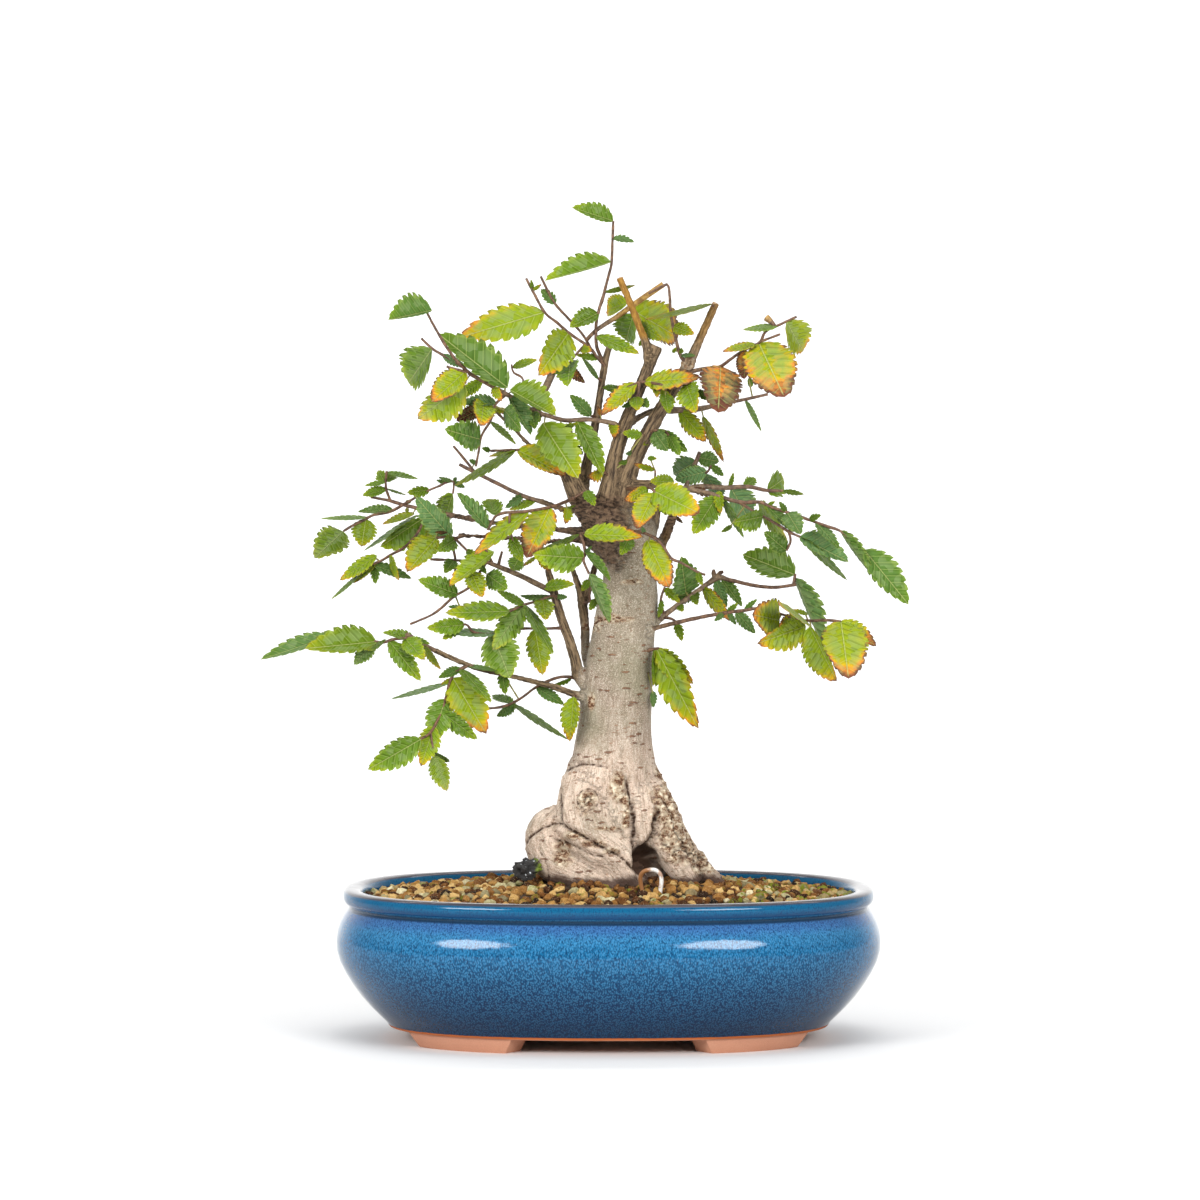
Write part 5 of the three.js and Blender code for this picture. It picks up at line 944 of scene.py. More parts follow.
# Each point of the skin is pushed in or out by what lies there, and marked for the bark's colours.
normals = [n.vector.copy() for n in wood.data.vertex_normals]
marks = {name: [] for name in ("crease", "cork", "limb", "callus", "gold", "cut")}
moved = []
for vertex, normal in zip(wood.data.vertices, normals):
    p = vertex.co / MM - POT_PLACE
    x, z = measured(p)
    front = rise(-normal.y, -0.15, 0.25) * rise(12 - p.y, 0, 6)
    crease = 0.0
    push = 0.0
    if front > 0 and z < CREASES_BELOW:
        # folds between the roots, with rounded lips, and hollows under them, darkened with painted shade
        for depth, width, line in CREASES:
            d = line_distance(x, z, line) / width
            if d < CREASE_REACH:
                wander = 0.75 + 0.5 * noise.noise(p * 0.5)
                push += front * depth * wander * (0.42 * math.exp(-((d - 1.9) ** 2)) - math.exp(-d * d))
                dark = wander - 0.25 + 0.5 * noise.noise(p * 1.3)
                line_strength = min(0.5 + depth * 0.35, 1) * max(dark + 0.25, 0.55)
                crease = max(crease, front * math.exp(-2.2 * d * d) * line_strength)
        for hx, hz, reach, depth in HOLLOWS:
            d = math.hypot(x - hx, z - hz) / reach
            push -= front * depth * math.exp(-d * d * 1.4)
            crease = max(crease, rise(12 - p.y, 0, 6) * math.exp(-d * d * 0.85) * 1.5)
    # patches of cork in front, and others at the back, which the picture does not show
    cork = 0.0
    for cx, cz, rx, rz in CORKY:
        d = math.hypot((x - cx) / rx, (z - cz) / rz) + 0.5 * noise.noise(p * 0.22)
        cork = max(cork, front * (1 - rise(d, 0.6, 1.25)))
    back_patch = rise(noise.noise(p * 0.055 + Vector((7, 3, 1))), 0.12, 0.4) * rise(138 - z, 0, 25)
    cork = max(cork, (1 - front) * back_patch)
    # knots, with a swollen rim and cracks round it, darkened with painted shade
    for kx, kz, reach, height in KNOTS:
        d = math.hypot(x - kx, z - kz) / reach
        if front > 0 and d < KNOT_REACH:
            push += front * height * (math.exp(-((d - 1) ** 2) * 5) - 0.7 * math.exp(-d * d * 6))
            crease = max(crease, 0.7 * front * math.exp(-((d - 0.45) ** 2) * 30))
            broken = 0.7 * front * (0.8 + noise.noise(p * 0.6))
            crease = max(crease, broken * math.exp(-((d - 1.5) ** 2) * 30))
            cork = max(cork, 0.4 * front * math.exp(-((d - 1) ** 2) * 3))
    # darker bark on the limbs, and a fissured callus round the old cut below the fork
    middle, half = trunk_at(z)
    off = math.hypot(p.x - middle, p.y) - half
    limb = rise(off, 1.5, 6) * rise(z, 160, 175)
    limb = max(limb, rise(z + 7 * noise.noise(p * 0.1), 258, 276))
    ragged = 9 * noise.noise(p * 0.09) + 5 * noise.noise(p * 0.3)
    callus = front * rise(z + ragged, 238, 248) * (1 - rise(z, 276, 284))
    callus *= 1 - rise(x + ragged * 0.5, 5, 12)
    callus = max(callus, (1 - front) * rise(z + ragged * 1.6, 246, 262) * (1 - rise(z, 272, 280)))
    # the skin's own unevenness, and chunks of cork
    rough = 0.16 * noise.noise(p * 0.45) + 0.1 * noise.noise(p * 1.2)
    chunks = noise.noise(p * 0.34) + 0.6 * abs(noise.noise(p * 0.8)) - 0.2
    push += rough + cork * (2 * chunks + 0.6 * noise.noise(p * 1.3))
    push += callus * (0.9 * noise.noise(Vector((p.x, p.y, p.z * 0.5)) * 0.6) + 0.4 * noise.noise(p * 1.6))
    push += 0.28 * limb * noise.noise(p * 0.6)
    # painted shade between the chunks of cork
    crease = max(crease, cork * rise(-chunks, 0.25, 0.5) * 0.4)
    # golden young bark on three pruned tips
    gold = rise(z, 359, 364) * rise(x, -3, 1) * (1 - rise(x, 25, 28))
    gold *= rise(p.y, -6, -4) * (1 - rise(p.y, 3, 4))
    gold = max(gold, 0.5 * rise(z, 352, 366) * rise(x, 43, 46))
    gold = max(gold, 0.5 * rise(z, 252, 258) * (1 - rise(z, 276, 280)) * rise(x, 23, 27) * rise(p.y, 7, 9))
    cut = max(1 - rise((p - seen(cx, spread(cy), cz)).length, 1.5, 2.2) for cx, cy, cz in CUT_ENDS)
    moved.append(vertex.co + normal * push * MM)
    for store, value in zip(marks.values(), (crease, cork, limb, callus, gold, cut)):
        store.append(value)
grain_places = [number for vertex in wood.data.vertices for number in grain_place(vertex.co)]
carry(wood, "grain", grain_places, "FLOAT_VECTOR")
for vertex, place in zip(wood.data.vertices, moved):
    vertex.co = place
for name, values in marks.items():
    carry(wood, name, values)
smooth(wood, angle=1.2)

place, finish = new_material("bark", IOR=1.4)
height = place.parts()[2] * IN_MM
grown = place.own("grain", out=1)
fibres = grown.stretched(1, 1, 0.22).speckle(1150, 4, 0.7)
wrinkles = place.stretched(1, 1, 2.6).speckle(330, 4, 0.6, 0.4)
blotches = place.speckle(48, 4, 0.6)
fine = place.speckle(1700, 3, 0.7)
streaks = grown.stretched(1, 1, 0.3).speckle(240, 4, 0.65)
# pinkish at the foot, grey-beige above it and greener towards the fork
foot_bark = blotches.share(0.35, 0.65).mixed((0.51, 0.37, 0.28), (0.77, 0.605, 0.48))
low_bark = blotches.share(0.35, 0.65).mixed((0.315, 0.24, 0.18), (0.46, 0.37, 0.29))
high_bark = blotches.share(0.35, 0.65).mixed((0.25, 0.205, 0.14), (0.38, 0.325, 0.24))
bark = (height + blotches * 30).share(152, 178).mixed(foot_bark, low_bark)
bark = (height + blotches * 60).share(188, 250).mixed(bark, high_bark)
grain = grown.stretched(1, 1, 0.1).speckle(850, 4, 0.65, 0.25)
bark = (grain.share(0.48, 0.66) * (height.share(230, 130) * 0.2 + 0.4)).mixed(bark, (0.19, 0.125, 0.075))
bark = ((1 - grain.share(0.34, 0.48)) * (height.share(210, 130) * 0.3 + 0.12)).mixed(bark, (0.80, 0.71, 0.60))
bark = (fibres.share(0.5, 0.68) * 0.3).mixed(bark, (0.15, 0.105, 0.07))
mottle = place.stretched(1, 1, 0.5).speckle(120, 4, 0.65)
bark = (mottle.share(0.48, 0.64) * (height.share(120, 200) * 0.3 + 0.25)).mixed(bark, (0.19, 0.16, 0.10))
bark = (streaks.share(0.5, 0.66) * 0.45).mixed(bark, (0.21, 0.16, 0.105))
bark = ((1 - fine.share(0.36, 0.5)) * 0.35).mixed(bark, (0.17, 0.12, 0.075))
# fine pale specks, partly the bark's own flecks and partly painted highlight on its small relief
bark = (fine.share(0.5, 0.66) * 0.52).mixed(bark, (0.86, 0.77, 0.66))
algae = place.speckle(30, 3).share(0.5, 0.68) * height.share(95, 130) * 0.4
bark = algae.mixed(bark, (0.20, 0.20, 0.115))
# brown pores lie across the trunk, and small ones in patches
wobble = place.node("ShaderNodeTexNoise", None, {"Vector": place, "Scale": 240.0, "Detail": 2.0}, 1)
crooked = place.vector("MULTIPLY_ADD", {0: wobble, 1: (0.005, 0.005, 0.0016), 2: place})
pores = crooked.stretched(1, 1, 3.6).cells(100) + fine * 0.16
pores = (1 - pores.share(0.25, 0.33)) * place.stretched(1, 1, 3).speckle(42, 2).share(0.42, 0.5)
small_pores = crooked.stretched(1, 1, 2.2).cells(240) + fine * 0.1
small_pores = (1 - small_pores.share(0.22, 0.32)) * blotches.share(0.40, 0.56)
limb = place.own("limb")
pore_bark = streaks.share(0.4, 0.6).mixed((0.27, 0.135, 0.07), (0.13, 0.052, 0.026))
bark = (pores.most(small_pores * 0.75) * (1 - limb * 0.6) * 0.85).mixed(bark, pore_bark)
# brown bark with long fissures on the limbs, golden at their young tips
limb_bark = (grain * 0.65 + fibres * 0.35).share(0.4, 0.6).mixed((0.035, 0.021, 0.011), (0.26, 0.175, 0.095))
limb_bark = (fine.share(0.55, 0.8) * 0.45).mixed(limb_bark, (0.36, 0.26, 0.15))
golden = fibres.share(0.35, 0.7).mixed((0.20, 0.09, 0.012), (0.42, 0.22, 0.035))
limb_bark = place.own("gold").mixed(limb_bark, golden)
bark = limb.mixed(bark, limb_bark)
# the callus, darkened partly as painted shade, the cork, painted shade in the creases, a darker band at the
# soil line and bare wood at the cuts
cracks = 1 - wrinkles.share(0.36, 0.47)
callus = place.own("callus")
# dark fissured bark round the old cut, darker still as painted shade under the limbs
callus_bark_and_shade = wrinkles.share(0.36, 0.66).mixed((0.045, 0.023, 0.013), (0.19, 0.115, 0.068))
callus_bark_and_shade = (fine.share(0.55, 0.75) * 0.35).mixed(callus_bark_and_shade, (0.34, 0.24, 0.16))
bark = (callus * 0.92).mixed(bark, callus_bark_and_shade)
cork = place.own("cork")
flakes = crooked.stretched(1, 1, 1.3).speckle(270, 5, 0.75)
cork_bark = (flakes + fine * 0.1 - 0.05).ramp(
    (0.40, (0.10, 0.036, 0.012)), (0.45, (0.40, 0.18, 0.080)), (0.49, (0.78, 0.57, 0.37)),
    (0.62, (0.97, 0.86, 0.66)),
)
bark = (cork * 0.92).mixed(bark, cork_bark)
# painted shade in the creases, the hollows, round the knots and in the cracks of the cork
crease = place.own("crease")
bark = (crease + cork * cracks * 0.15).share(0.2, 0.85).mixed(bark, (0.055, 0.026, 0.013))
# the bark is darker towards the soil line
dark_foot = 1 - (height + blotches * 12 + fibres * 5).share(91.5, 95.5)
bark = (dark_foot * 0.92).mixed(bark, (0.05, 0.021, 0.013))
bark = place.own("cut").mixed(bark, (0.66, 0.52, 0.42))
relief = grain * 0.5 + fibres * 0.25 + fine * 0.3 + pores * 0.35 - cracks * callus * 0.7 + wrinkles * 0.25
relief = relief + flakes.share(0.36, 0.6) * cork * 0.8 + streaks * 0.3
wood.data.materials.clear()
dullness = 0.9 - fibres * 0.28 - limb * 0.06
wood.data.materials.append(finish(bark, dullness, relief=relief, depth=0.0016))
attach(wood, "root")
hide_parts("wood")

# The leafy shoots
# Each shoot grows from its own place on the wood: thin red-brown twigs, and leaves with toothed
# edges and veins that run into the teeth, green in summer and turning yellow, orange and brown.

LEAF_TEETH = 8
SMALL_LEAF_TEETH = 5
ROUND_LEAF_TEETH = 11
TEETH_REACH = 1.1
# Late leaves that are wide for their length are round.
ROUND_FROM_AUTUMN = 0.55
ROUND_FROM_WIDTH = 0.24
SMALL_LEAF = 13
BLADE_HALF_SHARE = 0.22
BLADE_WIDTH_SHARE = 0.5
BLADE_BOW = 0.22
BLADE_RIPPLES = 17
BLADE_RIPPLE = 0.028
BLADE_CUP = 0.16
BLADE_CUP_VARIES = 0.2
BLADE_DROOP = 0.07
BLADE_THICK = 0.32
BLADE_THINS = 0.7
FOLD_LIMIT = math.pi / 3
# A leaf that looks short for its width leans forward, or backward on a twig behind FRONT_DEPTH.
LEAN_LIMIT = 22
LEAN_VARIES = 0.3
FRONT_DEPTH = 8
SAME_PLACE = 0.3
STALK_FROM = 2.6
STALK_RADIUS = 0.45
STALK_END_RADIUS = 0.38
STALK_IN_BLADE = 1.5
TWIG_THINNER = 0.92
TWIG_SIDES = 8
TWIG_STEP = 1.5
TWIG_KNUCKLES = 0.6

# Where a tooth swells, where its tip lies and where the notch after it lies, as shares of its pitch.
TOOTH_BULGE = 0.42
TOOTH_TIP = 0.86
TOOTH_NOTCH = 0.92
TOOTH_SWELLS = 1.03
TOOTH_REACHES = 0.4
TOOTH_FORWARD = 0.012
# The blade's tip beyond its last tooth, in pitches.
PITCHES_LEFT = 0.35

# Each shoot: its name, its twigs as rows x, y, z, radius, and its leaves as base x, base z, tip x,
# tip z, half width on one side and on the other, autumn from 0 green to 1 brown, and 1 where the
# paler underside faces the front.
SHOOTS = [
    # at the top of the leader
    ("shoot_top", [
        [(-3, 5, 350, 1.1), (-6, 5, 357, 1), (-6.5, 5, 366, 0.9), (-5.5, 4, 374, 0.9), (-2.5, 4, 384, 0.9),
         (-0.5, 3, 392, 0.8), (1.5, 3, 400, 0.8), (2, 2, 411, 0.8), (2.5, 2, 422, 0.7)],
    ], [
        (2.3, 422, -19, 429, 2, 6, 0.25), (2.3, 413, 13.5, 411, 2.5, 1, 0.1),
        (0, 401, -33, 391, 0.5, 8, 0.3), (-1, 385, 14, 389, 1.2, 1.5, 0.4),
        (-6.5, 375, -20.3, 367, 3, 5.5, 0.25), (-5, 363, 16, 353.5, 3.5, 3, 0.4),
    ]),
    ("shoot_leader_left", [
        [(-2, 3.5, 347.5, 1.1), (-6, 1, 352, 1), (-10, 0, 357, 0.9), (-20, -2, 364, 0.9),
         (-27, -5, 370, 0.9), (-33, -7, 375, 0.8), (-38, -8, 384, 0.8), (-42.5, -9, 392.5, 0.8)],
        [(-8.5, 0.5, 355, 0.9), (-13, 6, 363, 0.8), (-20, 8, 371, 0.8), (-28, 9, 380, 0.8),
         (-35, 9, 393.5, 0.7)],
        [(-11.5, 4.2, 360.5, 1.2), (-6, 8, 366, 1.3), (4, 11, 372.5, 1.5), (16, 12, 381, 1.8),
         (28.3, 12, 389.4, 1.8)],
        [(-12, -0.4, 358.4, 0.8), (-17, -2, 353, 0.7), (-21, -3, 347.5, 0.7)],
    ], [
        (-33.5, 374.5, -77, 362, 8, 8.5, 0.54), (-21, 364, -36.5, 342, 9, 7, 0.5),
        (-15, 357, -8.5, 355, 2.5, 2, 0.6), (-5, 351, -17, 353, 1.5, 2, 0.4),
        (-27, 379.5, -35, 387, 2.5, 3, 0.1), (-38.5, 386, -40, 392, 1, 1, 0.35),
        (-38.5, 386.5, -34.5, 389.5, 1, 1, 0.7), (-20, 349, -21, 337, 4, 7, 0.3),
        (-21, 346, -12, 338.5, 2, 3, 0.95), (-22.5, 348, -27, 343, 2, 2, 0.4),
    ]),
    ("shoot_leader_middle", [
        [(-3, 4, 339, 0.9), (-5.5, 1, 341, 0.7)],
    ], [
        (-5, 340.5, -14, 352, 1.3, 1.3, 0.1),
    ]),
    ("shoot_leader_foot", [
        [(-6, 2, 321, 0.9), (-9, -1, 321.5, 0.7)],
    ], [
        (-9, 321.5, -20, 332.5, 3, 3.5, 0.15),
    ]),
    # among the cut limbs of the middle
    ("shoot_golden_stub", [
        [(21.5, 3, 351, 1), (20, 7, 356, 0.9), (18, 9, 362, 0.8), (14, 10, 372, 0.8), (10, 10, 380, 0.7)],
    ], [
        (13, 377, 36, 362, 11, 6, 0.65), (10, 380, -1, 376, 3, 6, 0.55), (12, 374, 9, 360, 4, 8, 0.3),
        (14, 368, 28, 361, 3, 3.5, 0.4), (18, 361, 15.5, 357.5, 1.2, 1.2, 0.4),
    ]),
    ("shoot_golden_twig", [
        [(41, -9, 348, 1.2), (37, -10, 353, 1.1), (34.5, -11, 362, 1), (33, -11, 369, 0.9),
         (32, -11, 376, 0.9), (31, -11, 388, 0.8), (28.5, -11, 388.7, 0.8), (20.5, -11, 384.5, 0.7)],
    ], [
        (34, 368, 44.5, 363.5, 3.5, 3, 0.45), (35, 355, 39, 354.5, 1.5, 1.5, 0.3),
        (36.5, 352.5, 45, 352.5, 1.2, 1, 0.1), (33, 354, 35, 357, 1, 1, 0.4),
    ]),
    ("shoot_limb_tip", [
        [(54.5, -6, 377, 0.9), (53.5, -9, 379, 0.7)],
    ], [
        (53, 379.5, 18, 371.3, 1.8, 1.5, 0.5),
    ]),
    ("shoot_right_upper", [
        [(41, -8, 344, 1.3), (50, -10, 346, 1.1), (56, -12, 346.5, 1), (60, -14, 348.5, 1),
         (66, -16, 353, 0.9), (72, -17, 356.5, 0.9), (78, -18, 359.5, 0.9), (81, -19, 365, 0.8),
         (88, -20, 368.5, 0.8), (97, -21, 372.7, 0.7)],
        [(78, -18, 359.7, 0.8), (88.5, -20, 363.7, 0.7)],
        [(86, -19.7, 367.6, 0.9), (84, -19, 370, 1.4), (81.5, -18, 372, 2.2)],
    ], [
        (58, 347, 56.5, 323, 10.5, 9.5, 0.9), (77.5, 359, 91, 330.5, 12.5, 11.5, 0.75),
        (76, 359, 58.5, 354.5, 1.5, 2.5, 0.6), (71, 354, 70, 340.5, 3, 4, 0.9),
        (87, 369.3, 69, 366, 2, 1.5, 0.3, 1), (91.5, 370.5, 100, 355.5, 8.5, 5, 0.5, 1),
    ]),
    ("shoot_middle_right", [
        [(17.5, 0, 338.5, 1.1), (21, -7, 338.5, 1), (25, -13, 338, 0.9), (34, -14, 336, 0.9),
         (40, -14, 338, 0.8), (46, -14, 335, 0.7)],
        [(21, -7, 338.5, 0.9), (17, -8, 339.3, 0.8), (14.5, -8, 338.5, 0.7), (8, -8, 335.5, 0.7)],
        [(16, -8, 339, 0.8), (15, -9, 333, 0.7), (12, -9, 328.5, 0.7)],
    ], [
        (18.5, 340, 48, 341.5, 5, 4.5, 0.7), (14.5, 338.5, -4, 321.5, 3, 5, 0.7),
        (8, 335, -3, 336, 2.5, 2, 0.2), (24, 337.5, 35, 328, 1.5, 2.5, 0.5),
        (23, 336, 25, 330.5, 2.5, 1.5, 0.55), (29, 333, 31, 322.5, 4, 3, 0.3),
        (40, 338.5, 45.3, 323, 5, 6.5, 0.45), (46, 334, 51, 329.5, 2, 2, 0.1),
        (12, 333, 15, 324.5, 3.5, 3.5, 0.45), (17, 330, 21, 326, 2.5, 2.5, 0.2),
        (11, 328, 6.5, 326, 1.5, 1, 0.1),
    ]),
    ("shoot_red_branch_right", [
        [(31, 12, 324.5, 2), (45, 16, 325, 1.7), (58, 18, 327.5, 1.1), (70, 20, 330, 1),
         (82, 22, 332.7, 0.8)],
    ], [
        (36.5, 323, 50.5, 308, 4.5, 4.5, 0.6), (48.5, 321.5, 59.5, 297.5, 2.5, 2.5, 0.65),
        (70, 331, 79, 313.3, 1.7, 1.2, 0.2), (72, 341, 74, 336.5, 2, 1.5, 0.3),
    ]),
    ("shoot_right_limb_left", [
        [(19, -9, 311.5, 0.9), (17.5, -13, 311.5, 0.7)],
    ], [
        (17, 311.5, 7, 313, 2.5, 2.5, 0.35), (12, 303, 8.5, 302, 1.5, 1, 0.05),
        (21, 309, 17.5, 306.5, 1.5, 1, 0.4),
    ]),
    ("shoot_right_limb_right", [
        [(21, -9, 313, 1), (24, -14, 314, 0.8), (29, -15, 314, 0.8), (31, -16, 311.5, 0.7)],
    ], [
        (23.5, 313.5, 31, 303, 4, 4.5, 0.05), (27, 315, 41, 303, 3, 4, 0.2),
        (31, 311, 37, 301, 3, 3, 0.25),
    ]),
    # along the reddish branch to the upper left
    ("shoot_red_branch_left", [
        [(5, -4, 316, 1.7), (2, -6, 317.8, 1.5), (-10, -7, 319.7, 1.3), (-22, -10, 319.3, 1.3),
         (-31, -13, 321.5, 1.3), (-39, -16, 324.3, 1.4), (-48, -19, 330, 1.4), (-55, -21, 334, 1.3),
         (-63, -24, 338.5, 1.2), (-72, -27, 343.5, 1.1)],
        [(-39, -16, 324.5, 1.3), (-35, -13, 331, 1.5), (-32, -11, 337, 2.1), (-28, -10, 346, 2)],
        [(-71, -26.7, 343, 1), (-80, -29, 352, 0.9), (-88, -31, 364.5, 0.8), (-94, -32, 375.5, 0.7)],
        [(-74.5, -27.6, 346.3, 0.9), (-80, -27, 350, 0.8), (-85.5, -27, 353, 0.8), (-91, -26, 356.3, 0.8),
         (-96.5, -25, 361.5, 0.7)],
        [(-72, -27, 344, 0.8), (-76, -28, 344.8, 0.8), (-83.5, -29, 347, 0.7)],
        [(-53, -20, 332.5, 0.9), (-58, -20, 328, 0.8), (-59.5, -20, 324, 0.8), (-61, -20, 319, 0.8),
         (-64, -20, 314, 0.8), (-66, -20, 310, 0.7), (-67, -19, 303, 0.7), (-68.5, -18, 295.5, 0.7)],
        [(-47, -19, 329.5, 0.9), (-44, -18, 340, 0.7), (-49, -17, 344, 0.7), (-50, -16, 348, 0.6)],
        [(-20, -9.5, 319.4, 0.8), (-19, -11, 312, 0.7), (-19, -11, 307, 0.6)],
    ], [
        (1, 319.5, 2.7, 309.5, 4, 1.2, 0.75), (-3.5, 321.5, -6, 327, 1.2, 1.2, 0.9),
        (-16.5, 318, -2.7, 291, 6, 3.5, 0.25), (-19, 307, -13, 301.5, 2, 2, 0.3),
        (-26, 314.5, -15.5, 318, 1.5, 1.5, 0.4), (-34, 318, -15.5, 289, 10, 8, 0.35),
        (-36, 327, -35.5, 318, 2, 2.5, 0.3, 1), (-40, 322, -38, 314.5, 3, 3, 0.2),
        (-51, 335, -27, 321.5, 10, 1.5, 0.3), (-49.5, 346.5, -36.5, 350.5, 2.5, 1.5, 0.4),
        (-52, 331.5, -40, 311.5, 6, 1.5, 0.05), (-54, 325, -45, 314, 4.5, 4.5, 0.15),
        (-52, 336, -88, 364, 4, 11, 0.15), (-60, 336, -55, 329, 2.5, 2.5, 0.7),
        (-59, 326, -51, 323, 1.5, 2, 0.8), (-58.5, 329, -77, 327.5, 1, 4.5, 0),
        (-64, 329, -66, 317, 6, 5, 0.6), (-64, 326, -78.5, 319, 3, 4, 0.95),
        (-60, 318, -47.5, 306.5, 2, 1, 0.25), (-66.5, 309.5, -84, 314.5, 6, 7.5, 0.2),
        (-66, 338, -78, 331, 3, 3, 0.45), (-74, 338, -98.5, 320, 10, 6, 0.5, 1),
        (-74, 344, -91, 329, 5, 7, 0.65), (-86, 353, -73, 346.5, 2, 2.5, 0),
        (-91, 356, -103.5, 338, 5.5, 10.5, 0.3, 1), (-91, 376, -113.5, 371, 1, 10, 0.2),
    ]),
    ("shoot_left_limb_tip", [
        [(-38, -10, 304.7, 1), (-43, -12, 304, 0.9), (-47.5, -13, 304, 0.8), (-54, -14, 303.8, 0.7),
         (-61, -14, 303.5, 0.7)],
    ], [
        (-47, 304, -22, 290.5, 7.5, 3, 0.7), (-47.5, 303.5, -80, 285.5, 3, 2, 0.35),
        (-47, 305, -62, 300.5, 1, 1.5, 0.5), (-61, 303.5, -65.5, 305, 1.2, 1.5, 0.2),
    ]),
    # along the branches to the left
    ("shoot_left_bare", [
        [(-32, 14.5, 276.6, 1.4), (-42, 17, 279.5, 1.3), (-50, 19, 283, 1.2), (-58, 21, 287, 1.1),
         (-68, 24, 292, 1.1), (-77, 26, 296.5, 1)],
        [(-69, 24.3, 292.5, 0.9), (-75, 25, 300, 0.8), (-80, 26, 306, 0.7)],
    ], [
        (-68, 296.5, -72, 299, 1, 1.5, 0.15), (-69, 292, -70, 288, 1, 1.3, 0.15),
        (-37.5, 277, -51.5, 273, 1.8, 2, 0.45), (-45, 279, -53.5, 274, 2.5, 2, 0.1),
    ]),
    ("shoot_left_end", [
        [(-79, 20, 270, 1.3), (-95, 22, 273, 1.1), (-107, 24, 276, 1), (-114, 25, 278, 0.9),
         (-122.5, 27, 279.6, 0.8)],
        [(-112.5, 24.8, 277.5, 0.8), (-114.5, 24, 283, 0.8), (-115, 23, 287, 0.7), (-114.5, 22, 293, 0.7)],
        [(-106, 23.8, 275.7, 0.9), (-102, 22, 278, 0.8), (-97, 21, 281, 0.8), (-92, 20, 283.5, 0.7),
         (-87, 19, 285.5, 0.7), (-84, 19, 287, 0.7), (-80, 19, 287.5, 0.7), (-80.3, 18, 281.5, 0.6)],
        [(-106, 24, 275.7, 0.9), (-113, 22, 272, 0.8), (-121, 20, 270.5, 0.8), (-126, 19, 268, 0.8),
         (-132, 18, 265, 0.8), (-137, 18, 262, 0.7)],
        [(-94, 22, 272.7, 0.9), (-98, 18, 262, 0.8), (-105, 15, 254, 0.8), (-112, 13, 250, 0.8),
         (-117, 12, 247, 0.8), (-123.5, 11, 244, 0.7), (-128, 11, 240, 0.7)],
    ], [
        (-84, 287, -89, 288.5, 1, 1, 0.1), (-79, 288, -88, 290, 1, 1, 0.1),
        (-79, 288.5, -74, 284.5, 1.5, 1.5, 0.1), (-81, 281.5, -84.5, 269, 3, 6, 0.3),
        (-92, 283, -104, 282, 3, 2.5, 0.3), (-114.5, 287, -119, 293.5, 3, 3, 0.3),
        (-114, 287.5, -110, 292.5, 3, 2.5, 0.3), (-114, 292, -98, 289, 1.8, 0.8, 0.25),
        (-116, 287.5, -126, 285.5, 1, 1.5, 0.3), (-115, 283.5, -127, 280.5, 1.8, 3, 0.3),
        (-114.5, 284, -104, 280.5, 0.8, 0.8, 0.35), (-111.5, 273.5, -129.5, 272, 1, 3, 0.08),
        (-125, 271, -149, 268.5, 0.8, 1.3, 0.25), (-125, 268, -127.5, 254, 6, 6, 0.4),
        (-137.5, 262, -152.5, 247.5, 7, 8, 0.3, 1), (-92, 267, -94.5, 254.5, 5, 4.5, 0.6),
        (-97.5, 270, -118, 254, 9.5, 3, 0.3), (-98, 270.5, -127, 251.5, 1, 1.5, 0.2),
        (-100, 271, -117, 265.5, 1, 2.5, 0.5), (-119.5, 249.5, -139, 236.5, 3, 3.5, 0.5),
        (-120, 246.5, -132, 235, 1.5, 2, 0.6), (-128, 240, -143.5, 226.7, 1, 1, 0.25),
        (-122.5, 246.5, -101.5, 237.5, 3, 2, 0.1), (-119, 243.5, -120.5, 234.5, 2, 2.5, 0.25),
        (-112, 247, -108, 236.5, 2, 2, 0.5), (-80, 288, -78.5, 290, 1, 1, 0.1),
        (-102, 278.5, -105, 276.5, 1.2, 1, 0.35), (-104, 271.5, -104, 274.5, 1, 1, 0.5),
    ]),
    ("shoot_left_middle", [
        [(-75, -3.7, 259.7, 1.1), (-79, -4, 258, 0.9), (-80.5, -4, 255, 0.8), (-79, -4, 247, 0.8),
         (-79.5, -4, 239, 0.7)],
        [(-79, -4, 258.5, 0.8), (-84, -5, 259, 0.8), (-89, -6, 258.5, 0.7)],
        [(-92, -5, 247.5, 0.7), (-79, -4, 247, 0.8), (-74, -4, 246.8, 0.7)],
        [(-79, -4, 258, 0.8), (-73, -6, 252, 0.7)],
    ], [
        (-81, 259.5, -99.5, 280, 6.5, 5.5, 0.05), (-89, 258, -104.5, 240.5, 4.5, 8, 0.5),
        (-79, 257.5, -89, 251.5, 4, 4, 0.25), (-79.8, 247, -84.5, 240.5, 3, 3.5, 0.25),
        (-75, 251, -66, 247, 2, 2.5, 0.25), (-90, 261, -83, 261.5, 1, 1, 1),
    ]),
    ("shoot_lower_left_limb", [
        [(-30, -14.3, 231.4, 1.7), (-36, -16, 234.3, 1.6), (-45, -18, 238.8, 1.5), (-55, -20, 243, 1.4),
         (-63.5, -22, 246.4, 1.1)],
        [(-57, -20.5, 244, 0.9), (-55, -22, 251.5, 0.7)],
        [(-60, -21, 245, 0.9), (-62, -21, 250, 0.8), (-65, -21, 255, 0.7)],
        [(-63, -22, 246.2, 0.9), (-68, -23, 244, 0.8), (-71, -24, 241, 0.7)],
        [(-63, -22, 246.2, 0.9), (-67, -20, 240, 0.8), (-72, -18, 233, 0.8), (-80, -17, 228, 0.8),
         (-88, -16, 221, 0.8), (-94, -16, 217.5, 0.7), (-102.5, -16, 214, 0.7)],
    ], [
        (-59, 251.5, -82.5, 233.3, 1.8, 6.5, 0.5), (-71, 241, -65, 227.5, 5, 4.5, 0.5),
        (-63, 240, -52, 232, 5, 5, 0.2), (-33, 234, -17.5, 234.5, 3.5, 2, 0.4),
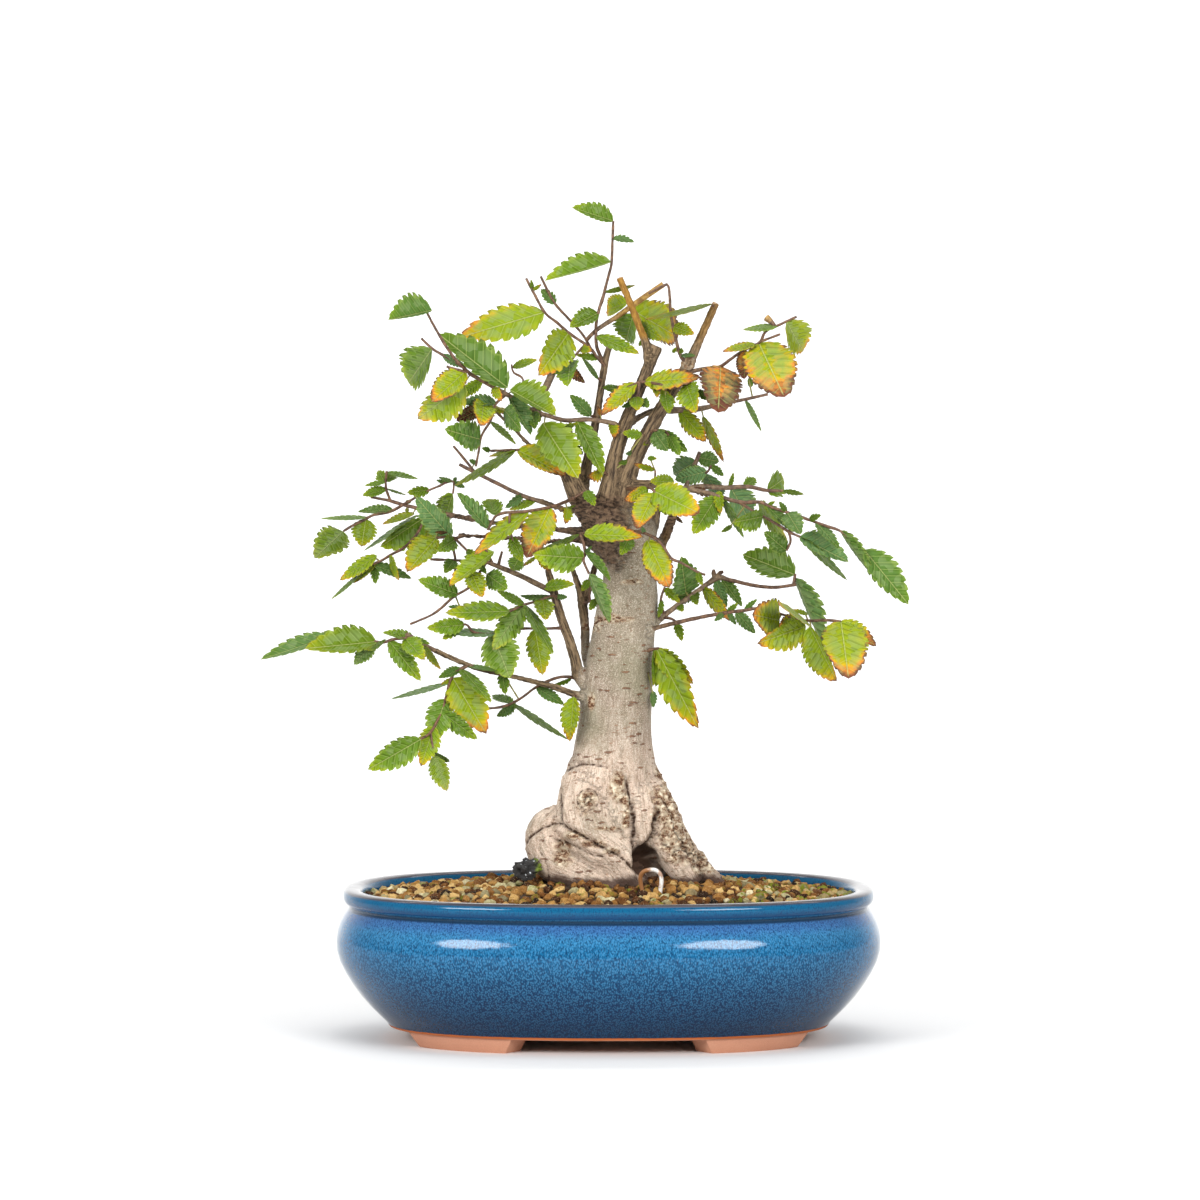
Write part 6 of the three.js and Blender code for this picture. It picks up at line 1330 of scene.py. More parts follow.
        (-79, 231.5, -98.5, 237, 3.5, 5.5, 0.25), (-66, 244, -63, 240, 1.5, 1.5, 0.2),
        (-75, 222, -83, 223, 1, 1.5, 0.1),
    ]),
    ("shoot_lower_left_side", [
        [(-26, -14, 228, 0.9), (-30, -18, 228.5, 0.8), (-36, -20, 226, 0.8), (-42, -21, 224.5, 0.8),
         (-47, -22, 222.5, 0.7), (-51, -22, 220.7, 0.7)],
    ], [
        (-28, 229.5, -46, 229, 3, 1, 0.05), (-34, 227, -32.5, 215.5, 5, 4.5, 0.4),
        (-43.5, 225, -58, 231.5, 2, 2, 0.25), (-51, 220.7, -84.5, 219.8, 4, 5, 0.4),
        (-43.5, 223, -60, 200.5, 6, 5.5, 0.35, 1), (-42, 222, -28.7, 198.3, 3, 2.5, 0.25),
        (-27, 229.5, -21, 228, 1.5, 1.5, 0.1),
    ]),
    ("shoot_lower_left_tip", [
        [(-30.5, -15, 240, 1.3), (-33, -17, 245, 0.9), (-37, -19, 249, 0.7)],
    ], [
        (-37, 249, -45, 243.5, 1, 1, 0.8), (-37, 247.5, -30, 241.5, 1.5, 2, 0.75),
    ]),
    ("shoot_lower_left_back", [
        [(-13, 8, 225, 0.9), (-9, 3, 226, 0.7), (-6, 2, 227, 0.7)],
        [(-9.5, 3.5, 226, 0.7), (-10, 2, 231, 0.6), (-10, 2, 237, 0.6)],
    ], [
        (-10, 237, -14, 231, 2, 2, 0.4), (-6, 226, -10, 221, 2, 2, 0.3),
    ]),
    ("shoot_lower_left_low", [
        [(-23, -12, 212, 1), (-33, -15, 211.7, 0.8), (-46, -18, 211.5, 0.8), (-58, -20, 209, 0.8),
         (-69, -22, 209.5, 0.8), (-73, -23, 213.5, 0.7), (-77, -23, 214, 0.7)],
    ], [
        (-38, 210.5, -34, 187.5, 6, 5.5, 0.45), (-60, 207.5, -51, 186, 9, 9, 0.25, 1),
        (-57, 211, -86, 209.5, 1.5, 2, 0.05), (-74, 216, -94, 212, 4, 4, 0.35),
        (-77, 212, -86, 206, 3, 2, 0.35),
    ]),
    # along the lowest branch to the left
    ("shoot_lowest_foot", [
        [(-17, -10, 177.2, 1), (-18, -13, 176.5, 0.7)],
    ], [
        (-18, 176, -20, 153, 3.5, 5.5, 0.55),
    ]),
    ("shoot_lowest_thin", [
        [(-12, -2, 185, 1.2), (-15.5, -3, 185.6, 1.1), (-22, -5, 186.8, 0.9), (-29, -7, 185.5, 0.9),
         (-38, -9, 181, 0.8), (-44, -14, 176.5, 0.8), (-50, -18, 173, 0.8), (-56, -21, 171, 0.7),
         (-62, -22, 170.4, 0.7)],
    ], [
        (-36.5, 179.8, -23, 172.3, 3, 2.5, 0.15), (-50, 172.5, -20.5, 154, 2.2, 2.2, 0.2),
        (-50, 173, -60, 177.5, 1.5, 2.5, 0.2), (-47, 172, -58, 166, 3.5, 1.5, 0.15),
        (-19, 186, -29, 182.5, 2, 0.5, 0.3), (-55, 190, -53.3, 177.5, 2.8, 2.8, 0.25),
    ]),
    ("shoot_lowest_drop", [
        [(-72, -26, 193, 1.1), (-79, -27, 189, 0.9), (-82, -29, 184, 0.8), (-84, -32, 176, 0.8),
         (-87, -36, 167, 0.8), (-92, -41, 158, 0.8), (-97, -45, 154.5, 0.7)],
        [(-92, -41, 158, 0.7), (-91, -42, 151, 0.7), (-90, -42, 146, 0.6)],
    ], [
        (-80, 186, -63, 157, 9, 8, 0.54), (-83, 175, -91.5, 153, 6.5, 6.5, 0.3),
        (-84, 168, -67.7, 154.5, 4, 4.5, 0.3), (-88, 160, -97, 140.5, 5.5, 5, 0.5),
        (-98, 155, -124.5, 138.7, 7, 6, 0.3), (-90, 145, -83.5, 127.5, 4, 5, 0.4, 1),
        (-90, 148, -82.3, 142.5, 1.5, 3, 0.2), (-76, 191, -88, 186, 1.5, 3, 0.2),
        (-84, 184, -113, 175, 0.9, 1.2, 0.15), (-76, 191.5, -61, 173.5, 3, 2.5, 0.3),
        (-81, 186, -87.5, 181.5, 1.2, 1.2, 0.7), (-73, 192, -57, 189.5, 1.5, 0.5, 0.15),
    ]),
    ("shoot_lowest_end", [
        [(-88, -29.8, 199.5, 1.3), (-95, -32, 203, 1.3), (-104.5, -35, 208.7, 1.4)],
        [(-101, -34, 206.5, 0.9), (-106, -36, 206.5, 0.8), (-112, -37, 206, 0.8), (-117, -38, 204.5, 0.8),
         (-128, -37, 206.5, 0.7), (-136, -37, 208, 0.7), (-143, -37, 208, 0.7)],
    ], [
        (-143, 208, -180, 195.5, 1.5, 5, 0.15), (-119.5, 206.5, -157.5, 201.3, 3.5, 9, 0.3),
        (-121, 204.5, -131.5, 193, 4, 4, 0.15, 1), (-115.5, 205, -125, 201, 2, 1.5, 0.35),
        (-99, 206.5, -117, 209.5, 0.7, 3.5, 0.25), (-113, 204, -97, 184.5, 4.5, 4, 0.3),
        (-105, 206, -95, 195.5, 5, 4, 0.4), (-96, 202.5, -86.5, 190.5, 1.5, 2.5, 0.5),
        (-101, 207.5, -92, 203.5, 1.5, 1, 0.25),
    ]),
    # in front of the whorl of limbs
    ("shoot_front_left", [
        [(-15, -5, 279.5, 1.4), (-19, -13, 278.5, 1.2), (-24, -19, 276.5, 1), (-30, -24, 274.5, 0.9),
         (-41, -29, 272.5, 0.9), (-48, -30, 272, 0.9), (-54, -29, 271.5, 0.8), (-58, -28, 270, 0.8),
         (-60, -28, 267, 0.8), (-62.5, -28, 262.5, 0.7)],
        [(-51, -29.5, 271.7, 0.8), (-51, -30, 265, 0.7), (-50, -30, 259.5, 0.7), (-46, -30, 248.5, 0.6)],
        [(-19, -13, 278.5, 0.8), (-15, -14, 281, 0.7), (-12, -14, 283, 0.6)],
    ], [
        (-41, 272, -69.5, 249.7, 3, 5, 0.6), (-30, 273.5, -42.5, 248, 6.5, 8, 0.75),
        (-50, 259.5, -44, 246, 2.5, 4, 0.3), (-46, 248.5, -50, 241.5, 4, 4, 0.3),
        (-58.5, 270.5, -62, 279, 4, 5, 0.35, 1), (-62.5, 263.5, -78.5, 282, 2, 5, 0.1),
        (-21, 274, -22.5, 265.5, 3, 2, 0.65), (-12, 283, -7, 275, 3, 2.5, 0.3),
        (-14, 275, -25.5, 273.5, 1.3, 1, 0.5),
    ]),
    ("shoot_front_low", [
        [(-3, -12, 262, 1.3), (-6, -20, 262, 1), (-10, -26, 261, 0.9), (-14.5, -30, 260.5, 0.8),
         (-13, -32, 256, 0.8), (-12, -33, 250, 0.8), (-13, -34, 247, 0.8), (-10, -34, 240, 0.7)],
    ], [
        (-13, 260.5, 18, 259, 5.5, 3, 0.6), (-13.5, 248.5, -39, 250, 7.5, 6.5, 0.35),
        (-15.5, 261, -40, 250, 2, 1.5, 0.4), (-11, 252, 1, 236, 3.5, 0.8, 0.15),
        (-9, 240, 0.5, 214.5, 5.5, 2, 0.1, 1), (-10, 251, -8.5, 254.5, 1, 1, 0.1),
    ]),
    ("shoot_front_right", [
        [(9, -12, 258, 1.2), (11, -18, 260, 1), (14, -23, 262, 0.9), (21, -27, 260, 0.9),
         (27, -29, 256, 0.8), (32.5, -30, 248, 0.8), (37, -30, 246, 0.8), (46, -30, 241, 0.7),
         (50, -30, 239.5, 0.7)],
    ], [
        (20, 257.5, 31.5, 233, 6.5, 6.5, 0.65), (12, 259, 6, 250, 4, 3.5, 0.3),
        (46, 241, 48.5, 234, 1.5, 2, 0.35), (19, 261, 17, 264.5, 1, 1, 0.05),
    ]),
    ("shoot_front_middle", [
        [(9, -7, 284, 1.2), (12, -14, 284, 1), (16, -21, 284, 0.9), (22.5, -28, 284, 0.9),
         (26, -29, 277, 0.7)],
    ], [
        (20.5, 284.5, 8, 278, 3.5, 3, 0.7), (23, 281.5, 14.5, 263, 4.5, 6.5, 0.65),
        (23, 283, 46.5, 271.5, 8, 7, 0.55), (26, 276, 30, 270, 2, 1.5, 0.4),
    ]),
    ("shoot_middle_left", [
        [(0, -9, 291, 0.9), (-3.5, -12, 293, 0.7)],
    ], [
        (-3, 293, -11, 290, 4, 2, 0.8), (10, 298.5, 5, 297, 1.5, 1, 0.2),
    ]),
    # along the branches to the right
    ("shoot_right_back", [
        [(35, 16, 273, 1.8), (40, 19, 285, 1.5), (46, 22, 300, 1.2), (47, 22, 303, 1)],
        [(43, 20.5, 293, 0.8), (50, 18, 292, 0.7), (53, 17, 296, 0.7)],
    ], [
        (46, 298, 33, 291, 6, 6, 0.05), (51, 293, 34, 288.5, 4.5, 4.5, 0.05), (47, 300, 57, 298, 4, 4, 0.1),
        (53, 297, 59.5, 290.5, 2, 2, 0.15), (50, 291, 58.5, 279, 4, 4, 0.05),
        (34, 270, 38.5, 266, 1, 1, 0.95),
    ]),
    ("shoot_right_middle", [
        [(32, 14, 282, 2), (47, 18, 285, 1.6), (60, 20, 284.5, 1.4), (72, 22, 285, 1.2), (82, 24, 283, 1),
         (90, 25, 283, 0.7)],
    ], [
        (63, 287, 72.5, 268, 8, 6, 0.05), (62, 287, 64.5, 292.5, 1, 1.5, 0.35),
        (70, 286, 76, 289.5, 3, 2.5, 0.25), (82, 284, 90, 289, 5.5, 6.5, 0.3),
        (90, 283, 101, 281, 1.5, 1.5, 0.3), (43, 284, 55, 280, 2, 2, 1),
    ]),
    ("shoot_right_front", [
        [(20, -12.5, 286.3, 1.9), (28, -16, 285.4, 1.7), (38, -20, 284, 1.5), (50, -23, 282, 1.4),
         (58, -25, 279.7, 1.3), (68, -27, 277, 1.1), (78, -29, 277, 1), (84, -30, 274.5, 0.9),
         (90, -31, 272.5, 0.9), (99, -33, 269.5, 0.9), (106, -34, 267, 0.8), (113, -36, 264.5, 0.8),
         (119.5, -38, 262.2, 0.8), (126, -39, 257, 0.7), (132, -40, 252.5, 0.7)],
        [(67, -26.8, 277.3, 0.9), (75, -28, 272.3, 0.8), (82, -30, 268.5, 0.8), (88, -31, 265, 0.8),
         (93, -32, 261.8, 0.8), (99, -33, 259, 0.7)],
        [(93, -32, 261.8, 0.7), (94, -31, 257, 0.7), (92, -30, 252, 0.6)],
        [(23, -13.5, 286, 0.8), (24, -15, 290, 0.7), (24, -15, 293.5, 0.6)],
    ], [
        (24, 293.5, 12.8, 297, 1.8, 1.6, 0.7), (34, 287.5, 21, 288, 3, 3.5, 0.4),
        (57, 283, 58, 271, 2, 3, 0.5), (56, 279.5, 43.5, 260.5, 6, 6, 0.35),
        (58, 277, 70, 258.3, 2, 2, 0.2), (80, 270, 64, 266.5, 6, 4, 0.25),
        (77, 275, 93, 255.5, 3.5, 3.5, 0.45, 1), (81, 274.5, 95, 261.5, 3.5, 1.5, 0.15),
        (92, 271, 99.5, 260, 5, 4.5, 0.05), (92, 272, 88, 277.5, 1.5, 1.5, 0.15),
        (98.5, 259, 124, 246, 7.5, 3, 0.05), (100, 258, 123.5, 236.5, 2.5, 2, 0.15, 1),
        (92, 252, 80, 262, 4, 4.5, 0.1), (104, 269, 110, 270.5, 2, 1.5, 0.2),
        (107, 266, 119, 253, 3, 2, 0.15), (120, 263.5, 137, 238.5, 4.5, 1, 0.15, 1),
        (132, 252.5, 155, 224, 8, 5.5, 0.15), (20, 299.5, 25, 299.5, 1.5, 1, 0.45),
        (64, 265, 58, 261.5, 1.3, 1.2, 0.3), (82, 275, 86, 277.5, 1, 1, 0.4),
    ]),
    ("shoot_lower_right_upper", [
        [(26, -1.5, 216.2, 1.9), (32, 0, 221, 1.6), (41, 2, 227.5, 1.5), (50, 4, 234, 1.5),
         (56.5, 5, 238, 1.9), (62, 6, 237, 1.2), (75, 8, 234, 1.1), (86, 9, 233, 1), (97, 10, 234.5, 1)],
        [(95.5, 10, 234, 0.9), (96.5, 10, 240, 0.8)],
        [(55.5, 5, 237, 1.7), (54.4, 4, 240, 1.4), (54.2, 3, 242, 0.9)],
        [(56, 5, 238, 1.7), (57.6, 4, 240.5, 1.3), (59, 3, 241, 0.9)],
        [(28, -1.5, 217.5, 0.9), (32.5, -4, 216.8, 0.8), (35, -5, 215, 0.7)],
        [(29, -1, 218.7, 0.9), (27, -4, 224, 0.8), (27.5, -6, 229, 0.7), (29, -6, 233, 0.7)],
    ], [
        (34.5, 215, 38, 205, 2.5, 2, 0.3), (26.5, 227, 25.5, 217, 2, 1, 0.3),
        (36, 224.5, 38.5, 220.5, 2, 2, 0.4), (29, 232.5, 37, 225, 2.5, 2, 0.4),
        (40, 230, 37.5, 248.5, 6, 8, 0.15), (43, 231.5, 33, 228, 4, 3, 0.1),
        (45, 230, 46, 223.5, 2, 3, 0.3), (50, 231, 63.5, 215.5, 3.5, 3.5, 0.7),
        (56, 235, 61, 222.5, 3, 3, 0.1), (58, 236, 69, 223, 3.5, 2, 0.1),
        (97, 238, 111, 202, 7.5, 1, 0.15, 1), (96, 239.5, 69.5, 250, 5.5, 9, 0.15),
    ]),
    ("shoot_lower_right_lower", [
        [(21, -8.5, 210.8, 1.5), (28, -11, 213, 1.3), (35, -14, 214.7, 1.2), (45, -18, 217, 1.1),
         (60, -24, 219.8, 1), (70, -28, 221, 1), (77, -31, 222, 0.9), (88, -35, 219.5, 0.8),
         (101, -40, 216, 0.8), (113, -44, 216, 0.8), (120, -47, 215.3, 0.7)],
    ], [
        (60, 219, 54.5, 215.5, 1.5, 1.5, 0.1), (62, 218.5, 66, 213.5, 1.5, 1.5, 0.1),
        (66, 219, 76, 209, 3, 3, 0.05), (61, 221.5, 67, 225, 1.5, 1.5, 0.3),
        (70, 222, 77, 227, 1.5, 1, 0.2), (88.5, 216, 74, 219, 8, 9.5, 0.6),
        (102, 213, 76.5, 204, 8, 5, 0.53), (101, 215, 88, 212, 1, 5, 0.6),
        (102, 217, 87, 224.5, 1.2, 1.5, 0.55), (104, 213, 118, 184.5, 2, 9, 0.56),
        (120.5, 214, 124, 186, 11, 10, 0.65), (119.5, 215.5, 138.5, 202.5, 5, 3, 0.75),
        (103, 219, 95, 221.5, 1, 1.3, 0.5),
    ]),
    ("shoot_trunk_right", [
        [(17, -8, 199.5, 1.2), (23, -11, 201, 1), (26, -13, 201.5, 0.8)],
    ], [
        (24, 201, 44, 183, 5, 6, 0.53), (25, 200, 46.5, 160, 6.5, 8.5, 0.54),
        (23.5, 201, 23, 181.5, 2.5, 1, 0.4), (23, 179.5, 23, 170.5, 2, 1.5, 0.05),
    ]),
]


def leaf_blade(name, teeth, depth, lean, blunt):
    """A flat blade that is bent later: t is the share along the rib, w the share out to the margin,
    and face is 1 on the upper side and -1 on the lower. Both sides share the toothed margin. A lower
    lean sets the widest place nearer to the base, and a lower blunt makes the outline fuller."""
    points = []
    rims = []
    faces = []

    def add(x, y, z, rim=0.0):
        points.append((x, y, z))
        rims.append(rim)
        return len(points) - 1

    def outline(t):
        return max(math.sin(math.pi * t ** lean), 0) ** blunt

    start = add(0, 0, 0, 0.4)
    apex = add(1, 0, 0, 1)
    pitch = 1 / (teeth + PITCHES_LEFT)
    upper_rib = [start] + [add((i + 1) * pitch, 0, 1) for i in range(teeth)] + [apex]
    lower_rib = [start] + [add((i + 1) * pitch, 0, -1) for i in range(teeth)] + [apex]
    for side in (1, -1):
        margin = [start]
        middle = [start]
        for i in range(teeth):
            bulge = (i + TOOTH_BULGE) * pitch
            tip = (i + TOOTH_TIP) * pitch
            notch = (i + TOOTH_NOTCH) * pitch
            reach = 1 + TOOTH_REACHES * depth
            margin.append(add(bulge, side * outline(bulge) * TOOTH_SWELLS, 0, 1))
            margin.append(add(tip + TOOTH_FORWARD, side * outline(tip) * reach, 0, 1))
            margin.append(add(notch, side * outline(notch) * (1 - depth), 0, 1))
            middle.append(add(tip, side * outline(tip) * 0.5, 1, 0.5))
        margin.append(apex)
        middle.append(apex)
        for i in range(teeth):
            edge = margin[3 * i:3 * i + 4]
            faces.append((upper_rib[i], middle[i], middle[i + 1], upper_rib[i + 1]))
            faces.append((middle[i], edge[0], edge[1]))
            faces.append((middle[i], edge[1], edge[2], edge[3], middle[i + 1]))
            faces.append((lower_rib[i], *edge, lower_rib[i + 1]))
        faces.append((upper_rib[teeth], middle[teeth], apex))
        faces.append((middle[teeth], margin[3 * teeth], apex))
        faces.append((lower_rib[teeth], margin[3 * teeth], apex))
    clean = []
    for face in faces:
        corners = [p for i, p in enumerate(face) if p != face[i - 1]]
        if len(corners) > 2:
            clean.append(corners)
    blade = mesh_object(name, points, clean)
    for axis, label in enumerate(("t", "w", "face")):
        carry(blade, label, [p[axis] for p in points])
    carry(blade, "rim", rims)
    return blade


large_blade = leaf_blade("large_blade", LEAF_TEETH, depth=0.16, lean=0.78, blunt=0.8)
small_blade = leaf_blade("small_blade", SMALL_LEAF_TEETH, depth=0.24, lean=0.78, blunt=0.8)
round_blade = leaf_blade("round_blade", ROUND_LEAF_TEETH, depth=0.1, lean=0.86, blunt=0.62)

given, end = new_tree("shoot", [
    ("Large Blade", "Object"), ("Small Blade", "Object"), ("Round Blade", "Object"), ("Bow", "Float"),
    ("Thickness", "Float"), ("Twig Sides", "Int"), ("Twig Step", "Float"), ("Bark", "Material"),
    ("Leaf", "Material"),
])
own = given["Geometry"]
twigs = tube_along(own, given["Twig Sides"], read(own, "girth"), given["Twig Step"])
swell = twigs.node("GeometryNodeInputPosition").speckle(330)
outward = twigs.node("GeometryNodeInputNormal")
values = {"Geometry": twigs, "Offset": outward * (swell - 0.5) * (TWIG_KNUCKLES * MM)}
twigs = twigs.node("GeometryNodeSetPosition", None, values)
twigs = twigs.node("GeometryNodeSetMaterial", None, {"Geometry": twigs, "Material": given["Bark"]})


def blades_on(points, is_here, blade):
    """One blade on each chosen point, as plain mesh that keeps the point's numbers."""
    model = points.node("GeometryNodeObjectInfo", None, {"Object": blade}, 4)
    values = {"Points": points, "Selection": is_here, "Instance": model}
    laid = points.node("GeometryNodeInstanceOnPoints", None, values)
    return laid.node("GeometryNodeRealizeInstances", None, {0: laid})


def joined(shapes):
    """Several shapes as one."""
    whole = shapes[0].node("GeometryNodeJoinGeometry")
    for shape in shapes:
        whole.tree.links.new(shape.socket, whole.socket.node.inputs[0])
    return whole


blades = []
for kind, label in enumerate(("Large Blade", "Small Blade", "Round Blade"), 1):
    values = {"A": read(own, "leaf"), "B": float(kind)}
    is_here = own.node("FunctionNodeCompare", {"operation": "EQUAL"}, values)
    blades.append(blades_on(own, is_here, given[label]))
flat = joined(blades)
rib, across, up, base = (read(flat, name, "FLOAT_VECTOR") for name in ("rib", "across", "up", "base"))
length, half, fold, roll = (read(flat, name) for name in ("length", "half", "fold", "roll"))
t, w, face, wave = (read(flat, name) for name in ("t", "w", "face", "wave"))
side = w.through("SIGN")
out = w.through("ABSOLUTE")
turn = fold + side * roll
sideways = across * (side * turn.through("COSINE")) + up * turn.through("SINE")
arch = given["Bow"] * length * t * (1 - t)
ripple = (t * BLADE_RIPPLES + wave * 6.283 + side).through("SINE") * out * length * BLADE_RIPPLE
cup = (out * (1 - out)) * half * (BLADE_CUP + wave * BLADE_CUP_VARIES)
droop = (t ** 3.0) * length * (wave - 0.5) * BLADE_DROOP
lift = arch + ripple + droop
thick = (1 - out * BLADE_THINS) * (face * 0.5) * given["Thickness"]
place = base + rib * (t * length) + up * lift + sideways * (out * half) - up * cup + up * thick
leaves = flat.node("GeometryNodeSetPosition", None, {"Geometry": flat, "Position": place})
leaves = sharp_over(leaves, angle=1.3)
leaves = leaves.node("GeometryNodeSetMaterial", None, {"Geometry": leaves, "Material": given["Leaf"]})
plain = joined([twigs, leaves])
plain = plain.node("GeometryNodeRealizeInstances", None, {0: plain})
plain = plain.node("GeometryNodeSetShadeSmooth", None, {"Geometry": plain})
shoot_tree = end(plain)

place, finish = new_material("leaf", IOR=1.2)
t = place.own("t")
w = place.own("w")
out = w.through("ABSOLUTE")
wave = place.own("wave")
autumn = place.own("autumn")
patches = place.speckle(210, 4, 0.65)
# a vein runs out to each tooth, at a slant, with a furrow beside it that is darkened as painted shade
veins_at = (t - out * 0.2) * (LEAF_TEETH + PITCHES_LEFT)
vein = (veins_at.through("FRACT") - 0.5).through("ABSOLUTE")
vein_ridge = vein.share(0.1, 0.5)
vein_side = vein.share(0.2, 0.42)
vein = vein.share(0.43, 0.49)
rib_line = 1 - out.share(0.012, 0.045)
rim = place.own("rim")
# leaves turn from their edge and tip inwards, and unevenly
uneven = place.speckle(75, 2).share(0.36, 0.62) * 0.75 + t.share(0.3, 0.9) * 0.5
edge = rim.share(0.45, 1.0) * (patches * 0.8 + 0.05) * uneven + t.share(0.6, 0.98) * 0.62
late = autumn ** 1.4
turning = autumn * 0.5 + autumn.share(0.8, 0.98) * 0.5 + edge * late * 1.25 + (patches - 0.5) * late * 0.55
turning = turning + (patches + t * 0.3 - 0.6) * autumn.share(0.62, 0.78) * 0.6 + (wave - 0.5) * 0.06
green_to_brown = turning.ramp(
    (0.0, (0.104, 0.196, 0.070)), (0.085, (0.074, 0.148, 0.020)), (0.18, (0.120, 0.205, 0.010)),
    (0.3, (0.225, 0.295, 0.008)), (0.42, (0.31, 0.32, 0.008)), (0.54, (0.48, 0.335, 0.010)),
    (0.66, (0.60, 0.215, 0.030)), (0.8, (0.40, 0.155, 0.035)), (1.0, (0.12, 0.042, 0.025)),
)
olive = green_to_brown.vector("MULTIPLY", {0: green_to_brown, 1: (0.74, 0.68, 0.6)})
green_to_brown = (wave.share(0.45, 1.0) * 0.6 * (1 - autumn.share(0.5, 0.7))).mixed(green_to_brown, olive)
# painted shade in the furrow beside each vein
furrow_shade = green_to_brown.vector("MULTIPLY", {0: green_to_brown, 1: (0.62, 0.66, 0.6)})
green_to_brown = (vein_side * 0.24).mixed(green_to_brown, furrow_shade)
# a thin pale rim on green leaves: a painted highlight along their edges
pale_rim_highlight = rim.share(0.84, 1.0) * 0.35 * (1 - autumn.share(0.4, 0.55))
green_to_brown = pale_rim_highlight.mixed(green_to_brown, (0.30, 0.38, 0.07))
leaf = (vein * 0.45).mixed(green_to_brown, (0.32, 0.40, 0.10))
leaf = (rib_line * 0.6).mixed(leaf, (0.44, 0.48, 0.17))
# dead brown tips and rims, and a paler underside
burnt_tip = (t + out * 0.12 + patches * 0.2 + autumn * 0.12).share(1.1, 1.17) * autumn.share(0.2, 0.45)
leaf = burnt_tip.mixed(leaf, (0.16, 0.055, 0.03))
burnt_rim = (rim + patches * 0.4 + uneven * 0.12).share(1.2, 1.28) * autumn.share(0.54, 0.62)
leaf = (burnt_rim * 0.85).mixed(leaf, (0.10, 0.035, 0.028))
leaf = (patches.share(0.5, 0.75) * 0.22).mixed(leaf, (0.045, 0.10, 0.016))
lower_face = 1 - place.own("face").share(-0.6, 0.4)
pale = leaf.node("ShaderNodeMix", {"data_type": "RGBA"}, {0: 0.35, 6: leaf, 7: (0.22, 0.29, 0.12, 1)}, 2)
leaf = (lower_face * (1 - out.share(0.9, 1.0) * 0.5)).mixed(leaf, pale)
puff = (1 - vein_ridge) * 0.7 - rib_line * 0.6 + patches * 0.25
leaf_look = finish(leaf, 0.44 + patches * 0.16, relief=puff, depth=0.0007)

place, finish = new_material("twig_bark", Roughness=0.6)
stripes = place.speckle(500, 4, 0.7)
girth = place.own("girth") * IN_MM
red_brown = stripes.share(0.35, 0.7).mixed((0.055, 0.026, 0.014), (0.20, 0.10, 0.050))
grey_brown = stripes.share(0.35, 0.7).mixed((0.075, 0.045, 0.026), (0.25, 0.165, 0.09))
twig_colour = girth.share(0.95, 1.4).mixed(red_brown, grey_brown)
golden_end = (place.parts()[2] * IN_MM).share(366, 376) * girth.share(1.2, 1.4)
yellow_brown = stripes.share(0.35, 0.7).mixed((0.22, 0.11, 0.02), (0.45, 0.27, 0.06))
twig_colour = golden_end.mixed(twig_colour, yellow_brown)
stalk = stripes.mixed((0.12, 0.15, 0.03), (0.30, 0.26, 0.06))
twig_colour = place.own("stalk").mixed(twig_colour, stalk)
twig_look = finish(twig_colour, relief=stripes, depth=0.0003)


def scatter(i, j):
    """A repeatable number from 0 to 1 for each pair of numbers."""
    wave = math.sin(i * 127.1 + j * 311.7) * 43758.5453
    return wave - math.floor(wave)


def nearest_twig_place(paths, x, z):
    """The point of a shoot's twigs that lies nearest to a place in the picture plane."""
    best = None
    for path in paths:
        for (ax, ay, az, _), (bx, by, bz, _) in zip(path, path[1:]):
            span = (bx - ax) ** 2 + (bz - az) ** 2
            share = min(max(((x - ax) * (bx - ax) + (z - az) * (bz - az)) / span, 0), 1)
            place = (ax + (bx - ax) * share, ay + (by - ay) * share, az + (bz - az) * share)
            apart = math.hypot(place[0] - x, place[2] - z)
            if best is None or apart < best[0]:
                best = (apart, place)
    return best[1]


def leaf_tip(corners, leaf, depth):
    """Where a leaf's tip is: at the solid's own corner there, or else by the leaf's lean."""
    base_x, base_z, tip_x, tip_z, left, right = leaf[:6]
    near = min(corners, key=lambda c: abs(c[0] - tip_x) + abs(c[1] - tip_z))
    if abs(near[0] - tip_x) + abs(near[1] - tip_z) < SAME_PLACE:
        return near[2]
    flat = math.hypot(tip_x - base_x, tip_z - base_z)
    full = max((left + right) / BLADE_WIDTH_SHARE, flat)
    lean = min(math.sqrt(full ** 2 - flat ** 2), LEAN_LIMIT)
    away = 1 if depth > FRONT_DEPTH else -1
    lean = math.copysign(lean + flat * LEAN_VARIES * scatter(base_x, tip_z), away)
    return seen(tip_x, depth + lean, tip_z)


def leaf_numbers(corners, paths, leaf):
    """The numbers that place and bend one blade, and where its stalk starts."""
    base_x, base_z, tip_x, tip_z, left, right, autumn = leaf[:7]
    underside = len(leaf) > 7
    twig_place = nearest_twig_place(paths, base_x, base_z)
    start = seen(*twig_place)
    neck = seen(base_x, twig_place[1], base_z)
    has_neck = (start - neck).length > STALK_FROM
    base = neck if has_neck else start
    rib = leaf_tip(corners, leaf, twig_place[1]) - base
    length = rib.length
    rib.normalize()
    across = rib.cross(Vector((0, 1, 0))).normalized()
    up = rib.cross(across) * (-1 if underside else 1)
    half = max(BLADE_HALF_SHARE * length, left, right)
    turn_left = math.acos(left / half)
    turn_right = math.acos(right / half)
    is_folded = turn_left + turn_right < FOLD_LIMIT
    total = (turn_left + turn_right) / 2
    apart = (turn_left - turn_right) / 2
    fold = total if is_folded else abs(apart)
    roll = apart if is_folded else math.copysign(total, apart)
    is_round = autumn >= ROUND_FROM_AUTUMN and half > ROUND_FROM_WIDTH * length
    kind = 2.0 if length < SMALL_LEAF else 3.0 if is_round else 1.0
    return {
        "leaf": kind, "base": metres(base), "rib": rib, "across": across,
        "up": up, "length": length * MM, "half": half * TEETH_REACH * MM, "fold": fold, "roll": roll,
        "autumn": autumn, "wave": scatter(tip_x, base_z), "start": start if has_neck else None,
    }


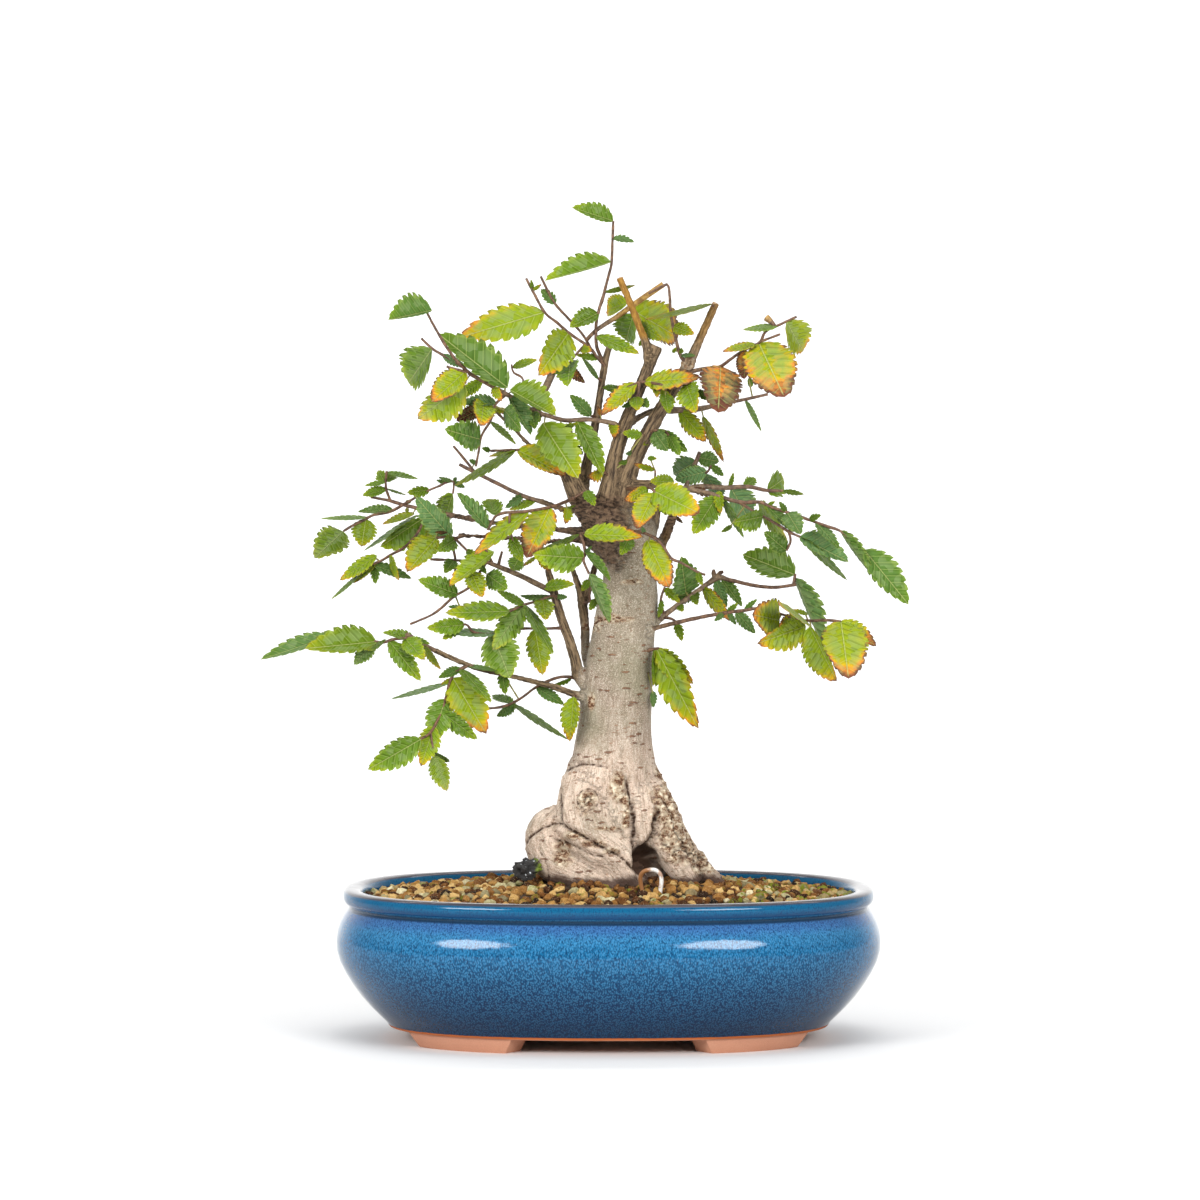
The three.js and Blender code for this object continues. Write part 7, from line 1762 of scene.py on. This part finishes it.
for name, paths, leaves in SHOOTS:
    corners = []
    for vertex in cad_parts[name].data.vertices:
        p = vertex.co / MM - POT_PLACE
        corners.append((*measured(p), p))
    paths = [[(x, spread(y), z, radius) for x, y, z, radius in path] for path in paths]
    rows = []
    edges = []
    for path in paths:
        for i, (x, y, z, radius) in enumerate(path):
            if i:
                edges.append((len(rows) - 1, len(rows)))
            rows.append({"place": metres(seen(x, y, z)), "girth": radius * TWIG_THINNER * MM})
    for leaf in leaves:
        row = leaf_numbers(corners, paths, leaf)
        if row["start"] is not None:
            edges.append((len(rows), len(rows) + 1))
            stalk_end = row["base"] + row["rib"] * (STALK_IN_BLADE * MM)
            rows.append({"place": metres(row["start"]), "girth": STALK_RADIUS * MM, "stalk": 0.6})
            rows.append({"place": stalk_end, "girth": STALK_END_RADIUS * MM, "stalk": 1.0})
        rows.append({"place": row["base"], **row})
    shoot = mesh_object(f"{name}_leaves", [row["place"] for row in rows], edges=edges)
    for label in ("girth", "stalk", "leaf", "length", "half", "fold", "roll", "autumn", "wave"):
        carry(shoot, label, [row.get(label, 0.0) for row in rows])
    for label in ("base", "rib", "across", "up"):
        carry(shoot, label, [part for row in rows for part in row.get(label, (0, 0, 0))], "FLOAT_VECTOR")
    grow(
        shoot, shoot_tree, Large_Blade=large_blade, Small_Blade=small_blade, Round_Blade=round_blade,
        Bow=BLADE_BOW, Thickness=BLADE_THICK * MM, Twig_Sides=TWIG_SIDES, Twig_Step=TWIG_STEP * MM,
        Bark=twig_look, Leaf=leaf_look,
    )
    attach(shoot, "root")
    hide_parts(name)
for blade in (large_blade, small_blade, round_blade):
    bpy.data.objects.remove(blade)

# The studio
# A pale sweep of paper stands under and behind the bonsai. Two wide soft boxes light it from the
# front, left and right, a weaker one from above, and a white sky fills the shade.

# The studio is measured in metres.
SWEEP_FRONT = -30
SWEEP_BACK = 3.4
SWEEP_ROUND = 1.4
SWEEP_STEPS = 16
SWEEP_TOP = 6
SWEEP_HALF = 30
SKY_STRENGTH = 0.55
CAMERA_DIP = 2.870
CAMERA_LENS = 232.65
AIM = Vector((0, 0, 0.2))
# Soft boxes: name, azimuth and elevation in degrees, distance, width and height in metres, power.
SOFT_BOXES = [
    ("left_box", -38.5, 16.6, 2.3, 1.25, 0.62, 36), ("right_box", 29.5, 16.6, 2.3, 1.25, 0.62, 34),
    ("top_box", 10, 70, 2.2, 1.6, 1.6, 15),
]

profile = [(SWEEP_FRONT, 0)]
for i in range(SWEEP_STEPS + 1):
    angle = math.pi / 2 * i / SWEEP_STEPS
    profile.append((SWEEP_BACK + SWEEP_ROUND * math.sin(angle), SWEEP_ROUND * (1 - math.cos(angle))))
profile.append((SWEEP_BACK + SWEEP_ROUND, SWEEP_TOP))
points = [(x, y, z) for y, z in profile for x in (-SWEEP_HALF, SWEEP_HALF)]
faces = [(i, i + 1, i + 3, i + 2) for i in range(0, len(points) - 2, 2)]
sweep = mesh_object("paper_sweep", points, faces)
sweep.data.shade_smooth()
place, finish = new_material("pale_paper", Roughness=0.85)
sweep.data.materials.append(finish(place.speckle(3).mixed((0.75, 0.75, 0.75), (0.79, 0.79, 0.79))))

world = bpy.data.worlds.new("white_sky")
world.use_nodes = True
sky = world.node_tree.nodes["Background"]
sky.inputs["Color"].default_value = (1, 1, 1, 1)
sky.inputs["Strength"].default_value = SKY_STRENGTH
bpy.context.scene.world = world


def area_lamp(name, shape, width, height, power, place, facing_away):
    """A wide soft lamp at a place, turned away from a direction."""
    lamp = bpy.data.lights.new(name, "AREA")
    lamp.shape = shape
    lamp.size = width
    lamp.size_y = height
    lamp.energy = power
    box = bpy.data.objects.new(name, lamp)
    bpy.context.scene.collection.objects.link(box)
    box.location = place
    box.rotation_euler = facing_away.to_track_quat("Z", "Y").to_euler()


for name, azimuth, elevation, distance, width, height, power in SOFT_BOXES:
    a = math.radians(azimuth)
    e = math.radians(elevation)
    away = Vector((math.sin(a) * math.cos(e), -math.cos(a) * math.cos(e), math.sin(e)))
    area_lamp(name, "ELLIPSE", width, height, power, place=AIM + away * distance, facing_away=away)
# the paper behind is lit on its own, so that it stays white
area_lamp(
    "paper_light", "RECTANGLE", width=6, height=0.8, power=230,
    place=(0, 1.8, 3.6), facing_away=Vector((0, -0.75, 0.65)),
)

camera = bpy.data.objects.new("camera", bpy.data.cameras.new("camera"))
bpy.context.scene.collection.objects.link(camera)
camera.location = Vector((VIEW_X, -VIEW_DISTANCE, VIEW_Z)) * MM + POT_PLACE * MM
camera.rotation_euler = (math.radians(90 - CAMERA_DIP), 0, 0)
camera.data.lens = CAMERA_LENS
camera.data.sensor_width = 36
camera.data.clip_end = 50
bpy.context.scene.camera = camera
bpy.context.scene.view_settings.view_transform = "Standard"
